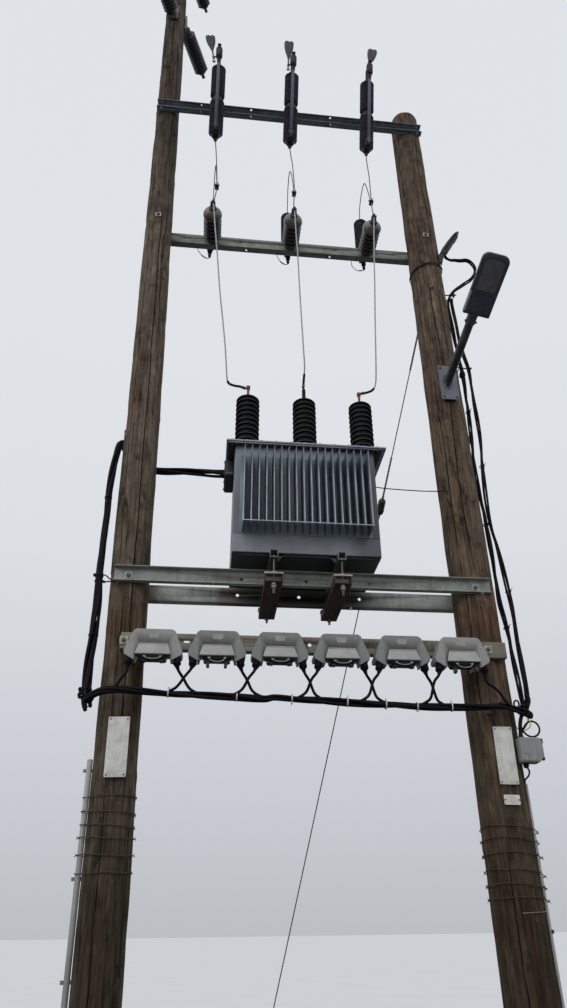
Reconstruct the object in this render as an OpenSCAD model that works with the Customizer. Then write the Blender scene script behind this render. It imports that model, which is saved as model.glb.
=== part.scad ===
// Two-pole distribution substation: a small oil-filled transformer on a
// steel platform between two timber poles, with drop-out fuses above it
// and a row of low voltage fuse units below it.
// Millimetres, +Z up. The origin is the centre of the left pole's foot at
// ground level, +X runs along the crossarms to the right pole, and +Y
// points to the rear.

/* [Poles] */
// Distance between the two pole feet
pole_span = 2100; // [2000:10:2300]
// Height of the left pole above ground
left_pole_h = 11600; // [10800:50:12000]
// Height of the right pole above ground
right_pole_h = 8570; // [8540:10:8800]
// Radius of the left pole at the ground
left_foot_r = 125; // [124:1:130]
// Radius of the right pole at the ground
right_foot_r = 143; // [142:1:150]
// Outward lean of the left pole in degrees
left_lean = 1.592; // [1.3:0.05:1.8]

/* [Steelwork] */
// Height of the channel section
channel_h = 110; // [100:2:116]
// Flange width of the channel section
channel_b = 55; // [50:1:60]
// Thickness of the channel section
channel_t = 6; // [5:0.5:8]
// Top of the platform beams above ground
platform_z = 3457; // [3440:1:3470]

/* [Transformer] */
// Width of the tank
tank_w = 926; // [900:2:940]
// Depth of the tank without its fins
tank_d = 546; // [520:2:560]
// Height of the tank wall
tank_h = 790; // [780:2:800]
// How far the cooling fins stand out
fin_d = 148; // [110:2:160]
// Distance from fin to fin
fin_pitch = 46.6; // [44:0.2:47]

/* [Fuses] */
// Tilt of the drop-out fuses from the vertical in degrees
cutout_tilt = 20; // [18:0.5:22]
// Distance between the low voltage fuse units
unit_pitch = 354; // [350:1:356]

/* [Hidden] */
$fn = 48;

lean = tan(left_lean);
function lx(z) = -lean * z;                                    // left pole axis
function left_r(z) = left_foot_r - z * 27 / 11650;             // left pole radius
function right_r(z) = right_foot_r - z * 15 / 8600;            // right pole radius
rx = pole_span;

// levels of the steelwork
top_z0 = 8210;    top_back = -103;
mid_z0 = 6680;    mid_front = 105;
deck_z0 = platform_z - channel_h;
deck_front = 116;    deck_back = 120;     // webs of the two platform beams
front_h = 100;       rear_h = 107;        // their heights; packing makes up the difference
arm_z0 = 2925;    arm_h = 98;    arm_front = -166;    arm_toe = -116;
bore_r = 10;

// transformer
tank_x0 = 521;    tank_y0 = -286;
tank_z0 = platform_z + 53;
tank_z1 = tank_z0 + tank_h;
lid_t = 12;

// drop-out fuses: waist points, and the tube's line in the tilted frame
cut_x = [240, 928, 1651];
cut_y = -250;     cut_z = 8230;
tube_n = 120;     hinge_s = -360;

// low voltage fuse units
unit_x = [for (i = [0:5]) 108 + i * unit_pitch];
unit_top = 3005;

post_x = [265, 943, 1623];
post_z = 6740;
arr_x = [245, 936, 1621];
bush_x = [601, 1001, 1405];
bush_y = -149;

// ---- sweeping a round tube along a route ----
function unit(v) = v / norm(v);
function lerp(a, b, t) = a + (b - a) * t;
// Catmull-Rom through the route's points, k pieces to each stretch
function cr(p0, p1, p2, p3, t) =
    0.5 * ((2 * p1) + (p2 - p0) * t + (2 * p0 - 5 * p1 + 4 * p2 - p3) * t * t
           + (3 * p1 - p0 - 3 * p2 + p3) * t * t * t);
function smooth(p, k) =
    let (n = len(p))
    concat([for (i = [0:n - 2]) for (j = [0:k - 1])
        cr(p[max(i - 1, 0)], p[i], p[i + 1], p[min(i + 2, n - 1)], j / k)], [p[n - 1]]);
function tangents(q) =
    let (n = len(q))
    [for (i = [0:n - 1]) unit(q[min(i + 1, n - 1)] - q[max(i - 1, 0)])];
function first_normal(t) = unit(cross(t, abs(t[2]) < 0.9 ? [0, 0, 1] : [0, 1, 0]));
function normals(t) =
    let (n = len(t))
    [for (i = 0, m = first_normal(t[0]); i < n;
          i = i + 1, m = i < n ? unit(m - t[i] * (m * t[i])) : m) m];
module tube(route, r, k = 3, sides = 8) {
    q = smooth(route, k);
    t = tangents(q);
    nm = normals(t);
    n = len(q);
    pts = [for (i = [0:n - 1]) let (b = cross(t[i], nm[i]))
           for (j = [0:sides - 1]) q[i] + r * (cos(360 * j / sides) * nm[i] + sin(360 * j / sides) * b)];
    faces = concat([[for (j = [0:sides - 1]) j]],
        [for (i = [0:n - 2]) for (j = [0:sides - 1])
            let (a = i * sides + j, b = i * sides + (j + 1) % sides)
            [b, a, a + sides, b + sides]],
        [[for (j = [sides - 1:-1:0]) (n - 1) * sides + j]]);
    polyhedron(points = pts, faces = faces, convexity = 8);
}

// ---- small shared shapes ----
// channel along X; back is the web's flat face, dir is where the flanges point
module channel(x0, x1, back, dir, z0, h = channel_h, b = channel_b, t = channel_t) {
    translate([x0, 0, 0]) rotate([90, 0, 90]) linear_extrude(height = x1 - x0)
        polygon([[back, z0], [back + dir * b, z0], [back + dir * b, z0 + t],
                 [back + dir * t, z0 + t], [back + dir * t, z0 + h - t],
                 [back + dir * b, z0 + h - t], [back + dir * b, z0 + h], [back, z0 + h]]);
}
module y_hole(x, y0, y1, z, r = bore_r) { translate([x, y0, z]) rotate([-90, 0, 0]) cylinder(h = y1 - y0, r = r); }
module z_hole(x, y, z0, z1, r = bore_r) { translate([x, y, z0]) cylinder(h = z1 - z0, r = r); }
// bolt along Y with a square washer and a hexagon at each end
module y_bolt(x, z, y0, y1, r = 8.5) {
    y_hole(x, y0 - 22, y1 + 30, z, r);
    for (s = [0, 1]) {
        yy = s == 0 ? y0 - 5 : y1;
        translate([x - 24, yy, z - 24]) cube([48, 5, 48]);
        translate([x, s == 0 ? y0 - 18 : y1 + 5, z]) rotate([-90, 0, 0]) cylinder(h = 13, r = 15, $fn = 6);
    }
}
// shedded insulator along +Z from 0 to h
module shed_body(h, r_core, r_shed, n, pitch0 = 0) {
    p = h / n;
    rotate_extrude() polygon(concat([[0, 0], [r_core, 0]],
        [for (i = [0:n - 1]) each [[r_core, i * p + p * 0.18], [r_shed, i * p + p * 0.3],
                                   [r_shed, i * p + p * 0.42], [r_core, i * p + p * 0.8]]],
        [[r_core, h], [0, h]]));
}

// ---- poles ----
module gain(x, w, y0, y1, z0, z1) { translate([x - w / 2, y0, z0]) cube([w, y1 - y0, z1 - z0]); }
module pole_cuts(x_at_top, x_at_mid, x_at_deck, x_at_arm, w) {
    gain(x_at_top, w, -300, top_back, top_z0, top_z0 + channel_h);
    gain(x_at_mid, w, mid_front, 300, mid_z0, mid_z0 + channel_h);
    gain(x_at_deck, w, -300, -deck_front, platform_z - front_h, platform_z);
    gain(x_at_deck, w, deck_back, 300, deck_z0, deck_z0 + rear_h);
    gain(x_at_arm, w, -300, arm_toe, arm_z0, arm_z0 + arm_h);
}
module left_pole() {
    color([0.36, 0.31, 0.25]) difference() {
        rotate([0, -left_lean, 0]) translate([0, 0, -60])
            cylinder(h = left_pole_h + 60, r1 = left_foot_r, r2 = left_foot_r - 27);
        translate([-300, -300, -400]) cube([600, 600, 400]);
        pole_cuts(lx(top_z0 + 55), lx(mid_z0 + 55), lx(deck_z0 + 55), lx(arm_z0 + 49), 500);
        y_hole(-232, -300, 300, top_z0 + 55);
        y_hole(-188, -300, 300, mid_z0 + 55);
        y_hole(-92, -300, 300, deck_z0 + 55);
        y_hole(-72, -300, 300, arm_z0 + 49);
    }
}
module right_pole() {
    color([0.38, 0.32, 0.25]) difference() {
        translate([rx, 0, 0]) cylinder(h = right_pole_h, r1 = right_foot_r, r2 = right_foot_r - 15);
        pole_cuts(rx, rx, rx, rx, 500);
        y_hole(rx, -300, 300, top_z0 + 55);
        y_hole(rx, -300, 300, mid_z0 + 55);
        y_hole(rx - 22, -300, 300, deck_z0 + 55);
        y_hole(rx - 18, -300, 300, arm_z0 + 49);
    }
}

// ---- steelwork ----
module top_arm() {
    color([0.42, 0.44, 0.44]) difference() {
        channel(-320, 2211, top_back, -1, top_z0);
        for (x = [-232, rx]) y_hole(x, -140, -90, top_z0 + 55);
        for (x = [560, 1321]) z_hole(x, -136, top_z0 - 5, top_z0 + channel_h + 5);
    }
}
module middle_arm() {
    color([0.5, 0.52, 0.5]) difference() {
        channel(-258, 2190, mid_front, 1, mid_z0);
        for (x = [-188, rx, 508, 1348]) y_hole(x, 90, 140, mid_z0 + 55);
        for (x = [562, 1298]) z_hole(x, 138, mid_z0 - 5, mid_z0 + 20);
    }
}
module platform_front_beam() {
    color([0.5, 0.53, 0.5]) difference() {
        channel(-178, 2177, -deck_front, -1, platform_z - front_h, front_h, 40);
        for (x = [-92, rx - 22, 594, 992, 1393]) y_hole(x, -150, -100, deck_z0 + 55);
        z_hole(2115, -140, deck_z0 - 5, deck_z0 + 20);
    }
}
module platform_rear_beam() {
    color([0.5, 0.53, 0.5]) difference() {
        channel(-178, 2177, deck_back, 1, deck_z0, rear_h);
        for (x = [-92, rx - 22, 576, 975, 1375]) y_hole(x, 100, 150, deck_z0 + 55);
        z_hole(1322, 150, deck_z0 - 5, deck_z0 + 20);
    }
}
module fuse_arm() {
    color([0.45, 0.44, 0.38]) difference() {
        channel(-92, 2196, arm_front, 1, arm_z0, arm_h, arm_toe - arm_front);
        for (x = [-72, rx - 18, 1000]) y_hole(x, -200, -140, arm_z0 + 49);
    }
}
module through_bolts() {
    color([0.5, 0.5, 0.48]) {
        z1 = top_z0 + 55;
        y_bolt(-232, z1, top_back - channel_t, left_r(z1) + 1);
        y_bolt(rx, z1, top_back - channel_t, right_r(z1) + 1);
        z2 = mid_z0 + 55;
        y_bolt(-188, z2, -left_r(z2) - 1, mid_front + channel_t);
        y_bolt(rx, z2, -right_r(z2) - 1, mid_front + channel_t);
        z3 = deck_z0 + 55;
        y_bolt(-92, z3, -deck_front - channel_t, deck_back + channel_t);
        y_bolt(rx - 22, z3, -deck_front - channel_t, deck_back + channel_t);
        z4 = arm_z0 + 49;
        y_bolt(-72, z4, arm_front, left_r(z4) + 1);
        y_bolt(rx - 18, z4, arm_front, right_r(z4) + 1);
    }
}

// ---- hold-down gear under the platform ----
skid_x = [775, 1188];
module hold_down_channels() {
    color([0.3, 0.2, 0.16]) for (x = skid_x) {
        difference() {
            translate([x, 260, deck_z0]) rotate([90, 0, 0]) linear_extrude(height = 600)
                polygon([[-52.5, 0], [-52.5, -50], [52.5, -50], [52.5, 0], [46.5, 0], [46.5, -44], [-46.5, -44], [-46.5, 0]]);
            for (y = [-315, 235]) z_hole(x, y, deck_z0 - 60, deck_z0 - 30, 9);
        }
        // packing under the shallower front beam
        translate([x - 52.5, -deck_front - 38, deck_z0 - 0.5]) cube([105, 36, channel_h - front_h + 0.5]);
    }
}
module hold_down_rods() {
    color([0.45, 0.43, 0.4]) for (x = skid_x) {
        // front: rod from below the channel up into the runner's end
        translate([x, -315, deck_z0 - 116]) cylinder(h = platform_z + 22 - deck_z0 + 116, r = 7.5);
        translate([x - 58, -340, deck_z0]) cube([116, 50, 11]);
        translate([x, -315, deck_z0 + 11]) cylinder(h = 12, r = 14, $fn = 6);
        translate([x, -315, deck_z0 - 64]) cylinder(h = 14, r = 15, $fn = 6);
        translate([x, -315, deck_z0 - 82]) cylinder(h = 14, r = 15, $fn = 6);
        translate([x, -315, platform_z + 5]) cylinder(h = 12, r = 13, $fn = 6);
        // rear: bolt up into the runner
        translate([x, 235, deck_z0 - 85]) cylinder(h = platform_z + 22 - deck_z0 + 85, r = 7.5);
        translate([x - 58, 210, deck_z0]) cube([116, 50, 11]);
        translate([x, 235, deck_z0 - 64]) cylinder(h = 14, r = 15, $fn = 6);
        translate([x, 235, platform_z + 5]) cylinder(h = 12, r = 13, $fn = 6);
    }
}

// ---- transformer ----
module transformer_base() {
    // square hollow runners that stand out in front of and behind the tank
    color([0.2, 0.22, 0.23]) for (x = skid_x) difference() {
        translate([x - 25, tank_y0 - 50, platform_z]) cube([50, tank_d + 100, 53]);
        translate([x - 20, tank_y0 - 51, platform_z + 5]) cube([40, tank_d + 102, 43]);
        z_hole(x, -315, platform_z - 5, platform_z + 10, 9);
        z_hole(x, 235, platform_z - 5, platform_z + 10, 9);
    }
    // packing on the rear beam
    color([0.2, 0.22, 0.23]) for (x = skid_x)
        translate([x - 24, deck_back + 3, deck_z0 + rear_h]) cube([48, 48, platform_z - deck_z0 - rear_h + 0.5]);
}
module transformer_tank() {
    color([0.38, 0.42, 0.44]) {
        translate([tank_x0, tank_y0, tank_z0]) cube([tank_w, tank_d, tank_h - 12]);
        translate([tank_x0 - 50, tank_y0 - 38, tank_z1 - 12]) cube([tank_w + 100, tank_d + 76, 12]);
    }
}
fin_n = 18;
fin_x0 = 582;
fin_z0 = 3644;    fin_z1 = 4205;
module fin_row(y0, dir) {
    for (i = [0:fin_n - 1])
        translate([fin_x0 + i * fin_pitch - 5, dir < 0 ? y0 - fin_d : y0, fin_z0]) cube([10, fin_d, fin_z1 - fin_z0]);
    // bar welded across the fins' lower ends
    translate([fin_x0 - 8, dir < 0 ? y0 - fin_d - 6 : y0 + fin_d, fin_z0]) cube([fin_pitch * (fin_n - 1) + 16, 6, 10]);
}
module cooling_fins() {
    color([0.36, 0.4, 0.43]) { fin_row(tank_y0, -1); fin_row(tank_y0 + tank_d, 1); }
}
module transformer_lid() {
    color([0.4, 0.44, 0.46]) difference() {
        translate([tank_x0 - 58, tank_y0 - 44, tank_z1]) cube([tank_w + 136, tank_d + 88, lid_t]);
    }
}
module high_voltage_bushings() {
    color([0.1, 0.09, 0.09]) for (x = bush_x) translate([x, bush_y, tank_z1 + lid_t]) {
        cylinder(h = 40, r = 68);
        translate([0, 0, 40]) shed_body(410, 68, 83, 10);
        translate([0, 0, 450]) rotate_extrude() polygon([[0, 0], [80, 0], [72, 16], [52, 28], [22, 36], [0, 36]]);
        translate([0, 0, 484]) cylinder(h = 120, r = 9);
    }
}
module low_voltage_box() {
    color([0.13, 0.14, 0.15]) translate([tank_x0 - 60, -130, 4160]) cube([60, 230, 128]);
}

// ---- drop-out fuses ----
module at_cutout(i) { translate([cut_x[i], cut_y, cut_z]) rotate([cutout_tilt, 0, 0]) children(); }
module cutout_insulators() {
    color([0.12, 0.1, 0.1]) for (i = [0:2]) at_cutout(i) {
        translate([0, 0, -30]) cylinder(h = 60, r = 34);
        translate([0, 0, 30]) shed_body(305, 34, 66, 7);
        translate([0, 0, -30]) mirror([0, 0, 1]) shed_body(335, 34, 66, 8);
    }
}
// hoods on the top contacts: lower end and upper end of each
hood_a = [[190, -440, 8560], [886, -440, 8560], [1664, -440, 8662]];
hood_b = [[142, -450, 8905], [896, -450, 8955], [1716, -450, 8975]];
module between(a, b) {
    d = b - a;
    translate(a) rotate([0, acos(d[2] / norm(d)), atan2(d[1], d[0])]) children();
}
module cutout_fittings() {
    color([0.45, 0.45, 0.43]) for (i = [0:2]) {
        at_cutout(i) {
            // band round the waist
            difference() {
                translate([0, 0, -20]) cylinder(h = 40, r = 43);
                translate([0, 0, -25]) cylinder(h = 50, r = 35);
            }
            // top cap, post and the plate over the tube's head
            translate([0, 0, 335]) cylinder(h = 30, r = 30);
            translate([-14, -8, 365]) cube([28, 16, 108]);
            translate([-14, -146, 463]) cube([28, 138, 10]);
            // bottom cap with the hinge's two cheeks
            translate([0, 0, -395]) cylinder(h = 30, r = 30);
            for (sx = [-1, 1]) difference() {
                union() {
                    translate([sx * 23 - 3, -tube_n - 14, -384]) cube([6, 46, 44]);
                    translate([sx * 23 - 3, -tube_n - 14, -384]) cube([6, 110, 16]);
                }
                translate([sx * 23 - 5, -tube_n, hinge_s]) rotate([0, 90, 0]) cylinder(h = 10, r = 6);
            }
            translate([-26, -40, -384]) cube([52, 16, 10]);
            translate([0, 0, -415]) cylinder(h = 20, r = 10);
        }
        // flared hood beside the tube's head
        between(hood_a[i], hood_b[i]) {
            cylinder(h = 130, r = 9);
            translate([0, 0, 130]) cylinder(h = norm(hood_b[i] - hood_a[i]) - 130, r1 = 9, r2 = 46);
        }
        if (i < 2) between([cut_x[i], -434, 8618], hood_a[i] + [0, 0, 30]) cylinder(h = norm(hood_a[i] + [0, 0, 30] - [cut_x[i], -434, 8618]), r = 7);
        else between([cut_x[i], -420, 8655], hood_a[i] + [0, 0, 8]) cylinder(h = norm(hood_a[i] + [0, 0, 8] - [cut_x[i], -420, 8655]), r = 7);
        // bracket from the band to the crossarm
        difference() {
            union() {
                translate([cut_x[i] - 20, -166, top_z0 - 10]) cube([40, 8, channel_h + 18]);
                translate([cut_x[i] - 20, -158, top_z0 + channel_h]) cube([40, 50, 8]);
                translate([cut_x[i] - 20, -225, cut_z + 6]) cube([40, 60, 10]);
            }
            at_cutout(i) translate([0, 0, -45]) cylinder(h = 90, r = 42.9);
            at_cutout(i) translate([0, 0, 22]) cylinder(h = 300, r = 69);
        }
    }
}
module fuse_tube(i) {
    color([0.5, 0.52, 0.53]) at_cutout(i) translate([0, -tube_n, 0]) {
        // barrel
        difference() {
            translate([0, 0, -398]) cylinder(h = 778, r = 14);
            translate([0, 0, -403]) cylinder(h = 60, r = 9);
        }
        // lower trunnion on the hinge
        translate([-19, 0, hinge_s]) rotate([0, 90, 0]) cylinder(h = 38, r = 9);
        translate([-26, 0, hinge_s]) rotate([0, 90, 0]) cylinder(h = 52, r = 5);
        // upper ferrule, cap and pull ring
        translate([0, 0, 330]) cylinder(h = 50, r = 19);
        translate([0, 0, 380]) cylinder(h = 70, r1 = 24, r2 = 20);
        translate([0, -50, 352]) rotate([0, 90, 0]) rotate_extrude() translate([24, 0]) circle(r = 5);
        translate([-5, -24, 346]) cube([10, 8, 12]);
    }
}
module fuse_tube_left() { fuse_tube(0); }
module fuse_tube_middle() { fuse_tube(1); }
module fuse_tube_right() { fuse_tube(2); }

// ---- insulators and arresters of the middle arm and the left pole ----
module post_insulators() {
    color([0.3, 0.28, 0.26]) for (x = post_x) translate([x, 75, post_z]) rotate([90, 0, 0]) {
        shed_body(190, 42, 66, 5);
        translate([0, 0, 190]) rotate_extrude() polygon([[0, 0], [50, 0], [79, 22], [79, 40], [62, 70], [38, 92], [0, 92]]);
    }
}
arr_y = 219;
module surge_arresters() {
    color([0.13, 0.12, 0.12]) for (x = arr_x) translate([x, arr_y, mid_z0 + channel_h + 8]) {
        cylinder(h = 12, r = 34);
        translate([0, 0, 12]) shed_body(470, 34, 61, 9);
        translate([0, 0, 482]) cylinder(h = 22, r = 26);
        translate([0, 0, 504]) cylinder(h = 30, r = 8);
    }
}
line_posts = [[-160, 45, 9960, 68.5], [-300, -112, 9960, -110], [-200, 45, 11400, 68.5]];
module line_post_insulators() {
    color([0.2, 0.18, 0.17]) for (p = line_posts)
        translate([p[0], p[1], p[2]]) rotate([0, 0, p[3]]) rotate([0, 90, 0]) translate([0, 0, 40]) {
            shed_body(410, 42, 80, 9);
            translate([0, 0, 410]) cylinder(h = 16, r1 = 44, r2 = 36);
        }
}
module insulator_fittings() {
    color([0.47, 0.48, 0.47]) {
        for (x = post_x) {
            translate([x, 105, post_z]) rotate([90, 0, 0]) cylinder(h = 30, r = 46);
            translate([x, -207, post_z]) rotate([90, 0, 0]) cylinder(h = 24, r = 30);
            translate([x - 20, -262, post_z + 2]) cube([40, 31, 34]);
        }
        for (x = arr_x) {
            translate([x - 28, 112, mid_z0 + channel_h]) cube([56, 160, 8]);
            translate([x, arr_y, 6700]) cylinder(h = mid_z0 + channel_h - 6700, r = 20);
            translate([x, arr_y, 6650]) cylinder(h = 50, r = 12);
        }
        for (p = line_posts) translate([p[0], p[1], p[2]]) rotate([0, 0, p[3]])
            translate([466, -15, -20]) cube([50, 30, 40]);
        // base plates against the left pole, and the insulators' feet
        difference() {
            union() {
                translate([-200, -36, 9850]) cube([44, 130, 250]);
                translate([-360, -125, 9850]) cube([120, 60, 250]);
                translate([-240, -36, 11290]) cube([44, 130, 250]);
                for (p = line_posts) translate([p[0], p[1], p[2]]) rotate([0, 0, p[3]]) rotate([0, 90, 0]) cylinder(h = 40, r = 42);
            }
            rotate([0, -left_lean, 0]) translate([0, 0, -60])
                cylinder(h = left_pole_h + 60, r1 = left_foot_r + 0.3, r2 = left_foot_r - 26.7);
            for (p = line_posts) translate([p[0], p[1], p[2]]) rotate([0, 0, p[3]]) rotate([0, 90, 0]) translate([0, 0, 40]) cylinder(h = 200, r = 43);
        }
    }
}

// ---- low voltage fuse units ----
module housing_outline() {
    polygon([[-100, 0], [-112, -6], [-118, -16], [-150, -66], [-164, -132], [-160, -160], [-150, -170],
             [-112, -190], [-106, -186], [106, -186], [112, -190], [150, -170], [160, -160], [164, -132],
             [150, -66], [118, -16], [112, -6], [100, 0]]);
}
module fuse_housing(x) {
    translate([x, 0, unit_top]) difference() {
        union() {
            translate([0, arm_front, 0]) rotate([90, 0, 0]) linear_extrude(height = 114) housing_outline();
        }
        // recess that holds the carrier, open to the front and below
        translate([-105, -320, -260]) cube([210, 128, 177]);
        // the back wall ends above the carrier's body, so the sky shows under it
        translate([-96, -200, -260]) cube([192, 60, 122]);
        // cable glands in the two lobes
        for (s = [-1, 1]) translate([s * 134, -236, -200]) cylinder(h = 60, r = 14);
    }
}
module fuse_housings() {
    color([0.47, 0.47, 0.46]) for (x = unit_x) fuse_housing(x);
}
carrier_hy = -284;   carrier_hz = -94;   // hinge line, from the unit's top
module fuse_carrier(i) {
    translate([unit_x[i], 0, unit_top]) {
        color([0.62, 0.62, 0.6]) {
            // ribbed cover that slopes out to its lower edge
            translate([0, 0, 0]) rotate([90, 0, 90]) translate([0, 0, -78]) linear_extrude(height = 156)
                polygon([[-202, -91], [-286, -91], [-308, -152], [-308, -156], [-202, -156]]);
            for (s = [-1, 1]) translate([s * 88 - 11, 0, 0]) rotate([90, 0, 90]) linear_extrude(height = 22)
                polygon([[-240, -110], [-292, -110], [-308, -152], [-308, -156], [-240, -156]]);
        }
        color([0.08, 0.08, 0.08]) {
            // fuse-link body under it, with the pull handle and two prongs
            translate([-66, -290, -196]) cube([132, 80, 40]);
            for (s = [-1, 1]) translate([s * 52 - 7, -284, -234]) cube([14, 30, 38]);
            difference() {
                translate([0, -302, -168]) rotate([-90, 0, 0]) cylinder(h = 12, r = 58);
                translate([0, -304, -168]) rotate([-90, 0, 0]) cylinder(h = 16, r = 48);
                translate([-80, -306, -156]) cube([160, 20, 80]);
            }
        }
        color([0.3, 0.3, 0.3]) translate([-104, carrier_hy, carrier_hz]) rotate([0, 90, 0]) cylinder(h = 208, r = 5);
    }
}
module fuse_carrier_1() { fuse_carrier(0); }
module fuse_carrier_2() { fuse_carrier(1); }
module fuse_carrier_3() { fuse_carrier(2); }
module fuse_carrier_4() { fuse_carrier(3); }
module fuse_carrier_5() { fuse_carrier(4); }
module fuse_carrier_6() { fuse_carrier(5); }

// ---- wires and cables ----
// from each drop-out fuse down through a parallel clamp to the post
// insulator's head, on to the bushing, and up to the arrester
jump_a = [
    [[240, -108, 7838], [252, -108, 7700], [264, -108, 7540], [278, -105, 7300], [282, -105, 7180], [280, -130, 7060], [274, -170, 6940], [270, -215, 6820], [266, -238, 6782]],
    [[928, -108, 7838], [938, -108, 7700], [950, -108, 7600], [964, -105, 7320], [962, -108, 7180], [958, -125, 7080], [948, -180, 6920], [945, -215, 6820], [943, -238, 6782]],
    [[1651, -108, 7838], [1648, -108, 7740], [1658, -105, 7500], [1656, -105, 7240], [1652, -115, 7140], [1640, -160, 7000], [1632, -200, 6860], [1626, -225, 6810], [1623, -238, 6782]]];
jump_b = [
    [[266, -270, 6770], [278, -279, 6640], [301, -290, 6370], [330, -300, 6067], [366, -290, 5680], [400, -262, 5400], [425, -236, 5180], [440, -205, 5010], [448, -190, 4935], [462, -178, 4904], [500, -165, 4898], [545, -155, 4900], [582, -149, 4892]],
    [[944, -270, 6770], [944, -279, 6640], [950, -290, 6400], [960, -298, 6120], [970, -284, 5790], [985, -250, 5480], [998, -218, 5240], [1008, -180, 5100], [1004, -158, 5020], [998, -149, 4928]],
    [[1621, -270, 6770], [1608, -279, 6640], [1584, -290, 6300], [1562, -292, 5900], [1548, -262, 5560], [1540, -230, 5280], [1536, -188, 5060], [1528, -170, 4980], [1505, -158, 4940], [1460, -150, 4920], [1423, -149, 4911]]];
jump_c = [
    [[245, 219, 7334], [244, 200, 7480], [246, 130, 7610], [252, 30, 7650], [262, -50, 7520], [274, -92, 7320], [282, -100, 7195]],
    [[936, 219, 7334], [936, 200, 7480], [936, 130, 7620], [940, 30, 7670], [948, -50, 7520], [956, -92, 7320], [962, -100, 7195]],
    [[1621, 219, 7334], [1622, 200, 7440], [1630, 120, 7560], [1642, 30, 7600], [1642, -50, 7420], [1646, -90, 7250], [1652, -100, 7170]]];
jump_e = [
    [[245, 219, 6643], [222, 216, 6632], [182, 198, 6640], [152, 172, 6660], [140, 156, 6672]],
    [[936, 219, 6643], [913, 216, 6632], [873, 198, 6636], [843, 172, 6658], [830, 156, 6672]],
    [[1621, 219, 6643], [1598, 216, 6632], [1548, 200, 6614], [1506, 182, 6640], [1496, 158, 6671]]];
clamp_z = [7180, 7180, 7155];
clamp_x = [282, 961, 1652];
module jumpers() {
    color([0.09, 0.09, 0.1]) for (i = [0:2]) {
        difference() {
            union() {
                tube(jump_a[i], 6, 3);
                tube(jump_e[i], 5, 3);
            }
            translate([clamp_x[i] - 17, -130, clamp_z[i] - 29]) cube([34, 46, 58]);
        }
        difference() {
            tube(jump_c[i], 5, 3);
            translate([clamp_x[i] - 40, -160, clamp_z[i] - 129]) cube([80, 100, 158]);
        }
        tube(jump_b[i], 6, 3);
        translate([clamp_x[i] - 17, -130, clamp_z[i] - 29]) cube([34, 46, 58]);
    }
}
riser_l = [[451, 0, 4250], [380, 20, 4262], [240, 62, 4292], [10, 130, 4332], [-120, 168, 4388], [-220, 148, 4470],
           [-278, 70, 4505], [-298, 10, 4160], [-288, -20, 3815], [-283, -40, 3553], [-278, -50, 3432], [-264, -60, 3235],
           [-262, -70, 3048], [-260, -90, 2859], [-254, -110, 2720], [-244, -126, 2650]];
riser_r = [[2262, -130, 2620], [2276, -90, 2680], [2290, -40, 2900], [2288, -10, 3200], [2276, 0, 3376], [2280, 0, 3634], [2266, 0, 4016],
           [2258, 0, 4315], [2262, 0, 4524], [2281, 0, 5038], [2282, 0, 5298], [2266, 0, 5557], [2260, 0, 6000], [2270, 0, 6110],
           [2320, 0, 6210], [2410, 0, 6298], [2505, 0, 6388], [2562, 0, 6500], [2538, 0, 6584], [2490, -4, 6612], [2428, -8, 6596], [2372, -14, 6588], [2330, -24, 6570], [2289, -40, 6566], [2280, -54, 6576], [2276, -66, 6592]];
riser_q = [[2272, -130, 2620], [2310, -90, 2690], [2336, -40, 2900], [2346, -10, 3200], [2350, 0, 3380], [2330, 0, 3722], [2304, 0, 4019],
           [2312, 0, 4387], [2336, 0, 4737], [2338, 0, 5043], [2342, 0, 5310], [2316, 0, 5500], [2304, 0, 5650], [2294, 0, 5900], [2292, 0, 6051], [2294, 0, 6120]];
box_lead = [[2254, -140, 2612], [2230, -146, 2580], [2214, -146, 2530], [2208, -146, 2460]];
function bundle_top(x) = 2685 - 0.034 * x;
function unit_drop(i, s) =
    let (x = unit_x[i], zt = unit_top - 201)
    i == 5 && s == 1 ?
        [[x + s * 134, -236, zt], [x + s * 142, -232, zt - 50], [x + 200, -222, 2712], [x + 245, -214, 2650], [x + 275, -200, 2622]] :
    i == 0 && s == -1 ?
        [[x + s * 134, -236, zt], [x + s * 140, -236, zt - 40], [x - 165, -226, 2730], [x - 195, -216, 2680], [x - 215, -208, 2664]] :
        let (b = bundle_top(x + s * 235))
        [[x + s * 134, -236, zt], [x + s * 146, -234 + s * 8, zt - 24], [x + s * 174, -222 + s * 17, 2744],
         [x + s * 197, -214 + s * 14, b + 34], [x + s * 220, -214 + s * 10, b + 8], [x + s * 258, -214 + s * 6, b - 12]];
bundle = [[-258, -110, 2660], [-246, -130, 2638], [-200, -186, 2652], [-130, -206, 2672], [-10, -210, 2674], [200, -212, 2660], [360, -212, 2652],
          [550, -212, 2646], [730, -212, 2634], [820, -212, 2644], [1150, -212, 2628], [1400, -212, 2616],
          [1740, -212, 2608], [1960, -212, 2616], [2090, -206, 2622], [2190, -180, 2612], [2262, -140, 2604]];
module low_voltage_cables() {
    color([0.07, 0.07, 0.08]) {
        tube(riser_l, 22, 3, 10);
        tube(riser_r, 14, 3, 8);
        tube(riser_q, 14, 3, 8);
        tube(bundle, 22, 3, 10);
        tube(box_lead, 11, 3, 8);
        for (i = [0:5]) for (s = [-1, 1]) tube(unit_drop(i, s), 9, 3, 8);
    }
}

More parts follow.
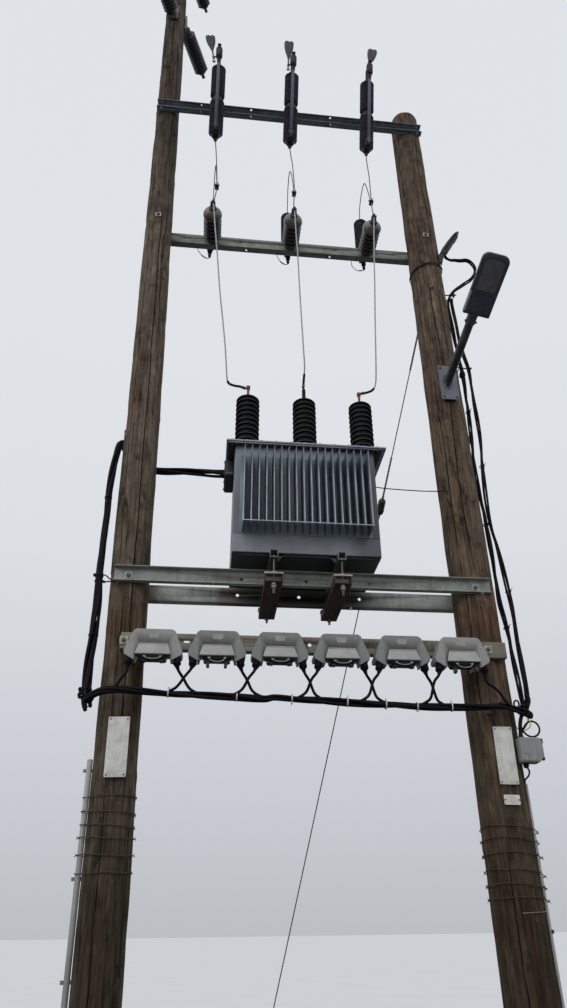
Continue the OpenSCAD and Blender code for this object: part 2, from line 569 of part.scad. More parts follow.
// ---- stay ----
stay_top = [2080, 140, 6090];
stay_foot = [829, 3230, 0];
function on_stay(t) = lerp(stay_top, stay_foot, t);
module along_stay(t0, t1, r, fn = 12) {
    a = on_stay(t0);
    d = stay_foot - stay_top;
    translate(a) rotate([0, acos(d[2] / norm(d)), atan2(d[1], d[0])]) cylinder(h = norm(d) * (t1 - t0), r = r, $fn = fn);
}
module stay_wire() {
    color([0.35, 0.36, 0.36]) {
        along_stay(0.014, 0.2355, 6, 16);
        along_stay(0.2565, 0.86, 6, 16);
        along_stay(0.86, 0.992, 9, 16);
        // eye bolt through the pole
        translate([2085, 132.6, 6090]) rotate([-90, 0, 0]) cylinder(h = 29.4, r = 10);
        translate([2085, -158, 6090]) rotate([-90, 0, 0]) cylinder(h = 24, r = 16, $fn = 6);
    }
}
module stay_insulator() {
    color([0.08, 0.08, 0.08]) along_stay(0.236, 0.256, 33, 32);
}

// ---- street lamp ----
lamp_base = [2084, -160, 5055];
module lamp_frame() { translate(lamp_base) rotate([65.4, 0, 8.2]) children(); }
module lamp_arm() {
    color([0.5, 0.52, 0.52]) {
        difference() {
            translate([2027, -160, 4902]) cube([134, 60, 320]);
            translate([rx, 0, 4880]) cylinder(h = 400, r = right_r(4880) + 1);
        }
        lamp_frame() cylinder(h = 500, r = 30);
    }
}
module lamp_head() {
    // rolled a little about the arm, with rounded far corners
    color([0.2, 0.21, 0.22]) lamp_frame() rotate([0, 0, -10]) translate([12, 0, 500]) {
        translate([-97, -36, 40]) cube([194, 72, 390]);
        translate([-57, -36, 430]) cube([114, 72, 40]);
        for (sx = [-1, 1]) translate([sx * 57, -36, 430]) rotate([-90, 0, 0]) cylinder(h = 72, r = 40);
        translate([-12, 0, 0]) cylinder(h = 40, r = 38);
    }
}

// ---- dead-end clamp with its strap ----
module dead_end_clamp() {
    color([0.5, 0.51, 0.5]) {
        // strap round the pole, a little lower at the left
        translate([rx, 0, 6380]) rotate([0, -13, 0]) difference() {
            translate([0, 0, -14]) cylinder(h = 28, r = 143.5);
            translate([0, 0, -60]) cylinder(h = 120, r = 140.5);
        }
        // bail and wedge body
        between([2204, -104, 6408], [2214, -110, 6500]) cylinder(h = 126, r = 8);
        between([2214, -110, 6500], [2400, -112, 6826]) {
            translate([-27, -27, 30]) cube([54, 54, 345]);
        }
    }
}

// ---- plates, box, barbed wire, earth wires ----
module pole_plates() {
    color([0.85, 0.85, 0.83]) {
        translate([-106, -140, 2230]) cube([115, 3, 316]);
        translate([2046, -149, 2206]) cube([110, 3, 315]);
        translate([2053, -149, 2100]) cube([91, 3, 52]);
    }
    color([0.6, 0.6, 0.58]) {
        for (z = [2270, 2500]) difference() {
            translate([-75, -137, z]) cube([50, 50, 12]);
            rotate([0, -left_lean, 0]) translate([0, 0, -60]) cylinder(h = left_pole_h + 60, r1 = left_foot_r + 0.3, r2 = left_foot_r - 26.7);
        }
        for (z = [2120, 2250, 2470]) difference() {
            translate([2076, -146, z]) cube([48, 50, 12]);
            translate([rx, 0, 0]) cylinder(h = right_pole_h, r1 = right_foot_r + 0.2, r2 = right_foot_r - 14.8);
        }
    }
}
module junction_box() {
    color([0.68, 0.69, 0.68]) {
        translate([0, -124, 0]) rotate([90, 0, 0]) linear_extrude(height = 64)
            polygon([[2176, 2318], [2282, 2318], [2312, 2346], [2312, 2438], [2296, 2456], [2176, 2456]]);
        difference() {
            translate([2200, -124, 2340]) cube([40, 74, 108]);
            translate([rx, 0, 0]) cylinder(h = right_pole_h, r1 = right_foot_r + 0.2, r2 = right_foot_r - 14.8);
        }
        translate([2210, -146, 2300]) cylinder(h = 20, r = 12);
    }
}
barb_left = [2148, 2070, 2008, 1946, 1868, 1789];
barb_right = [1984, 1922, 1856, 1774, 1702, 1644];
module barbed_wire() {
    color([0.42, 0.4, 0.37]) {
        for (z = barb_left) translate([lx(z) - 17, 0, z]) rotate([4, -left_lean + 3, 0])
            rotate_extrude() translate([144, 0]) circle(r = 3, $fn = 16);
        for (z = barb_right) translate([rx + 14.5, 0, z]) rotate([-3, 4, 0])
            rotate_extrude() translate([159, 0]) circle(r = 3, $fn = 16);
    }
}
module earth_wires() {
    color([0.52, 0.53, 0.52]) {
        between([-153.7, -6, 0], [-201, -6, 2343]) cylinder(h = 2343, r = 15);
        between([2257, -6, 0], [2252, 4, 2234]) cylinder(h = 2234, r = 12);
    }
    color([0.12, 0.12, 0.12]) tube([[1449, -40, 4190], [1560, -50, 4165], [1800, -62, 4150], [1958, -70, 4150]], 4, 3, 8);
}

left_pole();
right_pole();
top_arm();
middle_arm();
platform_front_beam();
platform_rear_beam();
fuse_arm();
through_bolts();
hold_down_channels();
hold_down_rods();
transformer_base();
transformer_tank();
cooling_fins();
transformer_lid();
high_voltage_bushings();
low_voltage_box();
cutout_insulators();
cutout_fittings();
fuse_tube_left();
fuse_tube_middle();
fuse_tube_right();
post_insulators();
surge_arresters();
line_post_insulators();
insulator_fittings();
fuse_housings();
fuse_carrier_1();
fuse_carrier_2();
fuse_carrier_3();
fuse_carrier_4();
fuse_carrier_5();
fuse_carrier_6();
jumpers();
low_voltage_cables();
stay_wire();
stay_insulator();
lamp_arm();
lamp_head();
dead_end_clamp();
pole_plates();
junction_box();
barbed_wire();
earth_wires();
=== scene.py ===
import bpy, math
import numpy as np
from mathutils import Matrix, Vector, noise


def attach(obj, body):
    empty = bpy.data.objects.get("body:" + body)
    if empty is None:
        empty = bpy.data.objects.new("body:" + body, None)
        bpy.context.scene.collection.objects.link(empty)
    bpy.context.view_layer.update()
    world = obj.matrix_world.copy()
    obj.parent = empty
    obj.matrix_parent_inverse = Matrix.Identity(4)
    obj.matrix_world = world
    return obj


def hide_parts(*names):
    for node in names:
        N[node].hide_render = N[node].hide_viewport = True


# Everything below is in millimetres in the row frame (+X along the arms, +Y to
# the rear, +Z up) and is turned into metres when a piece becomes an object.
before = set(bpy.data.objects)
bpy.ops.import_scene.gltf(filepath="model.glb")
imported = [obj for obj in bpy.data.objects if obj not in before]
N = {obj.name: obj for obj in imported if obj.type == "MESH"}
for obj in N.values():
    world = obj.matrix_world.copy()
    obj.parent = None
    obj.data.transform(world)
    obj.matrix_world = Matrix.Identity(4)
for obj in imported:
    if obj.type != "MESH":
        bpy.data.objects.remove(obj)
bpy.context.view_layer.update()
MM = 0.001
rad, sin, cos, pi = math.radians, math.sin, math.cos, math.pi


# ---------------------------------------------------------------- geometry --
def T(x=0, y=0, z=0):
    m = np.eye(4)
    m[:3, 3] = (x, y, z)
    return m


def R(axis, deg):
    return np.array(Matrix.Rotation(rad(deg), 4, axis if isinstance(axis, str) else Vector(axis)))


def along(a, b, roll=0):
    """Frame at a with +Z towards b, as the construction's own between()."""
    d = np.array(b, float) - np.array(a, float)
    n = np.linalg.norm(d)
    tilt = math.degrees(math.acos(max(-1, min(1, d[2] / n))))
    turn = math.degrees(math.atan2(d[1], d[0]))
    return T(*a) @ R("Z", turn) @ R("Y", tilt) @ R("Z", roll)


def dist(a, b):
    return float(np.linalg.norm(np.array(b, float) - np.array(a, float)))


class Geo:
    """Collects faces, each with a material number and a smooth flag."""

    def __init__(self):
        self.v, self.n, self.parts, self.extra = [], 0, [], {}

    def add(self, verts, faces, mat=0, smooth=False, m=None):
        v = np.asarray(verts, float).reshape(-1, 3)
        flip = False
        if m is not None:
            v = v @ m[:3, :3].T + m[:3, 3]
            flip = np.linalg.det(m[:3, :3]) < 0
        if isinstance(faces, np.ndarray):
            idx = faces[:, ::-1] if flip else faces
            flat = (idx + self.n).ravel()
            sizes = np.full(len(faces), faces.shape[1])
        else:
            fs = [list(f)[::-1] if flip else list(f) for f in faces]
            flat = np.array([i for f in fs for i in f], int) + self.n
            sizes = np.array([len(f) for f in fs], int)
        self.parts.append((flat, sizes, np.full(len(sizes), mat), np.full(len(sizes), bool(smooth))))
        self.v.append(v)
        self.n += len(v)
        return self

    def mesh(self, name, sharp=38):
        v = (np.vstack(self.v) * MM).astype(np.float32)
        flat = np.concatenate([p[0] for p in self.parts]).astype(np.int32)
        sizes = np.concatenate([p[1] for p in self.parts]).astype(np.int32)
        mats = np.concatenate([p[2] for p in self.parts]).astype(np.int32)
        smooth = np.concatenate([p[3] for p in self.parts])
        me = bpy.data.meshes.new(name)
        me.vertices.add(len(v))
        me.vertices.foreach_set("co", v.ravel())
        me.loops.add(len(flat))
        me.loops.foreach_set("vertex_index", flat)
        me.polygons.add(len(sizes))
        starts = np.concatenate([[0], np.cumsum(sizes)[:-1]]).astype(np.int32)
        me.polygons.foreach_set("loop_start", starts)
        me.polygons.foreach_set("material_index", mats)
        me.update(calc_edges=True)
        me.validate()
        for key, (kind, values) in self.extra.items():
            a = me.attributes.new(key, kind, "POINT")
            a.data.foreach_set("color" if kind == "FLOAT_COLOR" else "vector", np.asarray(values, np.float32).ravel())
        if smooth.any():
            me.polygons.foreach_set("use_smooth", smooth)
            me.set_sharp_from_angle(angle=rad(sharp))
        return me


def piece(g, name, mats, body="structure", replaces=(), sharp=38):
    me = g.mesh(name, sharp)
    for m in mats:
        me.materials.append(m)
    o = bpy.data.objects.new(name, me)
    bpy.context.scene.collection.objects.link(o)
    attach(o, body)
    if replaces:
        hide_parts(*replaces)
    return o


def grid_faces(rows, cols, wrap=True):
    """Quads of a rows x cols grid of vertices, the columns joined into a ring."""
    r = np.arange(rows - 1)[:, None]
    c = np.arange(cols if wrap else cols - 1)[None, :]
    d = (c + 1) % cols
    a = r * cols + c
    b = r * cols + d
    return np.stack([a, b, b + cols, a + cols], -1).reshape(-1, 4)


def lathe(g, prof, seg=28, m=None, mat=0, smooth=True):
    """Turns (r, z) points about +Z. Points on the axis close the shape."""
    th = np.arange(seg) * 2 * pi / seg
    cs, sn = np.cos(th), np.sin(th)
    verts, start, single = [], [], []
    k = 0
    for r, z in prof:
        start.append(k)
        if r < 1e-6:
            verts.append(np.array([[0, 0, z]]))
            single.append(True)
            k += 1
        else:
            verts.append(np.stack([r * cs, r * sn, np.full(seg, z)], 1))
            single.append(False)
            k += seg
    quads, tris = [], []
    for i in range(len(prof) - 1):
        a, b = start[i], start[i + 1]
        j = np.arange(seg)
        jn = (j + 1) % seg
        if single[i] and single[i + 1]:
            continue
        if single[i]:
            tris.append(np.stack([np.full(seg, a), b + jn, b + j], 1))
        elif single[i + 1]:
            tris.append(np.stack([a + j, a + jn, np.full(seg, b)], 1))
        else:
            quads.append(np.stack([a + j, a + jn, b + jn, b + j], 1))
    v = np.vstack(verts)
    # outward faces when the profile runs upward; turn them round when it runs down
    if prof[-1][1] < prof[0][1]:
        quads = [q[:, ::-1] for q in quads]
        tris = [q[:, ::-1] for q in tris]
    base = g.n
    first = True
    for part in ([np.vstack(quads)] if quads else []) + ([np.vstack(tris)] if tris else []):
        if first:
            g.add(v, part, mat, smooth, m)
            first = False
        else:
            idx = part[:, ::-1] if (m is not None and np.linalg.det(m[:3, :3]) < 0) else part
            g.parts.append(((idx + base).ravel(), np.full(len(part), part.shape[1]), np.full(len(part), mat), np.full(len(part), bool(smooth))))
    return g


def cyl(g, r, z0, z1, seg=20, m=None, mat=0, c=1.0, r2=None):
    """Round bar with chamfered ends."""
    r2 = r if r2 is None else r2
    c = min(c, r * 0.4, r2 * 0.4, abs(z1 - z0) * 0.3)
    return lathe(g, [(0, z0), (r - c, z0), (r, z0 + c), (r2, z1 - c), (r2 - c, z1), (0, z1)], seg, m, mat)


def pipe(g, r, ri, z0, z1, seg=24, m=None, mat=0, c=1.0):
    """Round tube, open at both ends."""
    th = np.arange(seg) * 2 * pi / seg
    prof = [(ri, z0 + c), (ri + c, z0), (r - c, z0), (r, z0 + c), (r, z1 - c), (r - c, z1), (ri + c, z1), (ri, z1 - c)]
    v = np.vstack([np.stack([rr * np.cos(th), rr * np.sin(th), np.full(seg, zz)], 1) for rr, zz in prof])
    k = len(prof)
    f = []
    for i in range(k):
        a, b = i * seg, ((i + 1) % k) * seg
        j = np.arange(seg)
        jn = (j + 1) % seg
        f.append(np.stack([a + j, a + jn, b + jn, b + j], 1))
    return g.add(v, np.vstack(f), mat, True, m)


def torus(g, R0, r, seg=32, sides=8, m=None, mat=0, sx=1.0, sy=1.0):
    a = np.arange(seg) * 2 * pi / seg
    b = np.arange(sides) * 2 * pi / sides
    v = []
    for t in a:
        d = np.array([cos(t) * sx, sin(t) * sy, 0])
        c = d * R0
        v.append(c + np.outer(np.cos(b) * r, np.array([cos(t), sin(t), 0])) + np.outer(np.sin(b) * r, [0, 0, 1]))
    v = np.vstack(v)
    j = np.arange(sides)
    f = [np.stack([i * sides + j, ((i + 1) % seg) * sides + j, ((i + 1) % seg) * sides + (j + 1) % sides, i * sides + (j + 1) % sides], 1) for i in range(seg)]
    return g.add(v, np.vstack(f), mat, True, m)


def cbox(g, lo, hi, c=1.5, mat=0, m=None, smooth=False):
    """Box with chamfered edges."""
    lo, hi = np.array(lo, float), np.array(hi, float)
    c = min([c] + list((hi - lo) * 0.45))
    v, name = [], {}
    for i in (0, 1):
        for j in (0, 1):
            for k in (0, 1):
                p = [(lo, hi)[i][0], (lo, hi)[j][1], (lo, hi)[k][2]]
                s = [1 - 2 * i, 1 - 2 * j, 1 - 2 * k]
                for ax in range(3):
                    q = [p[a] + (0 if a == ax else s[a] * c) for a in range(3)]
                    name[(i, j, k, ax)] = len(v)
                    v.append(q)
    f = []

    def quad(keys, out):
        pts = np.array([v[name[q]] for q in keys])
        n = np.cross(pts[1] - pts[0], pts[2] - pts[0])
        ids = [name[q] for q in keys]
        f.append(ids if np.dot(n, out) > 0 else ids[::-1])

    for ax in range(3):
        o1, o2 = [a for a in range(3) if a != ax]
        for e in (0, 1):
            keys = []
            for (a, b) in ((0, 0), (1, 0), (1, 1), (0, 1)):
                t = [0, 0, 0]
                t[ax], t[o1], t[o2] = e, a, b
                keys.append((*t, ax))
            out = [0, 0, 0]
            out[ax] = 2 * e - 1
            quad(keys, out)
    for ax in range(3):
        o1, o2 = [a for a in range(3) if a != ax]
        for a in (0, 1):
            for b in (0, 1):
                t0, t1 = [0, 0, 0], [0, 0, 0]
                t0[o1] = t1[o1] = a
                t0[o2] = t1[o2] = b
                t1[ax] = 1
                out = [0, 0, 0]
                out[o1], out[o2] = 2 * a - 1, 2 * b - 1
                quad([(*t0, o1), (*t1, o1), (*t1, o2), (*t0, o2)], out)
    for i in (0, 1):
        for j in (0, 1):
            for k in (0, 1):
                quad([(i, j, k, 0), (i, j, k, 1), (i, j, k, 2)], [2 * i - 1, 2 * j - 1, 2 * k - 1])
    return g.add(v, f, mat, smooth, m)


def area2(p):
    p = np.asarray(p, float)
    q = np.roll(p, -1, 0)
    return 0.5 * np.sum(p[:, 0] * q[:, 1] - q[:, 0] * p[:, 1])


def inset(p, c):
    """Moves each side of an anticlockwise outline inwards by c."""
    p = np.asarray(p, float)
    n = len(p)
    out = []
    for i in range(n):
        a, b, d = p[i - 1], p[i], p[(i + 1) % n]
        u, w = b - a, d - b
        u, w = u / (np.linalg.norm(u) + 1e-12), w / (np.linalg.norm(w) + 1e-12)
        n1, n2 = np.array([-u[1], u[0]]), np.array([-w[1], w[0]])
        k = n1 + n2
        den = max(0.35, 1 + np.dot(n1, n2))
        out.append(b + k * c / den)
    return np.array(out)


def fillet(p, r, k=4):
    """Rounds an outline's corners. r is one radius or one for each corner."""
    p = [np.array(q, float) for q in p]
    n = len(p)
    rs = r if hasattr(r, "__len__") else [r] * n
    out = []
    for i in range(n):
        a, b, c = p[i - 1], p[i], p[(i + 1) % n]
        if rs[i] <= 0:
            out.append(b)
            continue
        u, w = a - b, c - b
        lu, lw = np.linalg.norm(u), np.linalg.norm(w)
        u, w = u / lu, w / lw
        ang = math.acos(max(-1, min(1, float(np.dot(u, w)))))
        if abs(pi - ang) < 0.02:
            out.append(b)
            # rim flange: outer face painted, underside in the dark underside paint, a painted shade
            continue
        t = min(rs[i] / math.tan(ang / 2), lu * 0.48, lw * 0.48)
        rr = t * math.tan(ang / 2)
        s, e = b + u * t, b + w * t
        bis = (u + w) / np.linalg.norm(u + w)
        cc = b + bis * (rr / sin(ang / 2))
        a0, a1 = math.atan2(*(s - cc)[::-1]), math.atan2(*(e - cc)[::-1])
        while a1 - a0 > pi:
            a1 -= 2 * pi
        while a1 - a0 < -pi:
            a1 += 2 * pi
        for q in range(k + 1):
            t2 = a0 + (a1 - a0) * q / k
            out.append(cc + rr * np.array([cos(t2), sin(t2)]))
    return np.array(out)


def prism(g, outline, h0, h1, m=None, mat=0, c=0.0, smooth=False, cap_mat=None, steps=None):
    """Extrudes an outline along +Z, with chamfers of c at both ends."""
    p = np.asarray(outline, float)
    if area2(p) < 0:
        p = p[::-1]
    k = len(p)
    levels = []
    if c > 0:
        q = inset(p, c)
        levels = [(q, h0), (p, h0 + c), (p, h1 - c), (q, h1)]
    else:
        levels = [(p, h0), (p, h1)]
    if steps:
        levels = [(inset(p, cc) if cc else p, hh) for cc, hh in steps]
    v = np.vstack([np.column_stack([q, np.full(k, h)]) for q, h in levels])
    f = grid_faces(len(levels), k)
    base = g.n
    g.add(v, f, mat, smooth, m)
    flip = m is not None and np.linalg.det(m[:3, :3]) < 0
    bottom = list(range(k))[::-1]
    top = [i + (len(levels) - 1) * k for i in range(k)]
    cm = mat if cap_mat is None else cap_mat
    for cap in (bottom, top):
        cap = cap[::-1] if flip else cap
        g.parts.append((np.array(cap) + base, np.array([k]), np.array([cm]), np.array([False])))
    return g


def spline(pts, k=6, closed=False):
    """Catmull-Rom through the points, as the construction sweeps its routes."""
    p = np.asarray(pts, float)
    n = len(p)
    out = []
    rng = n if closed else n - 1
    for i in range(rng):
        if closed:
            p0, p1, p2, p3 = p[i - 1], p[i], p[(i + 1) % n], p[(i + 2) % n]
        else:
            p0, p1, p2, p3 = p[max(i - 1, 0)], p[i], p[i + 1], p[min(i + 2, n - 1)]
        for j in range(k):
            t = j / k
            out.append(0.5 * ((2 * p1) + (p2 - p0) * t + (2 * p0 - 5 * p1 + 4 * p2 - p3) * t * t + (3 * p1 - p0 - 3 * p2 + p3) * t ** 3))
    if not closed:
        out.append(p[-1])
    return np.array(out)


def resample(q, step):
    """Points of a polyline at even spacing."""
    d = np.linalg.norm(np.diff(q, axis=0), axis=1)
    s = np.concatenate([[0], np.cumsum(d)])
    n = max(2, int(round(s[-1] / step)) + 1)
    t = np.linspace(0, s[-1], n)
    return np.stack([np.interp(t, s, q[:, i]) for i in range(3)], 1), t


def frames(q, closed=False):
    t = np.gradient(q, axis=0) if not closed else (np.roll(q, -1, 0) - np.roll(q, 1, 0))
    t /= np.linalg.norm(t, axis=1)[:, None] + 1e-12
    n = np.zeros_like(q)
    a = np.cross(t[0], [0, 0, 1.0] if abs(t[0][2]) < 0.9 else [0, 1.0, 0])
    n[0] = a / np.linalg.norm(a)
    for i in range(1, len(q)):
        b = n[i - 1] - t[i] * np.dot(n[i - 1], t[i])
        n[i] = b / (np.linalg.norm(b) + 1e-12)
    return t, n, np.cross(t, n)


def sweep(g, q, r, sides=8, mat=0, m=None, closed=False, prof=None, twist=0.0, round_ends=False, smooth=True):
    """Tube along points q. r is one radius or one a point; prof is an outline
    in place of the circle, and twist its turn in radians per point."""
    q = np.asarray(q, float)
    t, a, b = frames(q, closed)
    n = len(q)
    rr = np.full(n, float(r)) if np.isscalar(r) else np.asarray(r, float)
    if prof is None:
        th = np.arange(sides) * 2 * pi / sides
        pr = np.stack([np.cos(th), np.sin(th)], 1)
    else:
        pr = np.asarray(prof, float)
        sides = len(pr)
    if round_ends and not closed:
        e = [(0.0, 0.35), (0.15, 0.75), (0.5, 0.97)]
        r0, r1 = rr[0], rr[-1]
        q = np.vstack([[q[0] + t[0] * r0 * (x - 0.5) for x, _ in e], q[1:-1], [q[-1] - t[-1] * r1 * (x - 0.5) for x, _ in e[::-1]]])
        rr = np.concatenate([[r0 * y for _, y in e], rr[1:-1], [r1 * y for _, y in e[::-1]]])
        a = np.vstack([[a[0]] * 3, a[1:-1], [a[-1]] * 3])
        b = np.vstack([[b[0]] * 3, b[1:-1], [b[-1]] * 3])
        n = len(q)
    ang = twist * np.arange(n)
    ca, sa = np.cos(ang)[:, None], np.sin(ang)[:, None]
    x = pr[:, 0][None] * ca - pr[:, 1][None] * sa
    y = pr[:, 0][None] * sa + pr[:, 1][None] * ca
    v = q[:, None, :] + rr[:, None, None] * (x[..., None] * a[:, None, :] + y[..., None] * b[:, None, :])
    v = v.reshape(-1, 3)
    f = grid_faces(n, sides)
    if closed:
        j = np.arange(sides)
        f = np.vstack([f, np.stack([(n - 1) * sides + j, (n - 1) * sides + (j + 1) % sides, (j + 1) % sides, j], 1)])
    base = g.n
    g.add(v, f, mat, smooth, m)
    if not closed:
        flip = m is not None and np.linalg.det(m[:3, :3]) < 0
        for cap in (list(range(sides))[::-1], [i + (n - 1) * sides for i in range(sides)]):
            cap = cap[::-1] if flip else cap
            g.parts.append((np.array(cap) + base, np.array([sides]), np.array([mat]), np.array([False])))
    return g


def strands(g, q, n, rs, ro, pitch, phase=0.0, sides=7, mat=0, step=18, wob=0.0, seed=0, taper=False):
    """n round strands that wind about the line q."""
    q, s = resample(np.asarray(q, float), step)
    t, a, b = frames(q)
    rng = np.random.RandomState(seed)
    for j in range(n):
        ph = rng.uniform(0, 6.28)
        ang = phase + 2 * pi * j / n + 2 * pi * s / pitch + wob * np.sin(s / (pitch * 0.9) + ph)
        rj = (ro(s / s[-1]) if callable(ro) else ro) * (1 + 0.12 * wob * np.sin(s / (pitch * 0.55) + 2 * ph))
        if np.isscalar(rj):
            rj = np.full(len(s), rj)
        c = q + (np.cos(ang) * rj)[:, None] * a + (np.sin(ang) * rj)[:, None] * b
        sweep(g, c, rs, sides, mat, round_ends=True)
    return g


def nut(g, r, z0, z1, m=None, mat=0, c=1.6):
    """Hexagon across corners 2r, with its chamfered faces."""
    h = [(r * cos(rad(60 * i)), r * sin(rad(60 * i))) for i in range(6)]
    return prism(g, h, z0, z1, m, mat, c)


def bolt_end(g, m, washer=24, w_t=5, head=15, head_h=11, stud=8, stud_h=14, mat=0, wmat=None, square=True, dome=False):
    """Washer, hexagon and threaded stub that stand up from z = 0 of m."""
    wm = mat if wmat is None else wmat
    if square:
        cbox(g, (-washer, -washer, 0), (washer, washer, w_t), 1.2, wm, m)
    else:
        cyl(g, washer, 0, w_t, 24, m, wm, 0.8)
    nut(g, head, w_t, w_t + head_h, m, mat)
    if stud_h:
        z = w_t + head_h
        k = max(2, int(stud_h / 2.4))
        prof = [(0, z - 1)]
        for i in range(k):
            prof += [(stud - 0.9, z + stud_h * i / k), (stud, z + stud_h * (i + 0.45) / k)]
        prof += [(stud - 1.6, z + stud_h), (0, z + stud_h)]
        lathe(g, prof, 14, m, mat)
    return g


def boolean(o, cutters):
    """Cuts the cutters' shapes out of o's mesh for good."""
    tmp = []
    for c in cutters:
        me = c.mesh("cutter", 30)
        k = bpy.data.objects.new("cutter", me)
        bpy.context.scene.collection.objects.link(k)
        md = o.modifiers.new("cut", "BOOLEAN")
        md.operation, md.object, md.solver = "DIFFERENCE", k, "EXACT"
        tmp.append(k)
    dg = bpy.context.evaluated_depsgraph_get()
    dg.update()
    new = bpy.data.meshes.new_from_object(o.evaluated_get(dg))
    old = o.data
    o.modifiers.clear()
    o.data = new
    new.name = old.name
    bpy.data.meshes.remove(old)
    for k in tmp:
        me = k.data
        bpy.data.objects.remove(k)
        bpy.data.meshes.remove(me)
    return o


# --------------------------------------------------------------- materials --
def C(r, g, b):
    """A colour given as it looks on screen, 0 to 255."""
    def lin(c):
        c /= 255
        return c / 12.92 if c <= 0.04045 else ((c + 0.055) / 1.055) ** 2.4
    return (lin(r), lin(g), lin(b), 1.0)


class Mat:
    """A node material with short calls for the usual nodes."""

    def __init__(self, name, rough=0.6, metal=0.0, spec=0.5, coat=0.0, coat_rough=0.1):
        self.mat = bpy.data.materials.new(name)
        self.mat.use_nodes = True
        self.t = self.mat.node_tree
        self.t.nodes.clear()
        self.out = self.t.nodes.new("ShaderNodeOutputMaterial")
        self.b = self.t.nodes.new("ShaderNodeBsdfPrincipled")
        self.t.links.new(self.b.outputs[0], self.out.inputs[0])
        self.b.inputs["Roughness"].default_value = rough
        self.b.inputs["Metallic"].default_value = metal
        self.b.inputs["Specular IOR Level"].default_value = spec
        self.b.inputs["Coat Weight"].default_value = coat
        self.b.inputs["Coat Roughness"].default_value = coat_rough
        self.height = None

    def node(self, kind, **props):
        n = self.t.nodes.new("ShaderNode" + kind)
        for k, v in props.items():
            setattr(n, k, v)
        return n

    def put(self, sock, v):
        if hasattr(v, "links"):
            self.t.links.new(v, sock)
        else:
            sock.default_value = v
        return self

    def coord(self):
        return self.node("TexCoord").outputs["Object"]

    def normal(self):
        return self.node("NewGeometry").outputs["Normal"]

    def attr(self, name, kind="Vector"):
        return self.node("Attribute", attribute_name=name).outputs[kind]

    def map(self, vec, scale=(1, 1, 1), loc=(0, 0, 0), rot=(0, 0, 0)):
        n = self.node("Mapping")
        self.put(n.inputs["Vector"], vec)
        n.inputs["Scale"].default_value = scale
        n.inputs["Location"].default_value = loc
        n.inputs["Rotation"].default_value = [rad(a) for a in rot]
        return n.outputs[0]

    def noise(self, vec, scale=5.0, detail=4.0, rough=0.55, dist=0.0, out="Fac"):
        n = self.node("TexNoise")
        self.put(n.inputs["Vector"], vec)
        n.inputs["Scale"].default_value = scale
        n.inputs["Detail"].default_value = detail
        n.inputs["Roughness"].default_value = rough
        n.inputs["Distortion"].default_value = dist
        return n.outputs[out]

    def voronoi(self, vec, scale=5.0, feature="F1", out="Distance", rand=1.0):
        n = self.node("TexVoronoi", feature=feature)
        self.put(n.inputs["Vector"], vec)
        n.inputs["Scale"].default_value = scale
        n.inputs["Randomness"].default_value = rand
        return n.outputs[out]

    def wave(self, vec, scale=5.0, dist=0.0, detail=2.0, kind="BANDS", direction="X", profile="SIN"):
        n = self.node("TexWave", wave_type=kind, wave_profile=profile)
        if kind == "BANDS":
            n.bands_direction = direction
        else:
            n.rings_direction = direction
        self.put(n.inputs["Vector"], vec)
        n.inputs["Scale"].default_value = scale
        n.inputs["Distortion"].default_value = dist
        n.inputs["Detail"].default_value = detail
        return n.outputs["Fac"]

    def ramp(self, fac, stops, mode="LINEAR"):
        n = self.node("ValToRGB")
        r = n.color_ramp
        r.interpolation = mode
        while len(r.elements) > 1:
            r.elements.remove(r.elements[-1])
        for i, (p, c) in enumerate(stops):
            e = r.elements[0] if i == 0 else r.elements.new(p)
            e.position = p
            e.color = (c, c, c, 1) if np.isscalar(c) else (C(*c) if len(c) == 3 else c)
        self.put(n.inputs[0], fac)
        return n.outputs[0]

    def mix(self, fac, a, b, mode="MIX"):
        n = self.node("Mix", data_type="RGBA", blend_type=mode)
        self.put(n.inputs[0], fac)
        self.put(n.inputs[6], C(*a) if isinstance(a, tuple) and len(a) == 3 else a)
        self.put(n.inputs[7], C(*b) if isinstance(b, tuple) and len(b) == 3 else b)
        return n.outputs[2]

    def math(self, op, a, b=0.0, c=0.0, clamp=False):
        n = self.node("Math", operation=op, use_clamp=clamp)
        for i, v in enumerate((a, b, c)):
            self.put(n.inputs[i], v)
        return n.outputs[0]

    def lift(self, v, a0, a1, b0=0.0, b1=1.0):
        n = self.node("MapRange", interpolation_type="SMOOTHSTEP")
        self.put(n.inputs["Value"], v)
        for k, x in (("From Min", a0), ("From Max", a1), ("To Min", b0), ("To Max", b1)):
            n.inputs[k].default_value = x
        return n.outputs[0]

    def sep(self, vec):
        n = self.node("SeparateXYZ")
        self.put(n.inputs[0], vec)
        return n.outputs

    def comb(self, x, y, z):
        n = self.node("CombineXYZ")
        for i, v in enumerate((x, y, z)):
            self.put(n.inputs[i], v)
        return n.outputs[0]

    def bump(self, h, strength=0.3, distance=0.002):
        n = self.node("Bump")
        n.inputs["Strength"].default_value = strength
        n.inputs["Distance"].default_value = distance
        self.put(n.inputs["Height"], h)
        if self.height is not None:
            self.put(n.inputs["Normal"], self.height)
        self.height = n.outputs[0]
        self.put(self.b.inputs["Normal"], self.height)
        return self

    def color(self, v):
        return self.put(self.b.inputs["Base Color"], C(*v) if isinstance(v, tuple) and len(v) == 3 else v)

    def rough(self, v):
        return self.put(self.b.inputs["Roughness"], v)


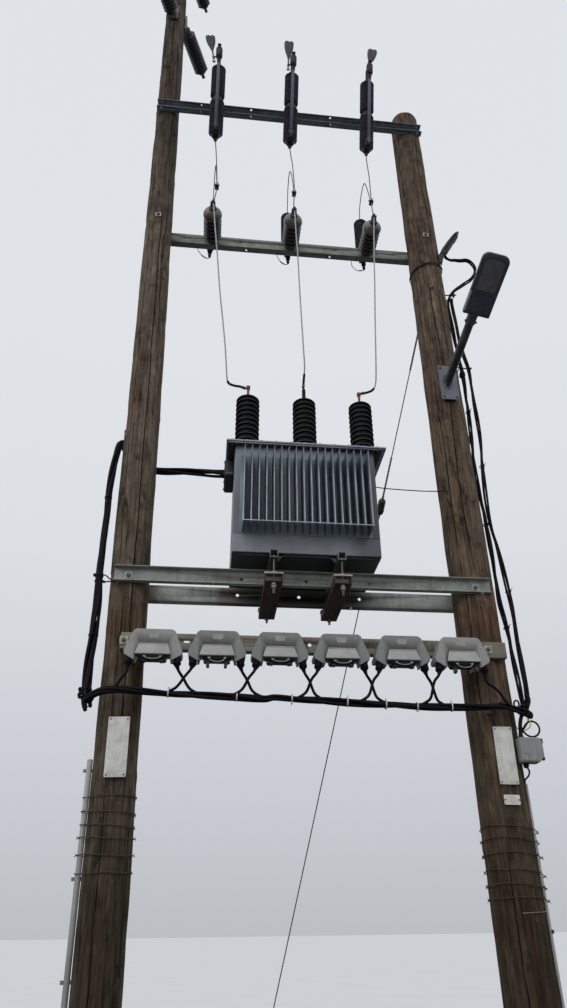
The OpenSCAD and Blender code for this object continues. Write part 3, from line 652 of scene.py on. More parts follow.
def timber(name, tones, green=0.0, low_green=0.0, high=0.0):
    """Weathered round timber. The mesh carries 'grain' (coordinates turned
    into the pole, metres) and 'mask' (check, knot, cut end)."""
    k = Mat(name, rough=0.85, spec=0.25)
    g = k.attr("grain")
    mk = k.node("SeparateColor")
    k.put(mk.inputs[0], k.attr("mask", "Color"))
    check, knot, end = mk.outputs
    # fibres a few centimetres wide, broken up by mottled weathering
    fine = k.noise(k.map(g, (170, 170, 5.0)), 1, 5, 0.62)
    mid = k.noise(k.map(g, (44, 44, 1.5), (3, 1, 0)), 1, 5, 0.6, 0.25)
    wide = k.noise(k.map(g, (11, 11, 0.8), (7, 2, 5)), 1, 4, 0.55, 0.4)
    blot = k.noise(k.map(g, (17, 17, 7), (2, 8, 3)), 1, 6, 0.66, 0.5)
    patch = k.noise(k.map(g, (3.2, 3.2, 1.1), (1, 9, 4)), 1, 5, 0.6, 0.8)
    f = k.math("ADD", k.math("ADD", k.math("MULTIPLY", fine, 0.24), k.math("MULTIPLY", mid, 0.30)), k.math("ADD", k.math("MULTIPLY", wide, 0.16), k.math("MULTIPLY", blot, 0.30)))
    d, m, l, xl = tones
    col = k.ramp(f, [(0.34, d), (0.45, m), (0.54, l), (0.63, xl)])
    # tan places where the grey skin has gone, and dark weathered patches
    tan = k.lift(patch, 0.50, 0.66)
    col = k.mix(k.math("MULTIPLY", tan, 0.6), col, k.mix(1.0, col, (214, 164, 124), "MULTIPLY"), "MIX")
    dark = k.lift(patch, 0.46, 0.32)
    col = k.mix(k.math("MULTIPLY", dark, 0.55), col, k.mix(1.0, col, (120, 112, 104), "MULTIPLY"))
    dk2 = k.math("MULTIPLY", k.lift(blot, 0.45, 0.34), k.lift(k.noise(k.map(g, (6, 6, 2.2), (9, 1, 2)), 1, 3), 0.42, 0.60))
    col = k.mix(k.math("MULTIPLY", dk2, 0.7), col, k.mix(1.0, col, (104, 92, 82), "MULTIPLY"))
    # thin dark drying checks that are too narrow to model
    hair = k.voronoi(k.map(g, (58, 58, 1.5), (2, 2, 2)), 1, "DISTANCE_TO_EDGE")
    hairm = k.math("MULTIPLY", k.lift(hair, 0.05, 0.0), k.lift(k.noise(k.map(g, (7, 7, 2.2)), 1, 3), 0.50, 0.64))
    col = k.mix(k.math("MULTIPLY", hairm, 0.7), col, (26, 21, 17))
    # the pole is darker towards its foot
    z = k.sep(g)[2]
    low = k.lift(z, 1.0, 3.5, 0.72, 0.0)
    col = k.mix(low, col, k.mix(1.0, col, (112, 108, 96), "MULTIPLY"))
    if high:
        col = k.mix(k.lift(z, 6.4, 8.2, 0.0, high), col, k.mix(1.0, col, (196, 200, 200), "MULTIPLY"))
    # green-grey algae and lichen, most of it low down
    if green or low_green:
        gm = k.math("MULTIPLY", k.lift(k.noise(k.map(g, (7, 7, 2.6), (5, 5, 5)), 1, 6, 0.68), 0.42, 0.64), k.lift(z, 5.5, 0.5, green, low_green))
        col = k.mix(gm, col, k.mix(1.0, col, (176, 202, 140), "MULTIPLY"))
    lich = k.math("MULTIPLY", k.lift(k.noise(k.map(g, (48, 48, 30), (1, 3, 8)), 1, 4, 0.6), 0.60, 0.70), k.lift(k.noise(k.map(g, (4, 4, 2.0), (7, 7, 1)), 1, 3), 0.50, 0.62))
    col = k.mix(k.math("MULTIPLY", lich, 0.45), col, (128, 132, 104))
    col = k.mix(k.math("MULTIPLY", knot, 0.75), col, (38, 28, 20))
    # end grain: rings and radial checks
    gs = k.sep(g)
    rr = k.math("SQRT", k.math("ADD", k.math("MULTIPLY", gs[0], gs[0]), k.math("MULTIPLY", gs[1], gs[1])))
    ring = k.math("SINE", k.math("ADD", k.math("MULTIPLY", rr, 1900.0), k.math("MULTIPLY", k.noise(g, 20, 3), 5.0)))
    endc = k.mix(k.lift(ring, -0.6, 0.9), (84, 72, 58), (132, 118, 98))
    col = k.mix(end, col, endc)
    col = k.mix(check, col, (18, 14, 11))
    k.color(col)
    k.rough(k.lift(fine, 0.3, 0.7, 0.95, 0.78))
    hgt = k.math("SUBTRACT", k.math("ADD", k.math("MULTIPLY", fine, 0.5), k.math("ADD", k.math("MULTIPLY", mid, 0.8), k.math("MULTIPLY", blot, 0.7))), k.math("MULTIPLY", hairm, 0.9))
    k.bump(hgt, 0.8, 0.006)
    return k.mat


def steel(name, tones, rust=0.2, streak=0.5, rough=0.55, metal=0.35, spots=0.0, rust_tone=(92, 56, 34), dirt_top=0.35, shade=None, patches=()):
    """Weathered galvanised or plain steel: zinc clouding, rain streaks, rust that starts at edges and bolts, dirt on
    what faces up, and optionally a stretch of painted shade."""
    k = Mat(name, rough=rough, metal=metal, spec=0.5)
    p = k.coord()
    a = k.noise(p, 9, 6, 0.62, 0.3)
    b = k.noise(k.map(p, (30, 30, 4)), 1, 4, 0.6)
    c = k.noise(p, 75, 3, 0.6)
    f = k.math("ADD", k.math("MULTIPLY", a, 0.5), k.math("ADD", k.math("MULTIPLY", b, streak * 0.5), k.math("MULTIPLY", c, 0.5 - streak * 0.25)))
    lo, mid, hi = tones
    col = k.ramp(f, [(0.33, lo), (0.5, mid), (0.66, hi)])
    r1 = k.noise(k.map(p, (5, 5, 3), (4, 7, 1)), 1, 7, 0.68, 0.5)
    r2 = k.noise(p, 130, 3, 0.7)
    rm = k.lift(k.math("ADD", k.math("MULTIPLY", r1, 0.8), k.math("MULTIPLY", r2, 0.2)), 0.66 - rust * 0.34, 0.78 - rust * 0.28)
    rc = k.ramp(r2, [(0.3, tuple(int(x * 0.5) for x in rust_tone)), (0.55, rust_tone), (0.75, tuple(min(255, int(x * 1.45)) for x in rust_tone))])
    col = k.mix(rm, col, rc)
    if spots:
        s = k.voronoi(k.map(p, (1, 1, 1), (3, 1, 2)), 55, "F1")
        sm = k.math("MULTIPLY", k.lift(s, 0.26, 0.12), k.lift(k.noise(p, 6, 3), 0.5, 0.62))
        col = k.mix(k.math("MULTIPLY", sm, spots), col, rc)
    px = k.sep(p)[0]
    if shade:
        # (x from, x to, soft edge, tone): a stretch darkened as painted shade, the shadow of what stands over the
        # member
        xa, xb, ed, tone = shade
        sm2 = k.math("MULTIPLY", k.lift(px, xa - ed, xa + ed), k.lift(px, xb + ed, xb - ed))
        col = k.mix(sm2, col, k.mix(1.0, col, tone, "MULTIPLY"))
    for xc, half, tone in patches:
        # old rust stain round a place along the member
        pm = k.lift(k.math("ADD", k.math("ABSOLUTE", k.math("SUBTRACT", px, xc)), k.math("MULTIPLY", k.math("SUBTRACT", k.noise(p, 16, 5, 0.65), 0.5), 0.12)), half, half * 0.35)
        col = k.mix(k.math("MULTIPLY", pm, 0.8), col, tone)
    up = k.sep(k.normal())[2]
    col = k.mix(k.math("MULTIPLY", k.lift(up, 0.55, 0.95), dirt_top), col, (74, 68, 58))
    e = k.node("NewGeometry").outputs["Pointiness"]
    col = k.mix(k.lift(e, 0.53, 0.62, 0.0, 0.45), col, hi)
    k.color(col)
    k.rough(k.math("ADD", k.lift(rm, 0, 1, rough, min(0.95, rough + 0.3)), k.math("MULTIPLY", k.math("SUBTRACT", c, 0.5), 0.25)))
    k.bump(k.math("ADD", k.math("MULTIPLY", r2, 0.5), k.math("MULTIPLY", k.math("MULTIPLY", rm, r1), 1.2)), 0.35, 0.0016)
    return k.mat


def paint(name, base, rough=0.42, dust=0.5, dark=0.0, rust=0.12, streak=0.5, coat=0.0, fade=None):
    """Old satin paint: clouded colour, rain streaks, dust on top, chips, and optionally a band of painted shade along
    one axis.
    """
    k = Mat(name, rough=rough, spec=0.5, coat=coat, coat_rough=0.25)
    p = k.coord()
    hi = tuple(min(255, int(x * 1.10)) for x in base)
    lo = tuple(int(x * 0.88) for x in base)
    a = k.noise(p, 4.5, 6, 0.6, 0.4)
    b = k.noise(k.map(p, (46, 46, 2.4)), 1, 5, 0.6, 0.2)
    f = k.math("ADD", k.math("MULTIPLY", a, 1 - streak * 0.6), k.math("MULTIPLY", b, streak * 0.6))
    col = k.ramp(f, [(0.33, lo), (0.5, base), (0.68, hi)])
    st = k.math("MULTIPLY", k.lift(b, 0.56, 0.72), streak)
    col = k.mix(k.math("MULTIPLY", st, 0.35), col, tuple(int(x * 0.62) for x in base))
    r1 = k.noise(k.map(p, (14, 14, 9), (2, 5, 8)), 1, 7, 0.7, 0.4)
    rm = k.lift(r1, 0.74 - rust * 0.4, 0.80 - rust * 0.35)
    col = k.mix(rm, col, k.ramp(k.noise(p, 160, 2), [(0.35, (58, 34, 22)), (0.65, (118, 72, 42))]))
    up = k.sep(k.normal())[2]
    dm = k.math("MULTIPLY", k.lift(up, 0.3, 0.9), k.math("MULTIPLY", k.noise(p, 16, 5, 0.6), dust * 1.4), clamp=True)
    col = k.mix(dm, col, (142, 138, 126))
    fine = k.noise(p, 320, 2, 0.5)
    if fade:
        # (axis, from, to, tone): painted shade that grows along one direction
        ax, f0, f1, tone = fade
        col = k.mix(k.lift(k.sep(p)[ax], f0, f1), col, k.mix(1.0, col, tone, "MULTIPLY"))
    k.color(col)
    k.rough(k.math("ADD", k.lift(rm, 0, 1, rough, 0.9), k.math("MULTIPLY", k.math("SUBTRACT", a, 0.5), 0.35)))
    k.bump(k.math("ADD", k.math("MULTIPLY", fine, 0.25), k.math("MULTIPLY", k.noise(p, 22, 3), 0.8)), 0.25, 0.0012)
    return k.mat


def plain(name, base, var=0.15, rough=0.5, metal=0.0, spec=0.5, dust=0.25, scale=30, bump=0.2, coat=0.0, dust_tone=(128, 122, 110), hollow_grime_and_shade=0.3, streak=0.0):
    """Plastic, rubber, glaze or bare metal with clouding, fine grain, grime and painted shade in hollows, and dust on
    what faces up."""
    k = Mat(name, rough=rough, metal=metal, spec=spec, coat=coat, coat_rough=0.12)
    p = k.coord()
    a = k.noise(p, scale, 5, 0.6, 0.2)
    s = k.noise(k.map(p, (40, 40, 3)), 1, 4)
    lo = tuple(max(0, int(x * (1 - var))) for x in base)
    hi = tuple(min(255, int(x * (1 + var))) for x in base)
    f = k.math("ADD", k.math("MULTIPLY", a, 1 - streak), k.math("MULTIPLY", s, streak))
    col = k.ramp(f, [(0.32, lo), (0.5, base), (0.68, hi)])
    up = k.sep(k.normal())[2]
    col = k.mix(k.math("MULTIPLY", k.lift(up, 0.35, 0.95), k.math("MULTIPLY", k.noise(p, 26, 4), dust * 1.5), clamp=True), col, dust_tone)
    # grime and painted shade: concave places (low pointiness) are darkened towards a third of the base colour
    if hollow_grime_and_shade:
        e = k.node("NewGeometry").outputs["Pointiness"]
        col = k.mix(k.lift(e, 0.49, 0.42, 0.0, hollow_grime_and_shade), col, tuple(int(x * 0.35) for x in base))
    k.color(col)
    k.rough(k.math("ADD", rough, k.math("MULTIPLY", k.math("SUBTRACT", a, 0.5), 0.3), clamp=True))
    k.bump(k.math("ADD", k.noise(p, 400, 2), k.math("MULTIPLY", a, 0.6)), bump, 0.0006)
    return k.mat


M = {}


def make_materials():
    M["timber_l"] = timber("timber_left", ((38, 32, 27), (83, 71, 61), (118, 104, 89), (156, 142, 124)), 0.12, 0.6, 0.85)
    M["timber_r"] = timber("timber_right", ((37, 29, 24), (82, 67, 56), (117, 99, 83), (157, 137, 114)), 0.15, 0.45)
    M["galv"] = steel("galvanised_beam", ((94, 98, 95), (132, 137, 132), (162, 167, 160)), 0.22, 0.6, 0.6, 0.2)
    M["galv_dark"] = steel("galvanised_dark", ((80, 86, 92), (110, 118, 128), (144, 153, 163)), 0.18, 0.5, 0.62, 0.2)
    M["galv_mid"] = steel("galvanised_middle_arm", ((85, 90, 83), (117, 122, 113), (148, 151, 142)), 0.25, 0.6, 0.6, 0.25)
    # rear beam: rust stain patches, and painted shade on the stretch under the tank
    M["galv_stain"] = steel("galvanised_rear_beam", ((96, 98, 94), (140, 144, 138), (188, 192, 186)), 0.34, 0.7, 0.65, 0.2, shade=(0.5, 1.42, 0.09, (78, 76, 74)), patches=((0.50, 0.07, (96, 70, 48)), (0.03, 0.05, (110, 86, 60))))
    M["galv_arm"] = steel("galvanised_stained", ((80, 78, 68), (113, 111, 98), (140, 137, 124)), 0.40, 0.5, 0.66, 0.15, 0.5, (98, 70, 46), patches=((0.41, 0.05, (112, 82, 52)), (1.62, 0.05, (104, 84, 58))))
    M["galv_light"] = steel("galvanised_fitting", ((104, 106, 103), (142, 144, 140), (176, 178, 172)), 0.12, 0.3, 0.5, 0.45)
    M["bolt"] = steel("bolt_steel", ((70, 68, 62), (108, 105, 96), (140, 136, 124)), 0.4, 0.2, 0.6, 0.4)
    M["rust"] = steel("rusty_steel", ((46, 40, 40), (66, 57, 57), (88, 74, 70)), 0.6, 0.4, 0.85, 0.05, 0, (72, 50, 40))
    # the tank's paint darkens towards its right end: painted shade
    M["tank"] = paint("tank_paint", (126, 134, 140), 0.42, 0.5, 0, 0.10, 0.45, fade=(0, 1.22, 1.34, (180, 184, 188)))
    M["lid"] = paint("lid_paint", (158, 166, 174), 0.42, 0.4, 0, 0.12, 0.45)
    M["runner"] = paint("runner_paint", (132, 138, 142), 0.5, 0.3, 0, 0.2, 0.3)
    # the fins' paint darkens towards their tops: painted shade under the lid's rim
    M["fin"] = paint("fin_paint", (138, 151, 162), 0.42, 0.35, 0, 0.08, 0.6, fade=(2, 3.95, 4.12, (196, 200, 204)))
    # a lighter copy of the fin paint for the fins' front lips: painted highlight, with painted shade towards the top
    M["fin_edge"] = paint("fin_edge_paint", (186, 194, 200), 0.42, 0.3, 0, 0.12, 0.3, fade=(2, 3.95, 4.12, (176, 180, 184)))
    # a darker copy of the tank paint for undersides and parts under the tank: painted shade
    M["underside"] = paint("tank_underside", (70, 74, 76), 0.55, 0.2, 0, 0.25, 0.3)
    M["black_paint"] = paint("cable_box_paint", (44, 46, 48), 0.5, 0.3, 0, 0.12, 0.4)
    M["seal"] = plain("lid_seal", (34, 33, 31), 0.2, 0.8, bump=0.4)
    M["bushing"] = plain("bushing_glaze", (7, 7, 10), 0.25, 0.5, 0, 0.22, 0.03, 25, 0.08, hollow_grime_and_shade=0.0)
    # pale bluish rim colour for the bushing sheds: painted highlight
    M["shed_edge"] = plain("shed_edge_glaze", (74, 79, 90), 0.14, 0.4, 0, 0.5, 0.1, 40, 0.1)
    M["polymer"] = plain("shed_polymer", (106, 106, 121), 0.2, 0.5, 0, 0.45, 0.3, 40, 0.25)
    M["polymer_brown"] = plain("shed_polymer_brown", (90, 86, 97), 0.2, 0.5, 0, 0.45, 0.25, 40, 0.25)
    M["porcelain"] = plain("grey_brown_glaze", (112, 105, 99), 0.16, 0.24, 0, 0.55, 0.3, 22, 0.1, 0.3)
    M["porcelain_dark"] = plain("dark_brown_glaze", (62, 56, 54), 0.18, 0.24, 0, 0.55, 0.3, 22, 0.1, 0.3)
    M["copper"] = plain("terminal_copper", (120, 80, 60), 0.28, 0.5, 0.6, 0.5, 0.1, 90, 0.3)
    M["brass"] = plain("brass", (150, 124, 72), 0.2, 0.4, 0.8, 0.5, 0.1, 90, 0.2)
    M["grey_tube"] = plain("fuse_tube_fibre", (92, 97, 112), 0.16, 0.5, 0, 0.4, 0.2, 60, 0.25, streak=0.6)
    M["cut_metal"] = steel("cutout_casting", ((30, 31, 32), (48, 49, 49), (74, 75, 73)), 0.2, 0.2, 0.55, 0.3)
    M["cut_bolt"] = steel("cutout_bolt", ((44, 44, 42), (70, 69, 65), (104, 102, 96)), 0.25, 0.2, 0.5, 0.45)
    M["white_metal"] = plain("contact_block", (224, 226, 226), 0.06, 0.4, 0.2, 0.5, 0.1, 60, 0.2)
    M["tube_head"] = plain("fuse_head", (40, 41, 44), 0.2, 0.5, 0.2, 0.5, 0.3, 40, 0.3)
    M["cap_metal"] = steel("insulator_cap", ((52, 53, 52), (78, 79, 77), (112, 112, 108)), 0.25, 0.2, 0.55, 0.35)
    M["galv_dark2"] = steel("galvanised_small", ((58, 60, 58), (84, 87, 84), (118, 121, 116)), 0.25, 0.3, 0.58, 0.35)
    M["clamp_metal"] = plain("clamp_aluminium", (168, 170, 172), 0.14, 0.38, 0.6, 0.5, 0.15, 80, 0.3)
    M["jumper_dark"] = steel("jumper_strand", ((74, 76, 80), (102, 104, 108), (132, 134, 138)), 0.05, 0.1, 0.5, 0.3)
    M["jumper_light"] = steel("jumper_strand_light", ((150, 152, 156), (178, 180, 184), (204, 206, 208)), 0.02, 0.1, 0.45, 0.25, 0, (120, 112, 100), 0.1)
    M["lead_light"] = plain("earth_lead", (186, 188, 190), 0.1, 0.5, 0.2, 0.5, 0.1, 60, 0.2)
    M["plate_grey"] = steel("lamp_plate", ((78, 86, 96), (98, 106, 117), (122, 130, 140)), 0.05, 0.3, 0.5, 0.3)
    M["arm_grey"] = steel("lamp_arm_paint", ((46, 49, 52), (64, 67, 70), (88, 91, 94)), 0.08, 0.4, 0.5, 0.25)
    M["diode"] = plain("diode", (100, 92, 92), 0.1, 0.35, 0, 0.5, 0.05, 60, 0.1)
    M["clamp_grey"] = steel("wedge_clamp", ((25, 27, 29), (39, 42, 45), (58, 62, 65)), 0.1, 0.3, 0.5, 0.3)
    M["strap"] = steel("strap", ((34, 26, 24), (52, 40, 38), (76, 58, 54)), 0.45, 0.2, 0.6, 0.3)
    M["green_wire"] = plain("green_wire", (52, 84, 74), 0.15, 0.5, 0, 0.4, 0.15, 60, 0.15)
    M["alu"] = plain("cast_aluminium", (156, 158, 158), 0.14, 0.45, 0.55, 0.5, 0.2, 80, 0.4)
    M["hood"] = plain("grey_hood", (118, 120, 118), 0.16, 0.55, 0.1, 0.45, 0.3, 40, 0.3)
    M["housing"] = plain("housing_plastic", (160, 160, 156), 0.05, 0.62, 0, 0.4, 0.35, 9, 0.3, hollow_grime_and_shade=0, streak=0.5)
    # a darker copy of the housing plastic, for the four middle hoods
    M["housing_b"] = plain("housing_plastic_darker", (139, 139, 137), 0.06, 0.64, 0, 0.4, 0.35, 9, 0.3, hollow_grime_and_shade=0, streak=0.5)
    M["panel"] = plain("carrier_cover", (172, 172, 168), 0.06, 0.55, 0, 0.4, 0.3, 14, 0.25, hollow_grime_and_shade=0)
    M["black_plastic"] = plain("black_plastic", (34, 34, 35), 0.25, 0.42, 0, 0.5, 0.2, 50, 0.25)
    M["boot"] = plain("rubber_boot", (28, 28, 33), 0.2, 0.8, 0, 0.2, 0.1, 50, 0.3)
    M["handle"] = plain("pull_handle", (172, 173, 170), 0.08, 0.4, 0.1, 0.5, 0.15, 50, 0.15, hollow_grime_and_shade=0)
    M["cable"] = plain("cable_sheath", (19, 19, 26), 0.25, 0.58, 0, 0.14, 0.03, 34, 0.2, dust_tone=(58, 58, 58))
    M["tie"] = plain("nylon_tie", (214, 214, 208), 0.06, 0.45, 0, 0.4, 0.1, 60, 0.1)
    M["earth_green"] = plain("green_sleeve", (112, 138, 52), 0.15, 0.5, 0, 0.4, 0.15, 60, 0.15)
    M["earth_yellow"] = plain("yellow_sleeve", (196, 180, 70), 0.12, 0.5, 0, 0.4, 0.15, 60, 0.15)
    M["lamp"] = plain("lamp_housing", (92, 95, 112), 0.10, 0.5, 0.2, 0.45, 0.3, 26, 0.3)
    M["lens"] = plain("lamp_lens", (124, 121, 130), 0.10, 0.3, 0, 0.5, 0.1, 20, 0.15)
    M["silver"] = plain("polished_strip", (206, 210, 214), 0.06, 0.3, 0.3, 0.5, 0.1, 60, 0.1)
    M["enamel"] = plate_enamel()
    M["box"] = plain("box_plastic", (146, 148, 147), 0.07, 0.5, 0, 0.45, 0.35, 16, 0.2, hollow_grime_and_shade=0, streak=0.5)
    M["wire"] = steel("galvanised_wire", ((48, 42, 36), (72, 64, 54), (98, 88, 76)), 0.5, 0.1, 0.7, 0.3)
    M["conduit"] = plain("conduit_grey", (172, 174, 170), 0.10, 0.55, 0.0, 0.4, 0.3, 12, 0.25, hollow_grime_and_shade=0.2, streak=0.6)
    M["rod"] = steel("hanging_bolts", ((104, 98, 96), (142, 134, 132), (178, 172, 168)), 0.10, 0.2, 0.5, 0.4)
    M["clamp_plate"] = steel("clamp_plates", ((116, 110, 100), (160, 154, 142), (196, 190, 178)), 0.3, 0.2, 0.6, 0.25)
    M["strand"] = steel("stay_strand", ((78, 80, 80), (112, 115, 114), (146, 148, 146)), 0.2, 0.1, 0.5, 0.5)


def plate_enamel():
    """Blank white enamel: chalky, a little yellowed, rust runs below the
    fixings and chips at the edges."""
    k = Mat("plate_enamel", rough=0.4, spec=0.5)
    p = k.coord()
    a = k.noise(p, 14, 6, 0.65, 0.4)
    s = k.noise(k.map(p, (90, 90, 5)), 1, 5, 0.6)
    col = k.ramp(a, [(0.32, (196, 194, 184)), (0.5, (222, 221, 214)), (0.68, (236, 236, 231))])
    col = k.mix(k.math("MULTIPLY", k.lift(s, 0.55, 0.75), 0.35), col, (150, 138, 116))
    e = k.voronoi(p, 46, "F1")
    ch = k.math("MULTIPLY", k.lift(e, 0.20, 0.07), k.lift(k.noise(p, 21, 4), 0.56, 0.64))
    col = k.mix(ch, col, (96, 58, 38))
    k.color(col)
    k.rough(k.lift(a, 0.3, 0.7, 0.32, 0.6))
    k.bump(k.math("SUBTRACT", k.noise(p, 60, 3), ch), 0.2, 0.0008)
    return k.mat


# ------------------------------------------------ camera, floor and light --
def camera():
    yaw, pitch, roll = 0.11746, 0.5253, -0.01442
    fw = Vector((sin(yaw) * cos(pitch), cos(yaw) * cos(pitch), sin(pitch)))
    rt = Vector((cos(yaw), -sin(yaw), 0))
    up = rt.cross(fw)
    c, s = cos(roll), sin(roll)
    rt2, up2 = rt * c + up * s, up * c - rt * s
    cam = bpy.data.cameras.new("camera")
    cam.sensor_fit = "VERTICAL"
    cam.sensor_height = 36.0
    cam.sensor_width = 36.0 * 567 / 1008
    cam.lens = 724.974 / 1008 * 36.0
    cam.shift_x, cam.shift_y = -12.444 / 1008, 11.167 / 1008
    cam.clip_start, cam.clip_end = 0.05, 2000
    o = bpy.data.objects.new("camera", cam)
    bpy.context.scene.collection.objects.link(o)
    m = Matrix((rt2, up2, -fw)).transposed().to_4x4()
    m.translation = Vector((0.45448, -4.19458, 1.5))
    o.matrix_world = m
    bpy.context.scene.camera = o


def stage():
    me = bpy.data.meshes.new("floor")
    r = 3000
    ring = [(r * cos(a * pi / 32), r * sin(a * pi / 32), -0.002) for a in range(64)]
    me.from_pydata(ring, [], [tuple(range(64))])
    o = bpy.data.objects.new("floor", me)
    bpy.context.scene.collection.objects.link(o)
    k = Mat("floor", rough=0.9, spec=0.1)
    p = k.coord()
    k.color(k.ramp(k.noise(p, 0.6, 4), [(0.3, (218, 219, 220)), (0.7, (221, 222, 223))]))
    me.materials.append(k.mat)
    o.visible_diffuse = False
    o.visible_glossy = False

    w = bpy.data.worlds.new("world")
    bpy.context.scene.world = w
    w.use_nodes = True
    t = w.node_tree
    bg = t.nodes["Background"]
    co = t.nodes.new("ShaderNodeTexCoord")
    sp = t.nodes.new("ShaderNodeSeparateXYZ")
    t.links.new(co.outputs["Generated"], sp.inputs[0])
    # soft overcast: bright above, a little less at the horizon, dim below it
    ramp = t.nodes.new("ShaderNodeValToRGB")
    mr = t.nodes.new("ShaderNodeMapRange")
    mr.inputs["From Min"].default_value, mr.inputs["From Max"].default_value = -1, 1
    t.links.new(sp.outputs[2], mr.inputs["Value"])
    t.links.new(mr.outputs[0], ramp.inputs[0])
    e = ramp.color_ramp.elements
    e[0].position, e[0].color = 0.0, (0.07, 0.07, 0.068, 1)
    e[1].position, e[1].color = 0.485, (0.10, 0.10, 0.098, 1)
    for pos, c in ((0.4985, (0.50, 0.515, 0.545, 1)), (0.574, (0.578, 0.597, 0.638, 1)), (0.727, (0.716, 0.738, 0.776, 1)), (0.835, (0.745, 0.768, 0.806, 1)), (1.0, (0.74, 0.762, 0.805, 1))):
        q = e.new(pos)
        q.color = c
    t.links.new(ramp.outputs[0], bg.inputs["Color"])
    bg.inputs["Strength"].default_value = 1.0
    for name, energy, angle, rot, col in (
        ("key", 0.55, 60, (52, 0, -38), (1.0, 0.99, 0.97)),
        ("fill", 0.30, 70, (86, 0, 14), (0.97, 0.98, 1.0)),
    ):
        s = bpy.data.lights.new(name, "SUN")
        s.energy, s.angle, s.color = energy, rad(angle), col
        so = bpy.data.objects.new(name, s)
        so.rotation_euler = [rad(a) for a in rot]
        bpy.context.scene.collection.objects.link(so)
    v = bpy.context.scene.view_settings
    v.view_transform = "Standard"
    v.look = "None"
    v.exposure, v.gamma = 0.0, 1.0


# ------------------------------------------------------------------- poles --
LEAN = math.tan(rad(1.592))
RX = 2100.0
TOP_Z, MID_Z, DECK_Z, ARM_Z = 8210, 6680, 3347, 2925


def lx(z):
    return -LEAN * z


def left_r(z):
    return 125 - z * 27 / 11650


def right_r(z):
    return 143 - z * 15 / 8600


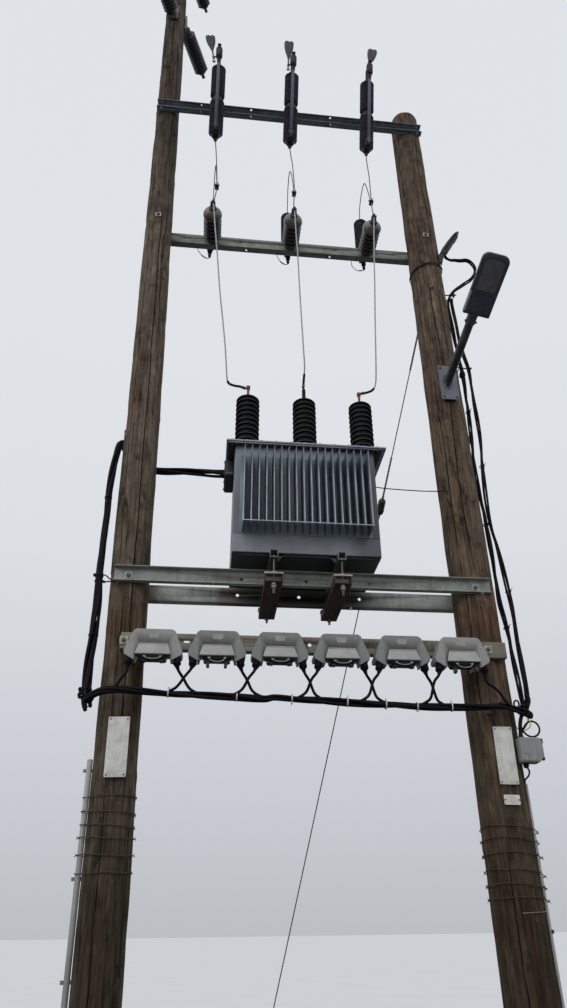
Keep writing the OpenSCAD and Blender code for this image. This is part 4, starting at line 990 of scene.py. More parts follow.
def pole(name, mat, height, axis_x, radius, checks, knots, flats, bores, seed, lean, top_slope, node):
    """Round pole on a grid that follows its drying checks. checks are
    (angle, z0, z1, depth, half width, wander), knots (angle, z, size, height)."""
    rng = np.random.RandomState(seed)
    base = list(np.linspace(0, 360, 78, endpoint=False))
    offs = np.array([-1.0, -0.45, 0.0, 0.45, 1.0])
    cols = []          # (base angle, check number or -1, place across the check)
    for i, ck in enumerate(checks):
        for o in offs:
            cols.append((ck[0] % 360, i, o))
    for a in base:
        if all(abs((a - ck[0] + 180) % 360 - 180) > 3.4 for ck in checks):
            cols.append((a, -1, 0.0))
    cols.sort(key=lambda c: c[0] + c[2] * 0.01)
    zs = set(np.linspace(0, height, int(height / 21)).tolist())
    for lo, hi, _, _ in flats:
        for q in (lo, hi):
            zs |= {q - 0.6, q + 0.6}
    zs = np.array(sorted(q for q in zs if 0 <= q <= height))
    n, k = len(zs), len(cols)
    ang = np.zeros((n, k))
    dep = np.zeros((n, k))
    for j, (a, i, o) in enumerate(cols):
        if i < 0:
            ang[:, j] = a
            continue
        _, z0, z1, d, hw, wan = checks[i]
        fade = np.clip((zs - z0) / 260, 0, 1) * np.clip((z1 - zs) / 260, 0, 1)
        rough = np.array([noise.noise(Vector((z * 0.011, i * 7.3, seed))) for z in zs])
        fade = np.clip(fade * (0.9 + 0.9 * rough), 0, 1)
        w = hw * (0.35 + 0.65 * fade)
        drift = wan * np.array([noise.noise(Vector((z * 0.0011, i * 3.1, seed + 5))) for z in zs]) + 0.35 * rough
        rr = radius(zs)
        ang[:, j] = a + drift * 6 + np.degrees(o * w / rr)
        dep[:, j] = d * fade * {0: 1.0, 0.45: 0.62}.get(abs(o), 0.0)
    for r in range(n):
        fixed = [j for j in range(k) if cols[j][1] >= 0]
        if fixed:
            xp = np.array([cols[j][0] + cols[j][2] * 0.01 for j in fixed])
            fp = ang[r, fixed]
            x = np.array([c[0] for c in cols])
            xp2 = np.concatenate([[xp[-1] - 360], xp, [xp[0] + 360]])
            fp2 = np.concatenate([[fp[-1] - 360], fp, [fp[0] + 360]])
            y = np.interp(x, xp2, fp2)
            for j in range(k):
                if cols[j][1] < 0:
                    ang[r, j] = y[j]
    th = np.radians(ang)
    zz = np.repeat(zs[:, None], k, 1)
    rr = np.repeat(radius(zs)[:, None], k, 1)
    # swellings, flutes and wind-worn skin
    bump = np.zeros((n, k))
    for r in range(n):
        z = zs[r]
        for j in range(k):
            cx, sx = cos(th[r, j]), sin(th[r, j])
            bump[r, j] = (5.0 * noise.noise(Vector((cx * 1.3, sx * 1.3, z * 0.0024 + seed)))
                          + 3.2 * noise.noise(Vector((cx * 5.5, sx * 5.5, z * 0.0034 + seed * 2)))
                          + 1.2 * noise.noise(Vector((cx * 17, sx * 17, z * 0.011 + seed * 3))))
    kn = np.zeros((n, k))
    for a, z, size, h in knots:
        da = (ang - a + 180) % 360 - 180
        d2 = (np.radians(da) * rr / size) ** 2 + ((zz - z) / (size * 1.25)) ** 2
        bump += h * np.exp(-d2 * 0.9) - h * 0.75 * np.exp(-d2 * 7)
        kn = np.maximum(kn, np.exp(-d2 * 3.2))
    # shallow splinters and losses in the skin, for uneven outlines
    for _ in range(int(height / 46)):
        a0, z0 = rng.uniform(0, 360), rng.uniform(60, height - 60)
        wid, tall, deep = rng.uniform(9, 26), rng.uniform(60, 260), rng.uniform(1.2, 4.6)
        near = np.abs(zs - z0) < tall * 1.3
        if not near.any():
            continue
        da = np.radians((ang[near] - a0 + 180) % 360 - 180) * rr[near] / wid
        dz = (zz[near] - z0) / (tall * 0.5)
        bump[near] -= deep / (1 + np.exp((np.sqrt(da ** 2 + dz ** 2) - 1) * 7))
    bump = np.minimum(bump, 2.4 + 30 * kn)
    rad_ = rr + bump - dep
    x, y = rad_ * np.cos(th), rad_ * np.sin(th)
    endm = np.zeros((n, k))
    for lo, hi, side, at in flats:
        inz = (zz >= lo) & (zz <= hi)
        if side < 0:
            hit = inz & (y < -at)
            y = np.where(hit, -at + 0.2, y)
        else:
            hit = inz & (y > at)
            y = np.where(hit, at - 0.2, y)
        endm = np.maximum(endm, hit * 0.0)
    # cut top, a little off level and weathered round
    edge = np.clip((zz - (height - 14)) / 14, 0, 1)
    x, y = x * (1 - 0.035 * edge ** 2), y * (1 - 0.035 * edge ** 2)
    v = np.stack([x + axis_x(zz), y, zz - edge * top_slope * (x / 100 + 0.4 * y / 100 + 1.4)], -1).reshape(-1, 3)
    twist = zz * 0.00006
    gx = np.cos(th + twist) * rr * MM
    gy = np.sin(th + twist) * rr * MM
    grain = np.stack([gx, gy, zz * MM], -1).reshape(-1, 3)
    ck = np.clip(dep / 7.0, 0, 1)
    mask = np.stack([ck, np.clip(kn, 0, 1), endm, np.ones_like(ck)], -1).reshape(-1, 4)
    g = Geo()
    g.add(v, grid_faces(n, k), 0, True)
    # the top: rings towards the middle, with the checks running inwards
    last = (n - 1) * k
    rings = []
    prev = np.arange(k) + last
    vv, gg, mm2 = [v], [grain], [mask]
    count = n * k
    topv, topg = v[last:], grain[last:]
    centre = topv.mean(0)
    for f in (0.94, 0.75, 0.5, 0.25):
        q = centre + (topv - centre) * f
        q[:, 2] += 3 * (1 - f) + rng.uniform(-1.2, 1.2, k) - np.clip(dep[-1], 0, 9) * f
        vv.append(q)
        gg.append(np.column_stack([topg[:, :2] * f, topg[:, 2]]))
        mm2.append(np.tile([0, 0, 1, 1], (k, 1)).astype(float))
        cur = np.arange(k) + count
        rings.append(np.stack([prev, np.roll(prev, -1), np.roll(cur, -1), cur], 1))
        prev = cur
        count += k
    vv.append(centre[None] + [[0, 0, 3]])
    gg.append(np.array([[0, 0, height * MM]]))
    mm2.append(np.array([[0, 0, 1, 1.0]]))
    fan = np.stack([prev, np.roll(prev, -1), np.full(k, count)], 1)
    g = Geo()
    allv = np.vstack(vv)
    g.add(allv, np.vstack([grid_faces(n, k)] + rings), 0, True)
    g.parts.append((fan.ravel(), np.full(k, 3), np.zeros(k, int), np.full(k, True)))
    bottom = np.arange(k)[::-1]
    g.parts.append((bottom, np.array([k]), np.array([0]), np.array([False])))
    g.extra["grain"] = ("FLOAT_VECTOR", np.vstack(gg))
    g.extra["mask"] = ("FLOAT_COLOR", np.vstack(mm2))
    return piece(g, name, [mat], replaces=[node], sharp=50)


def poles():
    flats_l = [(TOP_Z, TOP_Z + 110, -1, 103), (MID_Z, MID_Z + 110, 1, 105), (3357, 3457, -1, 116),
               (3347, 3454, 1, 120), (ARM_Z, ARM_Z + 98, -1, 116)]
    pole("left_pole_timber", M["timber_l"], 11596, lx, left_r,
         [(285, 2300, 6900, 15, 4.6, 1.5), (258, 60, 3300, 9, 3.6, 1.2), (305, 5200, 9600, 12, 4.0, 2.0),
          (236, 3400, 7600, 9, 3.4, 1.5), (330, 300, 4200, 8, 3.2, 1.6), (20, 2500, 8800, 12, 4.0, 2.0),
          (95, 900, 6400, 14, 4.4, 2.0), (160, 3000, 10500, 12, 4.2, 2.0), (270, 8500, 11600, 12, 4.0, 1.5),
          (60, 7000, 11600, 10, 3.8, 1.5), (205, 200, 2800, 8, 3.0, 1.2)],
         [(292, 3905, 26, 5), (240, 5330, 22, 5), (310, 6120, 24, 6), (268, 1180, 24, 6), (215, 2700, 22, 5), (300, 7650, 24, 6),
          (20, 4700, 26, 7), (100, 3600, 26, 8), (150, 5900, 26, 7), (60, 2050, 24, 6), (250, 9300, 24, 6), (330, 10400, 24, 6),
          (180, 8300, 24, 7), (120, 900, 24, 6), (348, 2250, 24, 6)],
         flats_l, [], 11, True, 3, "left_pole")
    flats_r = [(TOP_Z, TOP_Z + 110, -1, 103), (MID_Z, MID_Z + 110, 1, 105), (3357, 3457, -1, 116),
               (3347, 3454, 1, 120), (ARM_Z, ARM_Z + 98, -1, 116)]
    pole("right_pole_timber", M["timber_r"], 8570, lambda z: RX + 0 * z, right_r,
         [(262, 3500, 6300, 13, 4.6, 1.6), (228, 2500, 5200, 11, 4.2, 1.6), (290, 5000, 8300, 12, 4.4, 1.8),
          (245, 300, 2000, 10, 3.8, 1.2), (212, 4700, 8100, 9, 3.8, 1.8), (318, 700, 3300, 9, 3.6, 1.4),
          (15, 2300, 7400, 13, 4.4, 2.0), (80, 1200, 7900, 14, 4.6, 2.0), (140, 500, 5200, 12, 4.2, 2.0), (180, 3300, 8400, 12, 4.0, 1.5)],
         [(356, 4640, 40, 15), (192, 3690, 36, 11), (282, 5250, 26, 6), (240, 4380, 26, 6), (252, 1350, 28, 6), (300, 1050, 26, 6),
          (225, 1020, 24, 5), (268, 1620, 22, 5), (215, 2900, 26, 7), (275, 7100, 26, 7), (320, 6000, 26, 7), (60, 2700, 28, 8),
          (120, 4300, 28, 9), (90, 6300, 28, 8), (160, 1900, 28, 8), (30, 1100, 26, 8)],
         flats_r, [], 23, False, 4, "right_pole")


# --------------------------------------------------------------- steelwork --
ALONG_X = np.array([[0, 0, 1, 0], [1, 0, 0, 0], [0, 1, 0, 0], [0, 0, 0, 1]], float)   # outline x, y -> Y, Z; height -> X


def channel(name, x0, x1, back, d, z0, h, b, t, mat, node, y_holes=(), z_holes=(), slots=()):
    """Rolled channel: root fillets, rounded toes and sawn ends, with its
    spare holes cut through."""
    pts = [(back, z0), (back + d * b, z0), (back + d * b, z0 + t), (back + d * t, z0 + t),
           (back + d * t, z0 + h - t), (back + d * b, z0 + h - t), (back + d * b, z0 + h), (back, z0 + h)]
    out = fillet(pts, [2.5, 1.2, 4, 7, 7, 4, 1.2, 2.5], 3)
    g = Geo()
    prism(g, out, x0, x1, ALONG_X, 0, 0.7)
    o = piece(g, name, [mat], replaces=[node])
    cut = []
    for (x, z, r) in y_holes:
        c = Geo()
        cyl(c, r, back - 20, back + 20, 20, np.array([[1, 0, 0, x], [0, 0, 1, 0], [0, -1, 0, z], [0, 0, 0, 1]], float), 0, 0)
        cut.append(c)
    for (x, y, za, zb, r) in z_holes:
        c = Geo()
        cyl(c, r, za, zb, 20, T(x, y, 0), 0, 0)
        cut.append(c)
    for (x, z, w, r) in slots:
        c = Geo()
        q = [(x - w / 2 + r * cos(a), z + r * sin(a)) for a in np.linspace(pi / 2, 3 * pi / 2, 8)] + \
            [(x + w / 2 + r * cos(a), z + r * sin(a)) for a in np.linspace(-pi / 2, pi / 2, 8)]
        prism(c, [(p[0], -p[1]) for p in q], back - 20, back + 20, np.array([[1, 0, 0, 0], [0, 0, 1, 0], [0, -1, 0, 0], [0, 0, 0, 1]], float))
        cut.append(c)
    if cut:
        boolean(o, cut)
    return o


def arms():
    channel("top_arm_channel", -320, 2211, -103, -1, TOP_Z, 110, 55, 6, M["galv_dark"], "top_arm",
            [(x, TOP_Z + 55, 9) for x in (-40, 560, 1321, 2010)],
            [(x, -136, TOP_Z - 5, TOP_Z + 115, 10) for x in (560, 1321)] + [(x, -136, TOP_Z - 5, TOP_Z + 115, 7) for x in (-280, 90, 2170)])
    channel("middle_arm_channel", -258, 2190, 105, 1, MID_Z, 110, 55, 6, M["galv_mid"], "middle_arm",
            [(508, MID_Z + 55, 10), (1348, MID_Z + 55, 10), (30, MID_Z + 55, 8), (1870, MID_Z + 55, 8)],
            [(562, 138, MID_Z - 5, MID_Z + 20, 10), (1298, 138, MID_Z - 5, MID_Z + 20, 10)])
    channel("platform_front_channel", -178, 2177, -116, -1, 3357, 100, 40, 6, M["galv"], "platform_front_beam",
            [(594, 3402, 10), (992, 3402, 10), (1393, 3402, 10)],
            [(2115, -140, 3352, 3377, 10), (420, -140, 3352, 3377, 8)])
    channel("platform_rear_channel", -178, 2177, 120, 1, 3347, 107, 55, 6, M["galv_stain"], "platform_rear_beam",
            [(576, 3402, 11), (975, 3402, 11), (1375, 3402, 11)],
            [(1322, 150, 3342, 3367, 11)])
    channel("fuse_arm_channel", -92, 2196, -166, 1, ARM_Z, 98, 50, 6, M["galv_arm"], "fuse_arm",
            [(1000, ARM_Z + 49, 11)], [], [(285, ARM_Z + 49, 22, 7)])


def through_bolts():
    """Two bolts a level with square washers, hexagons and threaded ends."""
    g = Geo()
    FRONT = np.array([[1, 0, 0, 0], [0, 0, -1, 0], [0, 1, 0, 0], [0, 0, 0, 1]], float)   # +Z -> -Y
    BACK = np.array([[1, 0, 0, 0], [0, 0, 1, 0], [0, -1, 0, 0], [0, 0, 0, 1]], float)    # +Z -> +Y

    def yb(x, z, y0, y1, turn=0):
        cyl(g, 8.5, y0 - 4, y1 + 4, 12, T(x, 0, z) @ BACK, 0, 0.5)
        bolt_end(g, T(x, y0, z) @ FRONT @ R("Z", turn), 24, 5, 15, 11, 8.5, 6, 0, 1)
        bolt_end(g, T(x, y1, z) @ BACK @ R("Z", turn * 0.6), 24, 5, 15, 12, 8.5, 12, 0, 1)

    z = TOP_Z + 55
    yb(-232, z, -109, left_r(z) + 1, 4)
    yb(RX, z, -109, right_r(z) + 1, -3)
    z = MID_Z + 55
    yb(-188, z, -left_r(z) - 1, 111, 8)
    yb(RX, z, -right_r(z) - 1, 111, -12)
    z = DECK_Z + 55
    yb(-92, z, -122, 126, 3)
    yb(RX - 22, z, -122, 126, -6)
    z = ARM_Z + 49
    yb(-72, z, -166, left_r(z) + 1, 2)
    yb(RX - 18, z, -166, right_r(z) + 1, -2)
    piece(g, "through_bolts_and_washers", [M["bolt"], M["galv_light"]], replaces=["through_bolts"])


SKIDS = (775, 1188)


def hold_down():
    """Rusty channel skids on edge under both beams, their clamp plates, rods
    and nuts, and the square hollow runners of the tank."""
    g = Geo()
    ALONG_Y = np.array([[1, 0, 0, 0], [0, 0, 1, 0], [0, 1, 0, 0], [0, 0, 0, 1]], float)   # outline x, y -> X, Z; height -> Y
    for x in SKIDS:
        out = fillet([(x - 52.5, 3347), (x - 52.5, 3297), (x + 52.5, 3297), (x + 52.5, 3347), (x + 46.5, 3347), (x + 46.5, 3303), (x - 46.5, 3303), (x - 46.5, 3347)],
                     [1.2, 3, 3, 1.2, 1.2, 7, 7, 1.2], 3)
        prism(g, out, -340, 260, ALONG_Y, 0, 0.8)
        # flat strip between the flanges under the clamp plate
        cbox(g, (x - 47, -337, 3341), (x + 47, -226, 3346.8), 0.8, 0)
        # packing between the skid and the front beam
        pk = fillet([(x - 52.5, -154), (x + 52.5, -154), (x + 52.5, -118), (x - 52.5, -118)], 3, 2)
        prism(g, pk, 3346.5, 3357, None, 0, 1.0)
    o = piece(g, "hold_down_skids", [M["rust"]], replaces=["hold_down_channels"])
    boolean(o, [cyl(Geo(), 9, 3290, 3310, 16, T(x, y, 0), 0, 0) for x in SKIDS for y in (-315, 235)])

    g = Geo()
    for x in SKIDS:
        for y, z0, z1 in ((-315, 3231, 3479), (235, 3262, 3479)):
            # rod: thin and dark above the plate, its threaded end hangs below the skid
            k = int((3372 - z0) / 3.0)
            prof = [(0, z0), (5.8, z0)]
            for i in range(k):
                z = z0 + 1.2 + (3372 - z0) * i / k
                prof += [(6.3, z), (7.6, z + 1.4)]
            prof += [(5.8, 3374), (0, 3374)]
            lathe(g, prof, 12, T(x, y, 0), 1)
            lathe(g, [(0, 3371), (4.6, 3371), (4.6, z1 - 1), (3.6, z1), (0, z1)], 12, T(x, y, 0), 0)
            ya, yb = (-340, -290) if y < 0 else (210, 260)
            p = fillet([(x - 58, ya), (x + 58, ya), (x + 58, yb), (x - 58, yb)], 5, 3)
            prism(g, p, 3347, 3358, None, 2 if y < 0 else 1, 1.4)
            nut(g, 14, 3358, 3370, T(x, y, 0) @ R("Z", 11), 1)
            nut(g, 15, 3283, 3296.6, T(x, y, 0) @ R("Z", -8 if y < 0 else 14), 1)
            if y < 0:
                cyl(g, 18, 3279.4, 3283, 18, T(x, y, 0), 1, 0.6)
                nut(g, 15, 3265.5, 3279.2, T(x, y, 0) @ R("Z", 17), 1)
            nut(g, 13, 3462, 3474, T(x, y, 0) @ R("Z", 5), 0)
        # square washer left behind the front beam's web, over its right-hand hole, in the dark underside paint (painted
        # shade)
        if x > 1000:
            cbox(g, (1393 - 17, -115.8, 3385), (1393 + 17, -111.5, 3419), 0.8, 3)
        # packing on the rear beam under the runner
        pk = fillet([(x - 24, 123), (x + 24, 123), (x + 24, 171), (x - 24, 171)], 3, 2)
        prism(g, pk, 3454, 3457, None, 0, 0.6)
    piece(g, "hold_down_rods_and_plates", [M["bolt"], M["rod"], M["clamp_plate"], M["underside"]], replaces=["hold_down_rods"])

    g = Geo()
    for x in SKIDS:
        # square hollow runner: rounded corners outside and inside, walls seen at the open ends
        sq = fillet([(x - 25, 3457), (x + 25, 3457), (x + 25, 3510), (x - 25, 3510)], 6, 4)
        sq_in = fillet([(x - 20, 3462), (x + 20, 3462), (x + 20, 3505), (x - 20, 3505)], 3, 4)
        n = len(sq)
        levels = [(sq_in, -335.0), (inset(sq, 1.0), -336.0), (sq, -335.0), (sq, 309.0), (inset(sq, 1.0), 310.0), (sq_in, 309.0)]
        v = np.vstack([np.column_stack([q[:, 0], np.full(n, y), q[:, 1]]) for q, y in levels])
        f = grid_faces(6, n)
        close = np.stack([np.arange(n) + 5 * n, (np.arange(n) + 1) % n + 5 * n, (np.arange(n) + 1) % n, np.arange(n)], 1)
        f = np.vstack([f, close])
        # the outer and inner walls of the runners take the dark underside paint: painted shade under the tank
        for i0, i1, mt in ((0, 2 * n, 0), (2 * n, 6 * n, 1)):
            if i0 == 0:
                g.add(v, f[i0:i1, ::-1], mt, False)
            else:
                q = f[i0:i1, ::-1] + g.n - len(v)
                g.parts.append((q.ravel(), np.full(len(q), 4), np.full(len(q), mt), np.full(len(q), False)))
        # triangular gussets under the tank, at the inner sides of the runners, in the dark underside paint (painted
        # shade)
        s = 1 if x < 1000 else -1
        for y in (-262, 236):
            tri = [(x + s * 25, 3464), (x + s * 25, 3509.5), (x + s * 66, 3509.5), (x + s * 62, 3504), (x + s * 32, 3464)]
            if s < 0:
                tri = tri[::-1]
            prism(g, tri, y - 4, y + 4, ALONG_Y, 1, 0.8)
    piece(g, "tank_runners", [M["runner"], M["underside"]], replaces=["transformer_base"])


# ------------------------------------------------------------- transformer --
TX0, TX1, TY0, TY1, TZ0, TZ1 = 521, 1447, -286, 260, 3510, 4300
BUSH_X, BUSH_Y, LID_TOP = (601, 1001, 1405), -149, 4312
FIN_X0, FIN_PITCH, FIN_N, FIN_Z0, FIN_Z1, FIN_D = 582, 46.6, 18, 3644, 4205, 148


def bead(g, pts, r=3.2, mat=0, step=9, seed=1, closed=False):
    """A weld bead: a thin rope of small uneven ripples."""
    q, s = resample(np.array(pts, float), step)
    rng = np.random.RandomState(seed)
    rr = r * (0.85 + 0.3 * rng.rand(len(q)))
    sweep(g, q, rr, 6, mat, closed=closed)


def tank():
    g = Geo()
    body = fillet([(TX0, TY0), (TX1, TY0), (TX1, TY1), (TX0, TY1)], 14, 5)
    # slightly drawn in at the bottom weld; the walls are made in bands so the seam stands in geometry
    n = len(body)
    lv = [(3.0, 3510), (0.0, 3513.5), (0.0, 3634), (0.9, 3636), (0.9, 3639), (0, 3641), (0, 4288)]
    levels = [(inset(body, c) if c else body, z) for c, z in lv]
    v = np.vstack([np.column_stack([q, np.full(n, z)]) for q, z in levels])
    g.add(v, grid_faces(len(levels), n), 0, True)
    # the bottom and top faces take the dark underside paint: painted shade
    g.parts.append((np.arange(n)[::-1] , np.array([n]), np.array([1]), np.array([False])))
    g.parts.append((np.arange(n) + (len(levels) - 1) * n, np.array([n]), np.array([1]), np.array([False])))
    # rim flange: outer face painted, underside dark
    rim = fillet([(471, -324), (1497, -324), (1497, 298), (471, 298)], 10, 4)
    k = len(rim)
    inner = inset(rim, 44)
    lv = [(inner, 4288), (inset(rim, 1.5), 4288), (rim, 4289.5), (rim, 4298.5), (inset(rim, 1.5), 4300), (inner, 4300)]
    base = g.n
    v = np.vstack([np.column_stack([q, np.full(k, z)]) for q, z in lv])
    ff = grid_faces(6, k)
    close = np.stack([np.arange(k) + 5 * k, (np.arange(k) + 1) % k + 5 * k, (np.arange(k) + 1) % k, np.arange(k)], 1)
    ff = np.vstack([ff, close])
    mats = [1, 0, 0, 0, 0, 0]
    g.v.append(v)
    g.n += len(v)
    for i in range(6):
        part = ff[i * k:(i + 1) * k] + base
        g.parts.append((part.ravel(), np.full(k, 4), np.full(k, mats[i]), np.full(k, False)))
    # seam weld low on the walls, all round
    bead(g, [(TX0 + 10, TY0 - 0.5, 3637.5), (TX1 - 10, TY0 - 0.5, 3637.5)], 2.0, 0, 7, 3)
    bead(g, [(TX0 + 10, TY1 + 0.5, 3637.5), (TX1 - 10, TY1 + 0.5, 3637.5)], 2.0, 0, 7, 4)
    bead(g, [(TX0 - 0.5, TY0 + 12, 3637.5), (TX0 - 0.5, TY1 - 12, 3637.5)], 2.0, 0, 7, 5)
    bead(g, [(TX1 + 0.5, TY0 + 12, 3637.5), (TX1 + 0.5, TY1 - 12, 3637.5)], 2.0, 0, 7, 6)
    # bottom stiffeners that run across under the tank between the runners, in the dark underside paint (painted shade)
    for y in (-262, 236):
        for x0, x1 in ((552, 745), (805, 1158), (1218, 1416)):
            cbox(g, (x0, y - 4, 3500), (x1, y + 4, 3511), 1.0, 1)
    # earthing boss on the side and drain valve stub on the rear
    cyl(g, 13, 0, 16, 18, T(TX1, -120, 3566) @ R("Y", 90), 0, 1.5)
    nut(g, 10, 16, 25, T(TX1, -120, 3566) @ R("Y", 90), 2)
    cyl(g, 24, 0, 14, 24, T(1160, TY1, 3572) @ R("X", -90), 0, 2)
    cyl(g, 15, 14, 34, 20, T(1160, TY1, 3572) @ R("X", -90), 2, 2)
    nut(g, 19, 34, 48, T(1160, TY1, 3572) @ R("X", -90), 2)
    # lifting lugs on the right end wall, below the rim
    for x, s in ((TX1, 1),):
        for y in (-190, 166):
            lug = fillet([(0, 0), (34, 20), (34, 62), (0, 78)], [1, 12, 12, 1], 5)
            m = np.array([[s, 0, 0, x], [0, 0, 1, y - 5], [0, 1, 0, 4170], [0, 0, 0, 1]], float)
            prism(g, lug, 0, 10, m, 0, 1.2)
    piece(g, "tank_body", [M["tank"], M["underside"], M["bolt"]], replaces=["transformer_tank"])

    # cooling fins: thin hollow plates with a rounded front and end welds
    g = Geo()
    for side in (-1, 1):
        y0 = TY0 if side < 0 else TY1
        for i in range(FIN_N):
            x = FIN_X0 + i * FIN_PITCH
            w = 4.6
            # outline seen from above: a flat plate whose front is drawn out to a thin welded lip
            o2 = [(-w, 0), (-w, 128), (-3.4, 136), (-2.6, 146.5), (-1.2, 148), (1.2, 148), (2.6, 146.5), (3.4, 136), (w, 128), (w, 0)]
            if side < 0:
                pts = [(x + a, y0 - b) for a, b in o2]
            else:
                pts = [(x + a, y0 + b) for a, b in o2]
            p = np.array(pts)
            if area2(p) < 0:
                p = p[::-1]
            kk = len(p)
            # pinched, welded ends above and below
            lv = []
            for z, f in ((FIN_Z0, 0.42), (FIN_Z0 + 5, 0.5), (FIN_Z0 + 16, 1.0), (FIN_Z1 - 16, 1.0), (FIN_Z1 - 5, 0.5), (FIN_Z1, 0.42)):
                q = p.copy()
                q[:, 0] = x + (q[:, 0] - x) * f
                lv.append((q, z))
            v = np.vstack([np.column_stack([q, np.full(kk, z)]) for q, z in lv])
            ff = grid_faces(len(lv), kk)
            base = g.n
            g.v.append(v)
            g.n += len(v)
            mid = np.abs(v[:, 1] - y0)
            depth = mid[ff].min(1)
            # the front lips take the lighter edge paint, a painted highlight
            mat = np.where(depth > 126, 1, 0)
            g.parts.append(((ff + base).ravel(), np.full(len(ff), 4), mat, np.full(len(ff), False)))
            for cap in (np.arange(kk)[::-1], np.arange(kk) + (len(lv) - 1) * kk):
                g.parts.append((cap + base, np.array([kk]), np.array([0]), np.array([False])))
        # a bar welded across the fins at the foot
        xa, xb = FIN_X0 - 8, FIN_X0 + FIN_PITCH * (FIN_N - 1) + 8
        ya, yb = (y0 - FIN_D - 6, y0 - FIN_D) if side < 0 else (y0 + FIN_D, y0 + FIN_D + 6)
        # the bar takes the same painted-highlight edge paint
        cbox(g, (xa, ya, FIN_Z0), (xb, yb, FIN_Z0 + 6), 1.4, 1)
        # corrugation plate that the fins grow out of
        yp = (y0 - 3, y0 - 0.1) if side < 0 else (y0 + 0.1, y0 + 3)
        cbox(g, (xa - 14, yp[0], FIN_Z0 - 7), (xb + 14, yp[1], FIN_Z1 + 9), 1.0, 0)
    piece(g, "cooling_fin_packs", [M["fin"], M["fin_edge"]], replaces=["cooling_fins"])


def lid():
    g = Geo()
    x0, x1, y0, y1 = 463, 1525, -330, 304
    rim = fillet([(x0, y0), (x1, y0), (x1, y1), (x0, y1)], 9, 4)
    prism(g, rim, 4300.5, 4312, None, 0, 1.2)
    seal = fillet([(480, -318), (1490, -318), (1490, 292), (480, 292)], 8, 3)
    prism(g, seal, 4299.5, 4301, None, 1, 0)
    # clamp bolts all round: hexagon and washer above, nut below the rim
    pts = [(x, y) for x in np.linspace(500, 1470, 11) for y in (-308, 282)]
    pts += [(x, y) for x in (486, 1484) for y in np.linspace(-200, 176, 4)]
    for i, (x, y) in enumerate(pts):
        cyl(g, 12, 4312, 4314.5, 16, T(x, y, 0), 2, 0.5)
        nut(g, 10, 4314.5, 4322.5, T(x, y, 0) @ R("Z", 17 * i), 2, 1.2)
        cyl(g, 5.5, 4322, 4329, 10, T(x, y, 0), 2, 1)
        # the nuts below the rim take the dark underside paint: painted shade
        nut(g, 9, 4280.5, 4287.8, T(x, y, 0) @ R("Z", 29 * i), 3, 1.2)
        cyl(g, 5, 4276, 4281, 10, T(x, y, 0), 3, 1)
    # filling pipe with cap, relief valve, thermometer pocket, lifting eyes
    cyl(g, 30, 4312, 4320, 28, T(800, 150, 0), 0, 1.5)
    cyl(g, 21, 4320, 4392, 24, T(800, 150, 0), 0, 1.5)
    lathe(g, [(0, 4392), (27, 4392), (28, 4394), (28, 4410), (24, 4416), (0, 4418)], 24, T(800, 150, 0), 2)
    cyl(g, 24, 4312, 4322, 24, T(1190, 170, 0), 0, 1.5)
    lathe(g, [(16, 4322), (16, 4346), (20, 4348), (20, 4362), (12, 4372), (0, 4374)], 20, T(1190, 170, 0), 2)
    cyl(g, 12, 4312, 4340, 16, T(1010, 210, 0), 2, 1.5)
    for x in (560, 1430):
        for y in (40,):
            torus(g, 20, 6, 24, 8, T(x, y, 4338) @ R("Y", 90), 2)
            cyl(g, 15, 4312, 4318, 18, T(x, y, 0), 2, 1)
    for x, y in ((520, -250), (955, -255)):
        cyl(g, 5, 4312, 4362, 12, T(x, y, 0), 2, 1)
        nut(g, 9.5, 4316, 4324, T(x, y, 0), 2, 1)
        cyl(g, 12, 4312, 4316, 14, T(x, y, 0), 2, 0.6)
    # stiffening ribs on top
    for x in (706, 1202):
        cbox(g, (x - 5, -40, 4312), (x + 5, 280, 4330), 1.2, 0)
    piece(g, "tank_lid", [M["lid"], M["seal"], M["bolt"], M["underside"]], replaces=["transformer_lid"])


